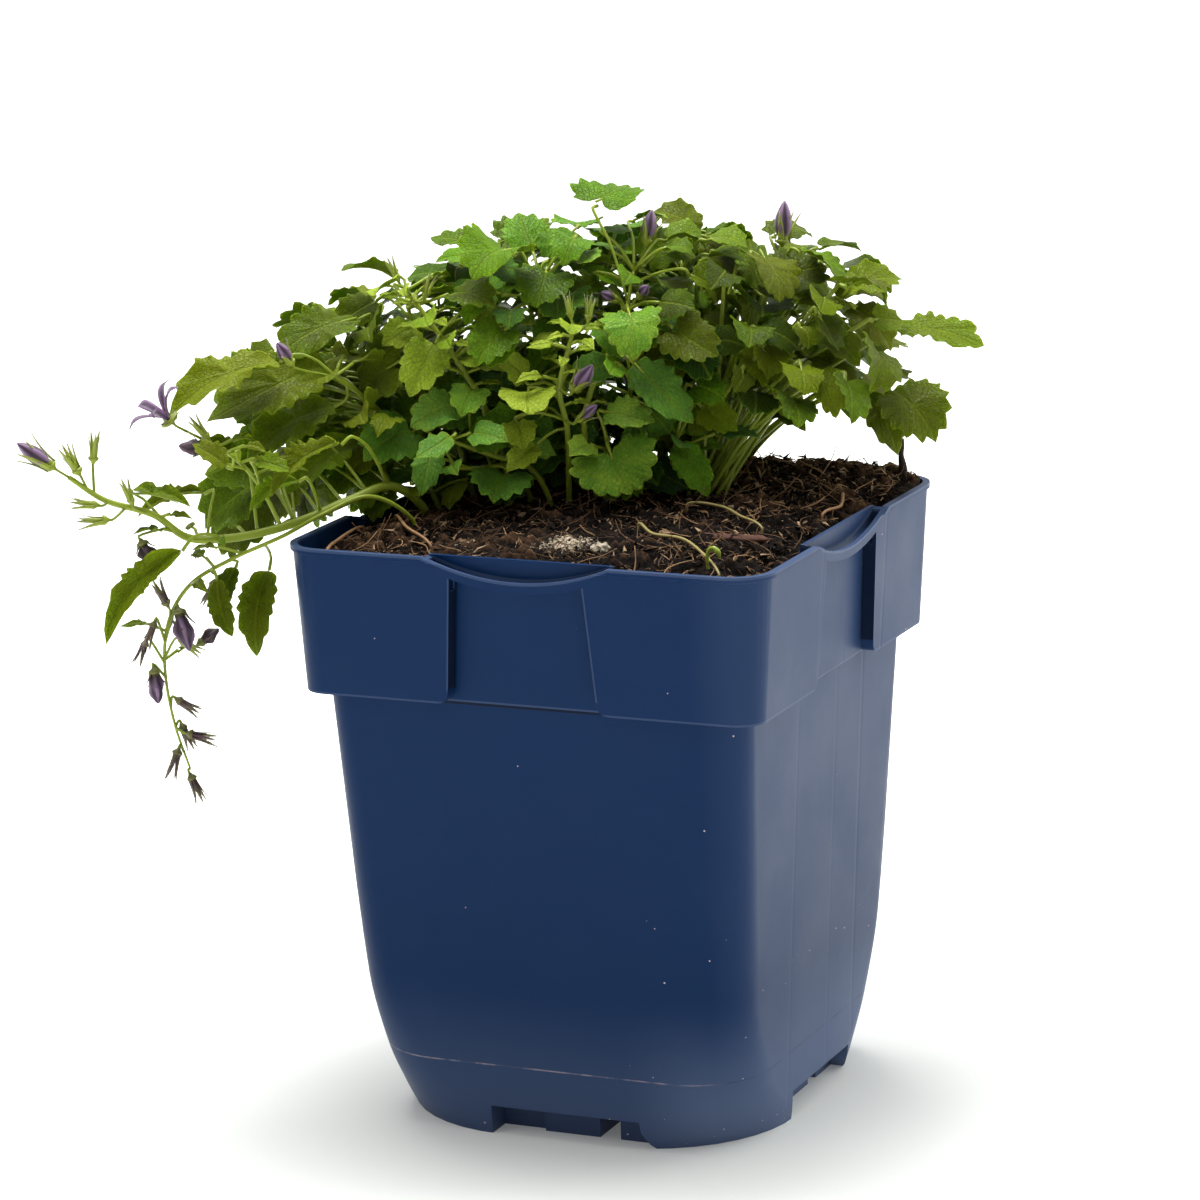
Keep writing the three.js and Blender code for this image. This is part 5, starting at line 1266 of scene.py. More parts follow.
# Flowers and shoots that show from the front, and how far the inner leaves keep off their sight
SHOWN_NODES = (
    "central_bud", "pink_bud", "spire_bud_left", "spire_bud_right", "top_bud", "right_violet_bud",
    "central_shoot_calyx", "left_shoot_calyx", "central_shoot", "inner_violet",
)
SIGHT_GAP = 3.5
# How much of a new leaf may lie in cells that are taken, and how far away its stem may be
MOST_TAKEN = 0.012
LONGEST_STALK = 42
# Trials for each leaf that is wanted. In the second half of them the leaves are smaller.
TRIALS = 90
LATE_SIZE = 0.7


def crown_stalk(base, draws):
    """A long leafstalk from the crown in the peat, fanning out to the right"""
    foot = np.array([CROWN[0] + draws.between(-4, 9), CROWN[1] + draws.between(-6, 16), 0])
    # The peat's height a little further round, which is near enough
    foot[2] = ground_at(*turned(foot[0], foot[1])) - 1
    middle = foot + 0.5 * (base - foot)
    middle[2] += 0.1 * np.linalg.norm(base - foot)
    return [foot, middle]


def nearest_stem(base, stems):
    """The nearest place on a stem, a little below the leaf if there is one"""
    offset = base - stems
    gaps = np.linalg.norm(offset, axis=1) + np.where(offset[:, 2] < 1, 60, 0)
    nearest = int(np.argmin(gaps))
    if gaps[nearest] > LONGEST_STALK:
        return None
    middle = (stems[nearest] + base) / 2
    middle[2] += 0.1 * gaps[nearest]
    return [stems[nearest], middle]


def inner_leaf(draws, small):
    """A leaf somewhere within the clump's outline, turned outwards from its middle"""
    s = draws.between(-125, 92)
    b = draws.between(3, 70)
    rise = draws.between(0, 1)
    size = small * draws.between(12, 24)
    swing = draws.between(-1.5, 1.5)
    droop = draws.between(0.0, 1.3)
    phase = draws.between(0, 6)
    broad = draws.between(0.8, 1.08)
    tilt = draws.between(-0.4, 0.4)
    cup, arch = draws.between(0.02, 0.5), draws.between(0.04, 0.24)
    heart = draws.between(0.3, 1)
    thin = draws.between(0, 1)
    low = np.interp(s, UNDERSIDE_SPREAD, UNDERSIDE)
    front = max(0.0, 1 - (b - 4) / 26)
    behind = max(0.0, b - 36)
    side = max(0.0, abs(s + 5) - 70) / 30
    top = np.interp(s, DOME_SPREAD, DOME_TOP) - 30 * front**1.5 - 0.012 * behind**2
    if behind > 34 * (1 - side) or thin < (s - 38) / 40:
        return None
    base = np.array([s, b, low + (top - low) * rise])
    out = math.atan2(b - 36, s + 5) + swing
    heading = np.array([math.cos(out), math.sin(out), -droop])
    facing = np.array([(s + 5) / 70 + tilt, (b - 34) / 24 - 0.2, (base[2] - 195) / 60 + 0.3])
    teeth = 4 if size > 16 else 3
    leaf = Leaf(base, base + unit(heading) * size, size * broad, facing, heart, teeth, phase)
    leaf.cup, leaf.arch = cup, arch
    return leaf


def hides(blade, shown):
    """Whether a blade stands in front of the pieces that show"""
    offset = blade[::7, None] - shown[None]
    before = offset[..., 1] < 0
    level = np.abs(offset[..., 2] + SIGHT_FALL * offset[..., 1]) < SIGHT_GAP
    return bool((before & level & (np.abs(offset[..., 0]) < SIGHT_GAP)).any())


def inner_leaves(bed, draws, sprays, count):
    """Round leaves between the others, each on a stalk from a stem or from the crown"""
    room = Room()
    for piece in bed.pieces:
        room.mark(piece)
    shares = np.linspace(0.05, 1, 16)
    stems = np.concatenate([spray.on_stem(shares) for spray in sprays if not spray.is_branch])
    shown = [place for piece in bed.pieces if piece.node in SHOWN_NODES for place in piece.stalk]
    shown = np.array(shown)
    grown = []
    for trial in range(TRIALS * count):
        if len(grown) == count:
            break
        leaf = inner_leaf(draws, 1 if 2 * trial < TRIALS * count else LATE_SIZE)
        if leaf is None:
            continue
        blade = leaf.cover(COVER_RAYS, COVER_STEPS)
        if room.share_taken(blade) > MOST_TAKEN or hides(blade, shown):
            continue
        if is_blocked(blade) or not within_box(blade):
            continue
        base = leaf.base
        from_crown = base[0] > 26 and base[2] < 246
        start = crown_stalk(base, draws) if from_crown else nearest_stem(base, stems)
        if start is None:
            continue
        leaf.stalk_width = 1.35 if from_crown else 1.0
        entry = base - leaf.along * 0.12 * leaf.length
        stalk = [*start, entry, base + leaf.along * 0.06 * leaf.length]
        room.mark(Placed("inner_leaves", stalk, 0.3, leaf))
        part = "left" if base[0] < -40 else "right" if base[0] > 12 else "middle"
        grown.append(("inner_leaves_" + part, leaf, stalk))
    return grown


# Fine shapes of what grows

LEAF_RINGS = [0.22, 0.46, 0.7, 0.87, 0.955]
# How withered the calyx of each kind of flower is
DRYNESS = {"bud": 0.0, "star": 0.2, "calyx": 0.0, "limp": 0.75, "dry": 0.95}
# Materials of a spray, after its blades
STEM_SLOT = 1
SEPAL_SLOT = 2
SEPAL_ROWS = 8
BUD_ROWS = 13
BUD_SIDES = 20
PETAL_ROWS = 12
PETAL_COLUMNS = 5
# Where a flower starts in its calyx
FLOWER_FOOT = CUP + 0.2


def add_tube(shape, points, radii, sides, count, tint=(0, 0, 0), slot=0):
    """Round sections along a smooth path, carried without twisting"""
    shares = np.linspace(0, 1, count)
    centres = SmoothPath(points).at(shares)
    tangents = np.gradient(centres, axis=0)
    tangents /= np.linalg.norm(tangents, axis=1, keepdims=True)
    side = np.cross(tangents[0], [0.31, 0.17, 0.93])
    rings = []
    turns = 2 * np.pi * np.arange(sides) / sides
    widths = np.interp(shares, np.linspace(0, 1, len(radii)), radii)
    for centre, tangent, radius in zip(centres, tangents, widths):
        side = unit(side - tangent * side.dot(tangent))
        up = np.cross(tangent, side)
        rings.append(centre + radius * (np.outer(np.cos(turns), side) + np.outer(np.sin(turns), up)))
    shape.add(*loft(rings), slot, tint)


def tooth_places(side):
    """Where the margin has its points and its notches, in half teeth from the tip"""
    peaks = np.concatenate([[0.0], 2 * np.arange(1, (side - 1) // 2 + 1) - 0.25, [float(side)]])
    notches = 2 * np.arange((side - 1) // 2 + 1) + 1.0
    return peaks, notches[notches < side]


def tooth_profile(x, side, roundness):
    """How deep the margin is cut at x, in half teeth from the tip: 0 at a point, 1 in a notch"""
    peaks, notches = tooth_places(side)
    places = np.concatenate([peaks, notches])
    depths = np.concatenate([np.zeros(len(peaks)), np.ones(len(notches))])
    order = np.argsort(places)
    return np.interp(np.abs(x), places[order], depths[order]) ** roundness


def leaf_angles(side, steps):
    """Angles round the blade that hit every tooth point and every notch"""
    places = np.sort(np.concatenate(tooth_places(side)))
    spans = zip(places[:-1], places[1:])
    half = np.concatenate([np.linspace(a, b, steps, endpoint=False) for a, b in spans])
    return np.concatenate([half, side, -half[:0:-1]], axis=None)


def blade_faces(size, low):
    """Faces of a blade of two skins: rings of points round a middle one, and from low on the
    lower skin, which shares the upper one's rim"""
    faces = []
    for i in range(size):
        following = (i + 1) % size
        faces.append((0, 1 + i, 1 + following))
        faces.append((low, low + 1 + following, low + 1 + i))
        for ring in range(len(LEAF_RINGS)):
            a, b = 1 + ring * size + i, 1 + ring * size + following
            faces.append((a, a + size, b + size, b))
            if ring + 1 < len(LEAF_RINGS):
                faces.append((low + a, low + b, low + b + size, low + a + size))
            else:
                faces.append((low + a, low + b, b + size, a + size))
    return faces


def add_leaf(shape, leaf, stalk, tone, jitter, depth, steps):
    """A blade with its teeth, folds and puckers, its rib below, and its stalk"""
    side = 2 * (leaf.teeth + (2 if leaf.length > 14 else 1)) + 1
    x = leaf_angles(side, steps)
    angle = np.pi * x / side
    cut = tooth_profile(x, side, 1.0 + 0.5 * leaf.heart)
    fade = np.clip((side - np.abs(x)) / 1.5, 0, 1)
    cut = depth * cut * (0.35 + 0.65 * fade)
    small = 0.25 * depth * np.abs(np.sin(1.5 * np.pi * x)) * fade
    shares = np.array(LEAF_RINGS + [1.0])
    cuts = np.outer(shares**5, cut + 0.35 * small)
    radius = leaf.radius(angle) * shares[:, None] * (1 - cuts)
    u = np.concatenate([[leaf.middle], (leaf.middle + radius * np.cos(angle)).ravel()])
    v = np.concatenate([[0.0], (radius * np.sin(angle)).ravel()])
    out = np.concatenate([[0.0], np.repeat(shares, len(x))])
    t = u / leaf.length
    across = np.abs(v) / (0.5 * leaf.width)
    veins = (t - 1.05 * across + 0.4 * across**2) * 7
    fold = 0.05 * leaf.width
    soft = np.sqrt(v**2 + fold**2) - fold - np.abs(v)
    pucker = 0.011 * leaf.length * np.cos(2 * np.pi * veins) * np.clip(1 - t, 0, 1) ** 0.3
    pucker *= np.clip(across * 4, 0, 1) * (1 - out**3)
    around = np.arctan2(v, u - leaf.middle)
    flutter = 0.022 * leaf.length * out**4 * np.sin(side * around + leaf.phase)
    flutter += 0.035 * leaf.length * out**2 * np.sin(2 * around + 1.7 * leaf.phase)
    height = leaf.height(u, v) + leaf.cup * soft - pucker + flutter
    half = 0.24 * (1 - out**3) + 0.02
    bend = leaf.bow * leaf.length * 4 * t * (1 - t)
    inner = 1 + len(LEAF_RINGS) * len(x)
    upper = leaf.at(u, v + bend, height + half)
    lower = leaf.at(u, v + bend, height - half)[:inner]
    uv = np.stack([veins, np.abs(v)], axis=1)
    lightness, yellow = tone
    tints = np.zeros((len(upper) + inner, 3))
    tints[:, 0] = lightness + jitter[0]
    tints[:, 1] = np.clip(yellow + jitter[1], -1, 1)
    tints[len(upper) :, 2] = 1
    # The rim is lighter: partly a paler margin, partly a painted highlight
    edge = np.concatenate([out, out[:inner]])
    tints[:, 0] += np.interp(edge, [0, 0.8, 0.955, 1], [0, 0.0, 0.1, 0.9])
    skins = np.concatenate([upper, lower])
    shape.add(skins, blade_faces(len(x), len(upper)), 0, tints, np.concatenate([uv, uv[:inner]]))
    rib = np.linspace(0.02, 0.8, 4)
    rib_bend = leaf.bow * leaf.length * 4 * rib * (1 - rib)
    below = leaf.height(rib * leaf.length, np.zeros(4)) - 0.22
    rib_points = leaf.at(rib * leaf.length, rib_bend, below)
    # Rib and stalk are darker where the blade is darker, so they carry its painted light and shade too
    dark = (0, 0, max(-0.3, 0.12 - 0.5 * lightness))
    add_tube(shape, rib_points, [0.42, 0.3, 0.12], 5, 7, dark, STEM_SLOT)
    length = sum(np.linalg.norm(np.subtract(b, a)) for a, b in zip(stalk[:-1], stalk[1:]))
    widths = [leaf.stalk_width * radius for radius in (0.5, 0.45, 0.55)]
    add_tube(shape, stalk, widths, 6, max(4, int(length / 3) + 2), dark, STEM_SLOT)


def across_axis(axis):
    side = unit(np.cross(axis, [0.3, 0.2, 0.9]))
    return side, np.cross(axis, side)


def ring_round(centre, side, up, radii):
    """A ring with a radius of its own in each direction"""
    turns = even_turns(len(radii))
    return centre + np.outer(radii * np.cos(turns), side) + np.outer(radii * np.sin(turns), up)


def even_turns(count):
    return 2 * np.pi * np.arange(count) / count


def five_ways(side, up, twist=0.0):
    """The directions of five petals or sepals"""
    angles = [2 * np.pi * k / 5 + twist for k in range(5)]
    return [math.cos(angle) * side + math.sin(angle) * up for angle in angles]


def add_sepal(shape, base, out, axis, reach, rise, width, dry):
    """A pointed sepal that leaves the cup, broad at first, and bends out to its darker tip"""
    across = np.cross(axis, out)
    inward = unit(out * rise - axis * reach)
    points, tints = [], []
    for i in range(SEPAL_ROWS):
        t = i / (SEPAL_ROWS - 1)
        wide = width * (1 - t) ** 0.9 * (0.8 + 0.6 * t)
        radius = reach * (0.3 + 0.1 * t + 0.6 * t**2)
        height = CUP * 0.6 + (rise - CUP * 0.6) * t
        centre = base + out * radius + axis * height
        for offset, thick in ((-1, 0.0), (0, 0.16), (1, 0.0), (0, -0.2)):
            points.append(centre + across * offset * wide - inward * thick * (1 - t))
            tints.append((0.5, min(1, dry + 0.95 * t**1.8), 0.2))
    faces = []
    for i in range(SEPAL_ROWS - 1):
        for k in range(4):
            a, b = 4 * i + k, 4 * i + (k + 1) % 4
            faces.append((a, a + 4, b + 4, b))
    last = 4 * (SEPAL_ROWS - 1)
    faces += [(0, 1, 2, 3), (last + 3, last + 2, last + 1, last)]
    shape.add(points, faces, SEPAL_SLOT, np.array(tints))


def add_calyx(shape, flower):
    """A small lobed cup with five sepals, their reach and rise by the kind of flower"""
    axis, base, width = flower["axis"], flower["base"], flower["width"]
    side, up = across_axis(axis)
    lobes = 1 + 0.08 * np.cos(5 * even_turns(12))
    cup = ((-0.6, 0.45), (0, 0.75), (0.5, 0.32 * width), (1.2, 0.4 * width), (1.6, 0.3 * width))
    rings = [ring_round(base + axis * height, side, up, radius * lobes) for height, radius in cup]
    dry = DRYNESS[flower["kind"]]
    shape.add(*loft(rings), SEPAL_SLOT, (0.5, 0.7 * dry, 0.3))
    reach, rise = {
        "star": (4.5, 2.0),
        "bud": (0.8 * width + 1.0, (1.0 if flower["name"] == "tip_bud" else 0.82) * flower["length"]),
        "limp": (0.8 * width, 0.55 * flower["length"]),
    }.get(flower["kind"], (0.5 * width + 0.9, 1.6 * width + 3))
    for k, out in enumerate(five_ways(side, up)):
        far = 1 + 0.35 * math.sin(2.1 * k + width)
        add_sepal(shape, base, out, axis, reach * far, rise, 0.2 * width + 0.25, dry)


def add_bud(shape, flower):
    """A pleated bud, twisted to its tip; a limp flower is crumpled as well"""
    axis, length, width = flower["axis"], flower["length"], flower["width"]
    limp = flower["kind"] == "limp"
    side, up = across_axis(axis)
    turns = even_turns(BUD_SIDES)
    rings = []
    folds = []
    deep = 0.65 if flower["node"] == "hanging_spray" else 0.4
    for i in range(BUD_ROWS):
        t = i / (BUD_ROWS - 1)
        height = FLOWER_FOOT + (length - FLOWER_FOOT) * t
        wide = 0.05 + (0.47 - 0.12 * t) * math.sin(math.pi * t**0.9) ** 0.8
        ridge = np.cos(5 * turns + 1.2 * t)
        lobes = width * wide * (1 + (0.16 if limp else 0.1) * ridge)
        if limp:
            lobes *= 1 + 0.18 * np.sin(3 * turns + 9 * t + length)
        rings.append(ring_round(flower["base"] + axis * height, side, up, lobes))
        folds.append(deep - 0.6 * ridge + (0.25 if t < 0.15 else 0))
    points, faces = loft(rings)
    tints = np.zeros((len(points), 3))
    tints[: BUD_ROWS * BUD_SIDES, 0] = np.concatenate(folds)
    shape.add(points, faces, 0, tints)


def petal_faces():
    """Faces of a petal: its upper skin, its lower skin and the edge that joins them"""
    size = PETAL_ROWS * PETAL_COLUMNS
    faces = []
    for i in range(PETAL_ROWS - 1):
        for j in range(PETAL_COLUMNS - 1):
            a = i * PETAL_COLUMNS + j
            b = a + PETAL_COLUMNS
            faces.append((a, b, b + 1, a + 1))
            faces.append((size + a, size + a + 1, size + b + 1, size + b))
    index = np.arange(size).reshape(PETAL_ROWS, PETAL_COLUMNS)
    border = [*index[:, 0], *index[-1, 1:], *index[-2::-1, -1], *index[0, -2:0:-1]]
    for a, b in zip(border, border[1:] + border[:1]):
        faces.append((a, a + size, b + size, b))
    return faces


def add_star(shape, flower):
    """An open bell of five narrow petals that bend back, with a style in the middle"""
    axis, length, width = flower["axis"], flower["length"], flower["width"]
    side, up = across_axis(axis)
    base = flower["base"] + axis * FLOWER_FOOT
    for out in five_ways(side, up, 0.2):
        wide_axis = np.cross(axis, out)
        upper, lower, tints = [], [], []
        for i in range(PETAL_ROWS):
            t = i / (PETAL_ROWS - 1)
            reach = 1.22 * width * t**1.15 + 0.4
            rise = 0.72 * length * math.sin(0.62 * math.pi * t)
            half = 0.17 * width * (0.55 + 1.6 * t) * (1 - t**2.5) + 0.08
            for j in range(PETAL_COLUMNS):
                a = 2 * j / (PETAL_COLUMNS - 1) - 1
                curl = 0.55 * abs(a) ** 1.5 * half + 0.12 * math.cos(3 * a)
                centre = base + out * reach + axis * (rise + curl) + wide_axis * half * a
                upper.append(centre + axis * 0.12 * (1 - a * a))
                lower.append(centre - axis * 0.14 * (1 - a * a) - axis * 0.05)
                tints.append((0.32 + 0.5 * (abs(a) < 0.1) + 0.3 * (1 - t), 0, 0))
        shape.add(upper + lower, petal_faces(), 0, np.array(tints + tints, float))
    style = [base, base + axis * 3, base + axis * 5.5]
    add_tube(shape, style, [0.5, 0.3, 0.35], 6, 5, (0.2, 0, 0))


GROWN = {}


def grown_plant(context):
    """The grown plant, made once and shared by the operators that dress it"""
    if not GROWN:
        GROWN["all"] = grow(context.scene.bellflower_plant)
    return GROWN["all"]


# The pot


def square_ring(z, half, radius, inset):
    """A square section with rounded corners"""
    corner = max(radius - inset, 1)
    centre = half - inset - corner
    ring = []
    for quarter, (sx, sy) in enumerate(((1, 1), (-1, 1), (-1, -1), (1, -1))):
        angles = (quarter + np.arange(CORNER_STEPS + 1) / CORNER_STEPS) * math.pi / 2
        x = sx * centre + corner * np.cos(angles)
        y = sy * centre + corner * np.sin(angles)
        ring.append(np.stack([x, y, np.full(len(angles), z)], axis=1))
    return np.concatenate(ring)


def loft_object(name, levels, inset):
    points, faces = loft([square_ring(z, half, radius, inset) for z, half, radius in levels])
    return new_object(name, points * MM, faces)


def prism_object(outline, front, back, leaned):
    """A shape drawn on the front wall, extruded from one depth to another and leaned with it"""
    points = []
    for depth in (front, back):
        for x, z in outline:
            face = collar_half(z) if leaned else BODY_OUTLINE[0][1]
            points.append((x * MM, (depth - face) * MM, z * MM))
    size = len(outline)
    faces = [tuple(range(size)), tuple(range(2 * size - 1, size - 1, -1))]
    for i in range(size):
        following = (i + 1) % size
        faces.append((i, i + size, following + size, following))
    return new_object("cutter", points, faces)


def rectangle(left, bottom, right, top):
    return [(left, bottom), (right, bottom), (right, top), (left, top)]


def lip_top(u):
    """Height of the rim's edge across a side: it sags in the middle"""
    return POT_HEIGHT - LIP_SAG * (1 - (u / LIP_HALF_SPAN) ** 2)


def quarter_curve(start, control, end, steps=6):
    """A corner rounded towards its control point"""
    result = []
    for i in range(steps + 1):
        t = i / steps
        spans = zip(start, control, end)
        result.append(tuple((1 - t) ** 2 * a + 2 * t * (1 - t) * c + t**2 * b for a, c, b in spans))
    return result


def panel_outline():
    r = PANEL_CORNER_RADIUS
    bottom = COLLAR_EDGE - 2
    shoulder = COLLAR_EDGE + r
    half = PANEL_HALF_BOTTOM
    outline = [(-half - r, bottom), (half + r, bottom)]
    outline += quarter_curve((half + r, shoulder - r), (half, shoulder - r), (half, shoulder))
    across = np.linspace(PANEL_HALF_TOP, -PANEL_HALF_TOP, 17)
    outline += [(u, lip_top(u) - LIP_HEIGHT) for u in across]
    return outline + quarter_curve((-half, shoulder), (-half, shoulder - r), (-half - r, shoulder - r))


def lip_outline():
    """All that is above the rim's edge, which ends a hair over the lip"""
    outline = [(LIP_HALF_SPAN, POT_HEIGHT + 4), (-LIP_HALF_SPAN, POT_HEIGHT + 4)]
    return outline + [(u, lip_top(u) + 0.01) for u in np.linspace(-LIP_HALF_SPAN, LIP_HALF_SPAN, 25)]


def notch_outline():
    slant_top = NOTCH_RIGHT - NOTCH_SLANT
    outline = [(NOTCH_LEFT, BELOW_POT), (NOTCH_RIGHT, BELOW_POT)]
    outline += quarter_curve((NOTCH_RIGHT, 0), (slant_top, NOTCH_HEIGHT * 0.4), (slant_top, NOTCH_HEIGHT))
    return outline + [(NOTCH_LEFT, NOTCH_HEIGHT)]


def front_cuts():
    """What is cut out of a side: an outline, its depths, and whether it leans with the collar"""
    pocket = rectangle(-POCKET_HALF_WIDTH, POCKET_BOTTOM, POCKET_HALF_WIDTH, POT_HEIGHT + 5)
    step = rectangle(NOTCH_LEFT, BELOW_POT, STEP_RIGHT, NOTCH_HEIGHT)
    slot = rectangle(DRAIN_LEFT, BELOW_POT, DRAIN_RIGHT, NOTCH_HEIGHT)
    hole = rectangle(DRAIN_LEFT, 0, DRAIN_RIGHT, NOTCH_HEIGHT + WALL + 4)
    return [
        (panel_outline(), BEFORE_WALL, PANEL_DEPTH, True),
        (pocket, WALL, PANEL_DEPTH, True),
        (lip_outline(), BEFORE_WALL, PANEL_DEPTH, True),
        (notch_outline(), BEFORE_FOOT, NOTCH_DEPTH, False),
        (step, BEFORE_FOOT, NOTCH_DEPTH + STEP_DEPTH, False),
        (slot, BEFORE_FOOT, DRAIN_END, False),
        (hole, DRAIN_END - DRAIN_HOLE_LENGTH, DRAIN_END, False),
    ]


def keep_offs():
    """Blocks a wall's thickness larger than the cuts, which the hollow leaves standing"""
    top = NOTCH_HEIGHT + WALL
    side = PANEL_HALF_BOTTOM + PANEL_CORNER_RADIUS + WALL
    panel = rectangle(-side, COLLAR_EDGE - 3, side, POT_HEIGHT + 30)
    notch = rectangle(NOTCH_LEFT - WALL, BELOW_POT, NOTCH_RIGHT + WALL, top)
    slot = rectangle(DRAIN_LEFT - WALL, BELOW_POT, DRAIN_RIGHT + WALL, top)
    return [
        (panel, BEFORE_WALL, PANEL_DEPTH + WALL, True),
        (notch, BEFORE_FOOT, NOTCH_DEPTH + STEP_DEPTH + WALL, False),
        (slot, BEFORE_FOOT, DRAIN_END + WALL, False),
    ]


def boolean(piece, other, operation):
    apply_modifier(piece, "BOOLEAN", operation=operation, object=other, solver="MANIFOLD")
    bpy.data.objects.remove(other)


def edit_all(piece, *steps):
    """Runs steps of edit mode on all of a piece"""
    select_only(piece)
    bpy.ops.object.mode_set(mode="EDIT")
    bpy.ops.mesh.select_all(action="SELECT")
    for operator, settings in steps:
        operator(**settings)
    bpy.ops.object.mode_set(mode="OBJECT")


def cut_four_sides(piece, blocks):
    """Takes the same cuts out of all four sides"""
    for block in blocks:
        for quarter in range(4):
            cutter = prism_object(*block)
            cutter.data.transform(Matrix.Rotation(quarter * math.pi / 2, 4, "Z"))
            edit_all(cutter, (bpy.ops.mesh.normals_make_consistent, {"inside": False}))
            boolean(piece, cutter, "DIFFERENCE")


def make_pot(name, settings):
    # The wall's outline steps smoothly between its levels
    body = SmoothPath(BODY_OUTLINE).at(np.linspace(0, 1, 24))
    piece = loft_object(name, body, 0)
    bead_bottom = POT_HEIGHT - BEAD_HEIGHT
    bead = [
        [bead_bottom - 0.4, RIM_WIDTH / 2 - BEAD_PROUD - 0.1, 12],
        [bead_bottom, RIM_WIDTH / 2, 12.8],
        [POT_HEIGHT, RIM_WIDTH / 2, 12.8],
    ]
    boolean(piece, loft_object("collar", COLLAR_OUTLINE, 0), "UNION")
    boolean(piece, loft_object("bead", bead, 0), "UNION")
    # The room inside has a wall's thickness round it and goes on above the rim
    inner = body.copy()
    inner[0] = [FLOOR, 59.7, 41]
    collar_floor = COLLAR_EDGE + WALL
    inner[-1] = [collar_floor + 1, 66, 8]
    top_half = collar_half(POT_HEIGHT)
    upper = [
        [collar_floor, collar_half(collar_floor), 9],
        [POT_HEIGHT, top_half, 12],
        [POT_HEIGHT + 20, top_half, 12],
    ]
    room = loft_object("room", inner, WALL)
    boolean(room, loft_object("upper_room", upper, WALL), "UNION")
    cut_four_sides(room, keep_offs())
    boolean(piece, room, "DIFFERENCE")
    cut_four_sides(piece, front_cuts())
    merge = (bpy.ops.mesh.remove_doubles, {"threshold": 0.02 * MM})
    flatten = (bpy.ops.mesh.dissolve_limited, {"angle_limit": math.radians(0.6)})
    edit_all(piece, merge, flatten)
    edges = {"limit_method": "ANGLE", "angle_limit": math.radians(50)}
    apply_modifier(piece, "BEVEL", width=settings.edge_rounding, segments=2, **edges)
    select_only(piece)
    bpy.ops.object.shade_smooth_by_angle(angle=math.radians(30))
    apply_modifier(piece, "WEIGHTED_NORMAL", keep_sharp=True)
    return piece


class MakePot(Operator):
    """Moulds the square pot with its collar, panels, lips and drain notches"""

    bl_idname = "bellflower.pot"
    bl_label = "Pot"

    def execute(self, context):
        settings = context.scene.bellflower_pot
        piece = make_pot("moulded_pot", settings)
        piece.data.materials.clear()
        piece.data.materials.append(pot_material(settings))
        finish_piece(piece, "pot_plastic", "pot")
        return {"FINISHED"}


# The peat's surface, its crumbs and fibres

PEAT_REACH = 69
# Crumbs and fibres keep out of the label panels' backs
PANEL_BACK = 64
PANEL_BACK_HALF = 31
# Heights at which the sides of the peat follow the pot's wall, under its collar
SIDE_LEVELS = (90, 45, 21.5)
CHUNK_SHARE = 0.14
# An icosahedron's corners and faces, which each lump is a rough copy of
T = 1.618
LUMP_CORNERS = np.array(
    [
        [-1, T, 0], [1, T, 0], [-1, -T, 0], [1, -T, 0], [0, -1, T], [0, 1, T],
        [0, -1, -T], [0, 1, -T], [T, 0, -1], [T, 0, 1], [-T, 0, -1], [-T, 0, 1],
    ]
)
LUMP_FACES = [
    (0, 11, 5), (0, 5, 1), (0, 1, 7), (0, 7, 10), (0, 10, 11), (1, 5, 9), (5, 11, 4),
    (11, 10, 2), (10, 7, 6), (7, 1, 8), (3, 9, 4), (3, 4, 2), (3, 2, 6), (3, 6, 8),
    (3, 8, 9), (4, 9, 5), (2, 4, 11), (6, 2, 10), (8, 6, 7), (9, 8, 1),
]


def smooth_ground(x, y):
    """The heap without the edges of its coarse grid, and swollen at the back right"""
    steps = (-5, 0, 5)
    total = sum(soil_height(x + dx, y + dy) for dx in steps for dy in steps)
    return total / 9 + 3.0 * swelling(y, 16, 34) * swelling(x, -25, 40)


def swelling(place, start, length):
    """Rises softly from nothing to one"""
    t = np.clip((np.asarray(place, float) - start) / length, 0, 1)
    return t * t * (3 - 2 * t)


def crust_share(x, y):
    """How much dried crust lies at a place: a patch at the front, a little left of the middle"""
    first = np.exp(-(((x - 3) / 17) ** 2) - ((y + 42) / 19) ** 2)
    second = 0.75 * np.exp(-(((x + 26) / 13) ** 2) - ((y + 50) / 8) ** 2)
    return np.maximum(first, second)


def painted_peat_light(x, y):
    """Painted light and shade on the peat: lighter at the left and towards the back, darker at the right
    front
    """
    x, y = np.asarray(x, float), np.asarray(y, float)
    left = np.clip((-x - 10) / 30, 0, 1)
    back = np.clip((y + 5) / 40, 0, 1)
    # Painted shade at the right front
    front_right_shade = np.clip((x + 5) / 15, 0, 1) * np.clip((-y - 5) / 20, 0, 1)
    return 0.18 * left + 0.24 * back - 0.06 * front_right_shade - 0.06


def peat_grid(count):
    """Grid points of the heap's top, pulled to the outline of the room in the pot"""
    half = collar_half(SOIL_EDGE_HEIGHT) - SOIL_INSET
    side = np.linspace(-1, 1, count + 1)
    across, back = np.meshgrid(side, side)
    recess_half = PANEL_HALF_BOTTOM + PANEL_CORNER_RADIUS + SOIL_INSET

    def limit(other):
        return half - PANEL_DEPTH * np.clip((recess_half + 1.5 - np.abs(other)) / 1.5, 0, 1)

    x = across * limit(back * half)
    y = back * limit(across * half)
    radius = COLLAR_OUTLINE[1][2] - WALL
    over_x = np.clip(np.abs(x) - (half - radius), 0, radius) / radius
    over_y = np.clip(np.abs(y) - (half - radius), 0, radius) / radius
    x = x - np.sign(x) * radius * over_x * (1 - np.sqrt(1 - over_y**2 / 2))
    y = y - np.sign(y) * radius * over_y * (1 - np.sqrt(1 - over_x**2 / 2))
    return x, y


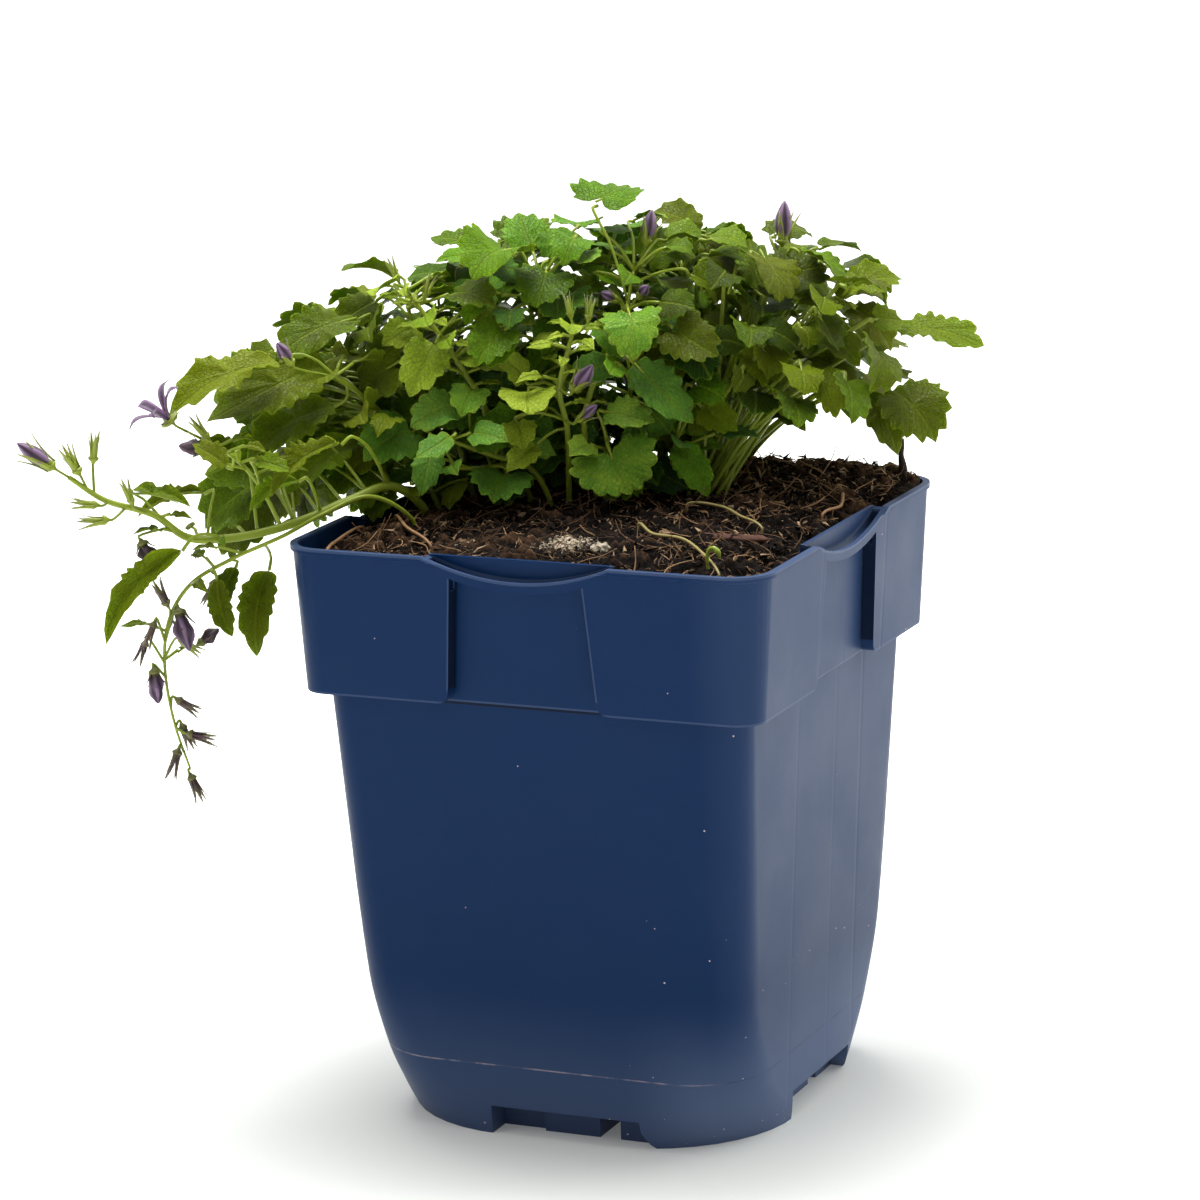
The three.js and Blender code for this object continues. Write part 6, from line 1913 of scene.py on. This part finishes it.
def peat_relief(x, y, relief):
    """Clods of two sizes with hollows between them, roughened"""
    total = np.zeros(x.size)
    for i, (a, b) in enumerate(zip(x.ravel(), y.ravel())):
        shift = 1.6 * noise.noise(Vector((a * 0.2, b * 0.2, 5.5)))
        twist = 0.5 * noise.noise(Vector((a * 0.6, b * 0.6, 9.1)))
        clod = noise.voronoi(Vector((a * 0.13 + shift, b * 0.13 + twist, 0.4)))[0][0]
        crumb = noise.voronoi(Vector((a * 0.3 + twist, b * 0.42 + shift, 2.4)))[0][0]
        rough = noise.fractal(Vector((a * 0.22 + twist, b * 0.22, 3.1)), 0.9, 2.1, 4)
        swell = noise.noise(Vector((a * 0.07, b * 0.07, 7.7)))
        total[i] = 0.5 - 1.2 * clod**2 - 0.22 * crumb**2 + 0.8 * rough + 0.5 * swell
    return np.clip(relief * total.reshape(x.shape), -1.8 * relief, 1.3 * relief)


def wall_reach(angles, half, radius):
    """How far a square with rounded corners reaches in each direction"""
    across, along = np.abs(np.cos(angles)), np.abs(np.sin(angles))
    centre = half - radius
    flat = half / np.maximum(across, along)
    both = centre * (across + along)
    arc = both + np.sqrt(np.maximum(0, both**2 - 2 * centre**2 + radius**2))
    beside = flat * np.minimum(across, along)
    return np.where(beside <= centre, flat, arc)


def closed_heap(x, y, z):
    """Points and faces of the peat: its top, and the sides that follow the pot's walls down"""
    row = x.shape[0]
    points = np.stack([x.ravel(), y.ravel(), z.ravel()], axis=1)
    index = np.arange(row * row).reshape(row, row)
    quads = np.stack([index[:-1, :-1], index[:-1, 1:], index[1:, 1:], index[1:, :-1]], axis=-1)
    faces = quads.reshape(-1, 4).tolist()
    ring = np.concatenate([index[0, :-1], index[:-1, -1], index[-1, :0:-1], index[:0:-1, 0]])
    border = points[ring]
    angles = np.arctan2(border[:, 1], border[:, 0])
    ledge = COLLAR_EDGE + SOIL_INSET
    shrink = (collar_half(ledge) - SOIL_INSET - 0.2) / (collar_half(SOIL_EDGE_HEIGHT) - SOIL_INSET)
    levels = [border * (1, 1, 0) * shrink + [0, 0, ledge]]
    heights, halves, corners = np.array(BODY_OUTLINE, float).T
    foot_height = NOTCH_HEIGHT + SOIL_INSET
    for height in (ledge - 0.5, *SIDE_LEVELS, foot_height):
        half = np.interp(height, heights, halves) - SOIL_INSET
        radius = np.interp(height, heights, corners) - SOIL_INSET
        reach = wall_reach(angles, half - 0.3, radius)
        level = [reach * np.cos(angles), reach * np.sin(angles), np.full(len(reach), height)]
        levels.append(np.stack(level, axis=1))
    lower = len(points) + np.arange(len(ring))
    points = np.concatenate([points, *levels, [[0, 0, foot_height]]])
    for _ in levels:
        sides = (ring, lower, np.roll(lower, -1), np.roll(ring, -1))
        faces += np.stack(sides, axis=1).tolist()
        ring = lower
        lower = lower + len(ring)
    foot = np.full(len(ring), len(points) - 1)
    faces += np.stack([np.roll(ring, -1), ring, foot], axis=1).tolist()
    return points, faces


def turned_about(points, turn):
    """Points turned about the upright axis"""
    c, s = math.cos(turn), math.sin(turn)
    return points @ np.array([[c, s, 0], [-s, c, 0], [0, 0, 1]])


def chunk(draws, radius):
    """A small rough lump"""
    stretch = np.array([draws.between(0.7, 1.4), draws.between(0.6, 1.2), draws.between(0.45, 0.9)])
    rough = np.array([draws.between(0.5, 1.35) for _ in LUMP_CORNERS])
    points = LUMP_CORNERS / 1.9 * rough[:, None] * stretch * radius
    return turned_about(points, draws.between(0, 6.28)), LUMP_FACES


def shred(draws, radius):
    """A thin bent shred that lies or leans any way"""
    half = radius * draws.between(1.3, 3.6)
    wide = radius * draws.between(0.25, 0.6)
    bend = half * draws.between(-0.15, 0.55)
    middle = half * draws.between(-0.3, 0.3)
    roll = draws.between(0, 6.28)
    points = [[-half, 0, 0], [half, 0, 0]]
    for k in range(3):
        angle = roll + 2 * math.pi * k / 3
        points.append([middle, wide * math.cos(angle), 0.7 * wide * math.sin(angle) + bend])
    lean = draws.between(-0.85, 0.85)
    c, s = math.cos(lean), math.sin(lean)
    points = np.array(points) @ np.array([[c, 0, s], [0, 1, 0], [-s, 0, c]])
    faces = [(0, 3, 2), (0, 4, 3), (0, 2, 4), (1, 2, 3), (1, 3, 4), (1, 4, 2)]
    return turned_about(points, draws.between(0, 6.28)), faces


def behind_panel(x, y):
    return max(abs(x), abs(y)) > PANEL_BACK and min(abs(x), abs(y)) < PANEL_BACK_HALF


class MakePeat(Operator):
    """Heaps the peat, with its crumbs, its fibres and its crust"""

    bl_idname = "bellflower.peat"
    bl_label = "Peat"

    def execute(self, context):
        peat = context.scene.bellflower_peat
        material = peat_material(peat)
        self.heap_up(peat, material)
        draws = Draws(5)
        self.scatter_crumbs(peat, draws, material)
        self.scatter_fibres(peat, draws)
        return {"FINISHED"}

    def heap_up(self, peat, material):
        x, y = peat_grid(peat.grid)
        ground = smooth_ground(x, y)
        edge = np.clip((74 - np.maximum(np.abs(x), np.abs(y))) / 6, 0.25, 1)
        z = ground - 0.4 + edge * peat_relief(x, y, peat.relief / MM)
        z += 1.2 * crust_share(x, y)
        points, faces = closed_heap(x, y, z)
        tints = np.zeros((len(points), 3))
        tints[:, 0] = 0.5
        # Painted shade and light: the first tint number is darker in the hollows and lighter on the tops,
        # with the painted light and shade of the place
        level = (z - ground).ravel()
        tints[: x.size, 0] = np.clip(0.36 + 0.13 * level + painted_peat_light(x, y).ravel(), 0, 1)
        tints[: x.size, 1] = 0.6 * crust_share(x, y).ravel()
        shape = Shape()
        shape.add(points, faces, 0, tints)
        piece_from("peat_heap", shape, [material], "peat", "soil")

    def scatter_crumbs(self, peat, draws, material):
        crumbs = Shape()
        for _ in range(peat.crumbs):
            a, b = draws.between(-70, 70), draws.between(-70, 70)
            radius = 0.32 + 1.1 * draws.between(0, 1) ** 4
            lump, faces = (chunk if draws.between(0, 1) < CHUNK_SHARE else shred)(draws, radius)
            centre = [a, b, float(smooth_ground(a, b)) + 0.3 * radius + draws.between(-0.6, 0.6)]
            if behind_panel(a, b):
                continue
            pale = 0.62 * float(crust_share(a, b)) + draws.between(0, 0.12)
            # A random tone, with the painted light and shade of the place
            tint = (1.25 * draws.between(0, 1) ** 1.9 + float(painted_peat_light(a, b)), pale, 0)
            crumbs.add(lump + centre, faces, 0, tint)
        piece_from("peat_crumbs", crumbs, [material], "peat", smooth=False)

    def scatter_fibres(self, peat, draws):
        fibres = Shape()
        for _ in range(peat.fibres):
            a, b = draws.between(-68, 68), draws.between(-68, 68)
            if behind_panel(a, b):
                continue
            heading = draws.between(0, 6.28)
            length = draws.between(2.5, 15)
            lift = draws.between(0, 1) ** 3 * 8
            bend = draws.between(-1.6, 1.6)
            path = []
            for t in (0, 0.35, 0.7, 1):
                turn = heading + bend * t
                px = np.clip(a + length * t * math.cos(turn), -PEAT_REACH, PEAT_REACH)
                py = np.clip(b + length * t * math.sin(turn), -PEAT_REACH, PEAT_REACH)
                path.append([px, py, float(smooth_ground(px, py)) + 0.9 + lift * t * t])
            path[0][2] -= 1.6
            pale = draws.between(0, 1) < 0.28
            radius = draws.between(0.13, 0.26) if pale else draws.between(0.09, 0.17)
            dark = draws.between(-0.3, 0.1) if pale else draws.between(0.3, 0.9)
            add_tube(fibres, path, [radius, radius, 0.5 * radius], 4, 8, (0, dark, 0))
        skin = dry_material("dry_fibre", peat.fibre, peat.brown, 400.0)
        piece_from("peat_fibres", fibres, [skin], "straw")


LITTER_PATHS = [
    ("runner_root_front", [[16, -21], [25, -32], [36, -37], [46, -47], [57, -61]], 0.5, "root"),
    ("runner_root_right", [[22, 2], [33, 1], [41, -5], [51, -13]], 0.45, "root"),
    ("straw_left", [[-64, -64], [-66, -52], [-64, -40]], 0.55, "straw"),
    ("straw_front", [[-58, -30], [-48, -43], [-36, -53]], 0.5, "straw"),
    ("straw_right", [[60, 30], [63, 20], [62, 8]], 0.5, "straw"),
]
# Places on the peat, then sizes: length, width and height, or height, and radius
BARK_STRIP = [46, -24, 22, 5, 2.2]
BARK_TURN = math.radians(5)
BARK_ROWS = 22
PERLITE_LUMP = [15, -47, 4.2]
CORNER_TWIG = [67, 62, 14, 1.4]
SEEDLING = [52, -56]
# The seedling's way up from its place and down to its head
SEEDLING_PATH = (
    (0, 0, -3), (-0.6, 0.4, 2.2), (-0.2, 0.6, 4.2), (1.4, 0.4, 5.0), (2.9, 0, 4.0), (3.4, -0.2, 2.4),
)
LITTER_SINK = 5
LITTER_RISE = 2.4


class MakeLitter(Operator):
    """Lays the runner roots, straws, bark, twig and perlite on the peat"""

    bl_idname = "bellflower.litter"
    bl_label = "Litter"

    def execute(self, context):
        peat = context.scene.bellflower_peat
        skins = {
            "root": (dry_material("runner_root_skin", peat.root, peat.fibre, 250.0, 0.55), "runner_root"),
            "straw": (dry_material("dry_straw", peat.fibre, peat.bark, 300.0), "straw"),
        }
        for name, path, radius, kind in LITTER_PATHS:
            material, slot = skins[kind]
            run = [[x, y, float(soil_height(x, y)) + LITTER_RISE] for x, y in path]
            ends = [[x, y, z - LITTER_SINK] for x, y, z in (run[0], run[-1])]
            radii = [radius, 0.9 * radius, radius, 0.8 * radius, 0.6 * radius]
            shape = Shape()
            add_tube(shape, [ends[0], *run, ends[1]], radii, 8, 40)
            piece_from(name + "_fine", shape, [material], slot, name)
        self.lay_bark(peat)
        self.set_seedling(context)
        self.lay_perlite(peat)
        self.set_twig(peat)
        return {"FINISHED"}

    def lay_bark(self, peat):
        x0, y0, length, width, height = BARK_STRIP
        ground = float(soil_height(x0, y0)) + 0.6
        rings = []
        for i in range(BARK_ROWS):
            t = i / (BARK_ROWS - 1)
            ends = min(1.0, 6 * min(t, 1 - t) + 0.35)
            sway = noise.noise(Vector((t * 7, 1.3, 0)))
            ring = []
            for turn in even_turns(14):
                across, up = math.cos(turn), math.sin(turn)
                rough = 1 + 0.25 * noise.noise(Vector((t * 14, 2 * across, 2 * up)))
                y = (0.5 * width * across * rough + 0.5 * sway) * ends
                ring.append([(t - 0.5) * length, y, 0.5 * height * up * rough * ends])
            rings.append(np.array(ring))
        points, faces = loft(rings)
        x, y = turned(points[:, 0], points[:, 1], BARK_TURN)
        shape = Shape()
        shape.add(np.stack([x + x0, y + y0, points[:, 2] + ground], axis=1), faces, 0, (0, 0.1, 0))
        skin = dry_material("dry_bark", peat.bark, peat.dark, 300.0)
        piece_from("bark_strip_fine", shape, [skin], "bark", "bark_strip")

    def set_seedling(self, context):
        """A small seedling that still hangs its head"""
        x, y = SEEDLING
        ground = float(soil_height(x, y))
        path = [[x + a, y + b, ground + LITTER_RISE + c] for a, b, c in SEEDLING_PATH]
        shape = Shape()
        add_tube(shape, path, [0.45, 0.5, 0.55, 0.7, 0.8, 0.3], 8, 24, (0, 0, -0.1))
        skin = stem_material(context.scene.bellflower_plant)
        piece_from("seedling", shape, [skin], "runner_root")

    def lay_perlite(self, peat):
        x0, y0, radius = PERLITE_LUMP
        bpy.ops.object.select_all(action="DESELECT")
        bpy.ops.mesh.primitive_ico_sphere_add(subdivisions=4, radius=radius * MM)
        lump = bpy.context.active_object
        lump.name = "perlite_lump_fine"
        ground = float(soil_height(x0, y0)) + 0.8
        for vertex in lump.data.vertices:
            co = vertex.co / MM
            co = co * (0.68 + 0.26 * noise.fractal(co * 0.45, 0.8, 2.2, 4))
            vertex.co = Vector((co.x + x0, 0.8 * co.y + y0, 0.7 * co.z + ground)) * MM
        bpy.ops.object.shade_smooth()
        chalk = dry_material("expanded_perlite", peat.perlite, peat.perlite_pores, 500.0)
        lump.data.materials.append(chalk)
        finish_piece(lump, "perlite", "perlite_lump")

    def set_twig(self, peat):
        x, y, height, radius = CORNER_TWIG
        ground = float(soil_height(x, y))
        path = [
            [x, y, ground - LITTER_SINK],
            [x + 0.3, y, ground + 0.3 * height],
            [x - 0.4, y + 0.2, ground + 0.7 * height],
            [x + 0.1, y, ground + height],
        ]
        radii = [share * radius for share in (1, 0.8, 0.95, 0.6, 0.75, 0.45)]
        shape = Shape()
        add_tube(shape, path, radii, 10, 24, (0, 0.5, 0))
        skin = dry_material("twig_bark", peat.bark, peat.dark, 350.0)
        piece_from("corner_twig_fine", shape, [skin], "bark", "corner_twig")


# Flowers that have withered, and those of them whose petals are still violet
FADED = ("faded_flower", "hanging_bell", "dark_bud", "side_bud")
STILL_VIOLET = ("violet_trumpet", "dark_bud")
INNER_PARTS = ("inner_leaves_left", "inner_leaves_middle", "inner_leaves_right")


class MakeFoliage(Operator):
    """Dresses every spray: stems, leafstalks, toothed blades and calyces"""

    bl_idname = "bellflower.foliage"
    bl_label = "Foliage"

    def execute(self, context):
        plant = context.scene.bellflower_plant
        sprays, flowers, between = grown_plant(context)
        skins = [leaf_material(plant), stem_material(plant), sepal_material(plant)]
        draws = Draws(31)
        for node in dict.fromkeys(spray.node for spray in sprays.values()):
            shape = Shape()
            for spray in sprays.values():
                if spray.node == node:
                    self.dress_spray(shape, spray, TONES.get(node, PLAIN_TONE), draws, plant)
            for flower in flowers:
                if flower["node"] == node:
                    add_tube(shape, flower["stalk"], [0.45, 0.4, 0.5], 6, 8, (0, 0, 0.1), STEM_SLOT)
                    add_calyx(shape, flower)
            slot = "shoot" if node in YOUNG_SHOOTS else "leaf"
            piece_from(node + "_foliage", shape, skins, slot, node, in_clump=True)
        shapes = {name: Shape() for name in ("small_leaves", *INNER_PARTS)}
        for node, leaf, stalk in between:
            jitter = (draws.between(-0.42, 0.42), draws.between(-0.25, 0.22))
            tone = inner_tone(node, leaf) if node in INNER_PARTS else TONES.get(node, PLAIN_TONE)
            shape = shapes.get(node, shapes["small_leaves"])
            steps = 2 if leaf.length > 15 else 1
            add_leaf(shape, leaf, stalk, tone, jitter, plant.tooth_depth, steps)
        for name, shape in shapes.items():
            piece_from(name, shape, skins, "leaf", in_clump=True)
        return {"FINISHED"}

    def dress_spray(self, shape, spray, tone, draws, plant):
        """A stem, a little thinner than its solid one, and its leaves"""
        radius = 1.35 if spray.name == "arching_stem" else 0.78 * spray.radius
        radii = [radius, radius, 0.95 * radius, 0.55 * radius]
        # The stem is lighter where its spray's leaves are lighter, so it carries their painted light and
        # shade too
        add_tube(shape, spray.path, radii, 8, 8 * len(spray.path), (0, 0, -0.4 * tone[0]), STEM_SLOT)
        for leaf, stalk in spray.grown:
            leaf.cup = FOLDS.get(spray.name, leaf.cup)
            leaf.width *= SLIMMER.get(spray.name, 1)
            leaf.bow = BOWS.get(spray.name, leaf.bow)
            jitter = (draws.between(-0.38, 0.32), draws.between(-0.15, 0.22))
            steps = 3 if leaf.length > 16 else 2
            add_leaf(shape, leaf, stalk, tone, jitter, plant.tooth_depth, steps)


def inner_tone(node, leaf):
    """Inner leaves are lighter higher up, painted light, and in the middle, darker at the right,
    partly painted shade, and yellower towards the sides"""
    middle = node == "inner_leaves_middle"
    side = min(1, abs(leaf.base[0] + 5) / 80)
    # Painted shade, in part, on the leaves at the right; lighter higher up as painted light
    dim = 0.2 if leaf.base[0] > 12 else 0
    lightness = 0.1 - dim + 0.5 * (leaf.base[2] - 186) / 70 + (0.2 if middle else 0)
    return lightness, (-0.15 if middle else 0.12) + 0.3 * side


class MakeFlowers(Operator):
    """Opens the star flower and shapes the buds and the withered flowers"""

    bl_idname = "bellflower.flowers"
    bl_label = "Flowers"

    def execute(self, context):
        plant = context.scene.bellflower_plant
        _, flowers, _ = grown_plant(context)
        fresh = petal_material("violet_petal", plant.petal, plant.petal_fold)
        withered = petal_material("withered_petal", plant.faded, plant.faded_fold)
        for flower in flowers:
            name = flower["name"]
            if not name:
                continue
            shape = Shape()
            if flower["kind"] == "star":
                add_star(shape, flower)
            else:
                add_bud(shape, flower)
            limp = flower["kind"] == "limp" and name not in STILL_VIOLET
            skin = withered if limp else fresh
            slot = "faded_bloom" if name in FADED else "bloom"
            piece_from(name + "_petals", shape, [skin], slot, name, in_clump=True)
        return {"FINISHED"}


# Where the photograph was taken from: degrees and millimetres, and its focal length in pixels
CAMERA_AZIMUTH = math.radians(23.68)
CAMERA_ELEVATION = math.radians(12.97)
CAMERA_ROLL = math.radians(-1.51)
CAMERA_DISTANCE = 1449.75
CAMERA_SIDE = -5.66
CAMERA_HEIGHT = 149.07
CAMERA_PIXELS = 4890.6
PHOTO_PIXELS = 1200
SENSOR_WIDTH = 36
# Soft lights: place in metres, size in metres, power in watts
SOFTBOXES = (
    ("top_softbox", (-0.2, 0.2, 1.25), 0.7, 20.0),
    ("front_left_softbox", (-0.9, -1.0, 1.0), 0.8, 2.6),
    ("right_back_softbox", (1.0, 1.1, 1.0), 0.9, 8.0),
)
LIGHTS_AIM = Vector((0, 0, 0.15))


class MakeStage(Operator):
    """Lays the pale floor, sets the soft lights and the camera"""

    bl_idname = "bellflower.stage"
    bl_label = "Stage"

    def execute(self, context):
        bpy.ops.object.select_all(action="DESELECT")
        bpy.ops.mesh.primitive_plane_add(size=12)
        floor = context.active_object
        floor.name = "studio_floor"
        floor.data.materials.append(floor_material())
        self.set_world(context)
        self.set_lights(context)
        self.set_camera(context)
        context.scene.view_settings.view_transform = "Standard"
        return {"FINISHED"}

    def set_world(self, context):
        """Bright behind the pot and overhead, dim in front of it"""
        world = bpy.data.worlds.new("studio")
        add = cleared(world)
        place = add("TexCoord", output="Generated")
        _, y, z = add("SeparateXYZ", [place]).node.outputs
        behind = add("MapRange", [y, -0.5, 0.6, 0.12, 0.7], interpolation_type="SMOOTHSTEP")
        over = add("MapRange", [z, 0.2, 0.9, 0.0, 0.35])
        total = add("Math", [behind, over], operation="ADD")
        sky = add("Background", [(1, 1, 1, 1), total])
        add("OutputWorld", [sky])
        context.scene.world = world

    def set_lights(self, context):
        for name, place, size, power in SOFTBOXES:
            light = bpy.data.lights.new(name, "AREA")
            light.size = size
            light.energy = power
            lamp = bpy.data.objects.new(name, light)
            lamp.location = place
            lamp.rotation_euler = (LIGHTS_AIM - Vector(place)).to_track_quat("-Z", "Y").to_euler()
            context.scene.collection.objects.link(lamp)

    def set_camera(self, context):
        level = math.cos(CAMERA_ELEVATION)
        ahead = (math.sin(CAMERA_AZIMUTH) * level, -math.cos(CAMERA_AZIMUTH) * level)
        back = Vector((*ahead, math.sin(CAMERA_ELEVATION)))
        right = Vector((math.cos(CAMERA_AZIMUTH), math.sin(CAMERA_AZIMUTH), 0))
        up = back.cross(right)
        if up.z < 0:
            up.negate()
        across = right * math.cos(CAMERA_ROLL) + up * math.sin(CAMERA_ROLL)
        above = up * math.cos(CAMERA_ROLL) - right * math.sin(CAMERA_ROLL)
        target = right * CAMERA_SIDE * MM + Vector((0, 0, CAMERA_HEIGHT * MM))
        camera = bpy.data.cameras.new("camera")
        camera.sensor_width = SENSOR_WIDTH
        camera.lens = CAMERA_PIXELS * SENSOR_WIDTH / PHOTO_PIXELS
        camera.clip_end = 50
        eye = bpy.data.objects.new("camera", camera)
        turn = Matrix((across, above, back)).transposed().to_4x4()
        eye.matrix_world = Matrix.Translation(target + back * CAMERA_DISTANCE * MM) @ turn
        context.scene.collection.objects.link(eye)
        context.scene.camera = eye


SETTINGS = (
    ("bellflower_pot", PotSettings),
    ("bellflower_peat", PeatSettings),
    ("bellflower_plant", PlantSettings),
)
OPERATORS = (MakePot, MakePeat, MakeLitter, MakeFoliage, MakeFlowers, MakeStage)


class BellflowerPanel(Panel):
    """Lists the pieces of the potted bellflower"""

    bl_idname = "VIEW3D_PT_bellflower"
    bl_label = "Potted bellflower"
    bl_space_type = "VIEW_3D"
    bl_region_type = "UI"
    bl_category = "Bellflower"

    def draw(self, context):
        for operator in OPERATORS:
            self.layout.operator(operator.bl_idname)


def register():
    for name, group in SETTINGS:
        bpy.utils.register_class(group)
        setattr(bpy.types.Scene, name, PointerProperty(type=group))
    for operator in OPERATORS:
        bpy.utils.register_class(operator)
    bpy.utils.register_class(BellflowerPanel)


def unregister():
    bpy.utils.unregister_class(BellflowerPanel)
    for operator in reversed(OPERATORS):
        bpy.utils.unregister_class(operator)
    for name, group in reversed(SETTINGS):
        delattr(bpy.types.Scene, name)
        bpy.utils.unregister_class(group)


def main():
    register()
    bpy.ops.bellflower.pot()
    bpy.ops.bellflower.peat()
    bpy.ops.bellflower.litter()
    bpy.ops.bellflower.foliage()
    bpy.ops.bellflower.flowers()
    bpy.ops.bellflower.stage()


if __name__ == "__main__":
    main()
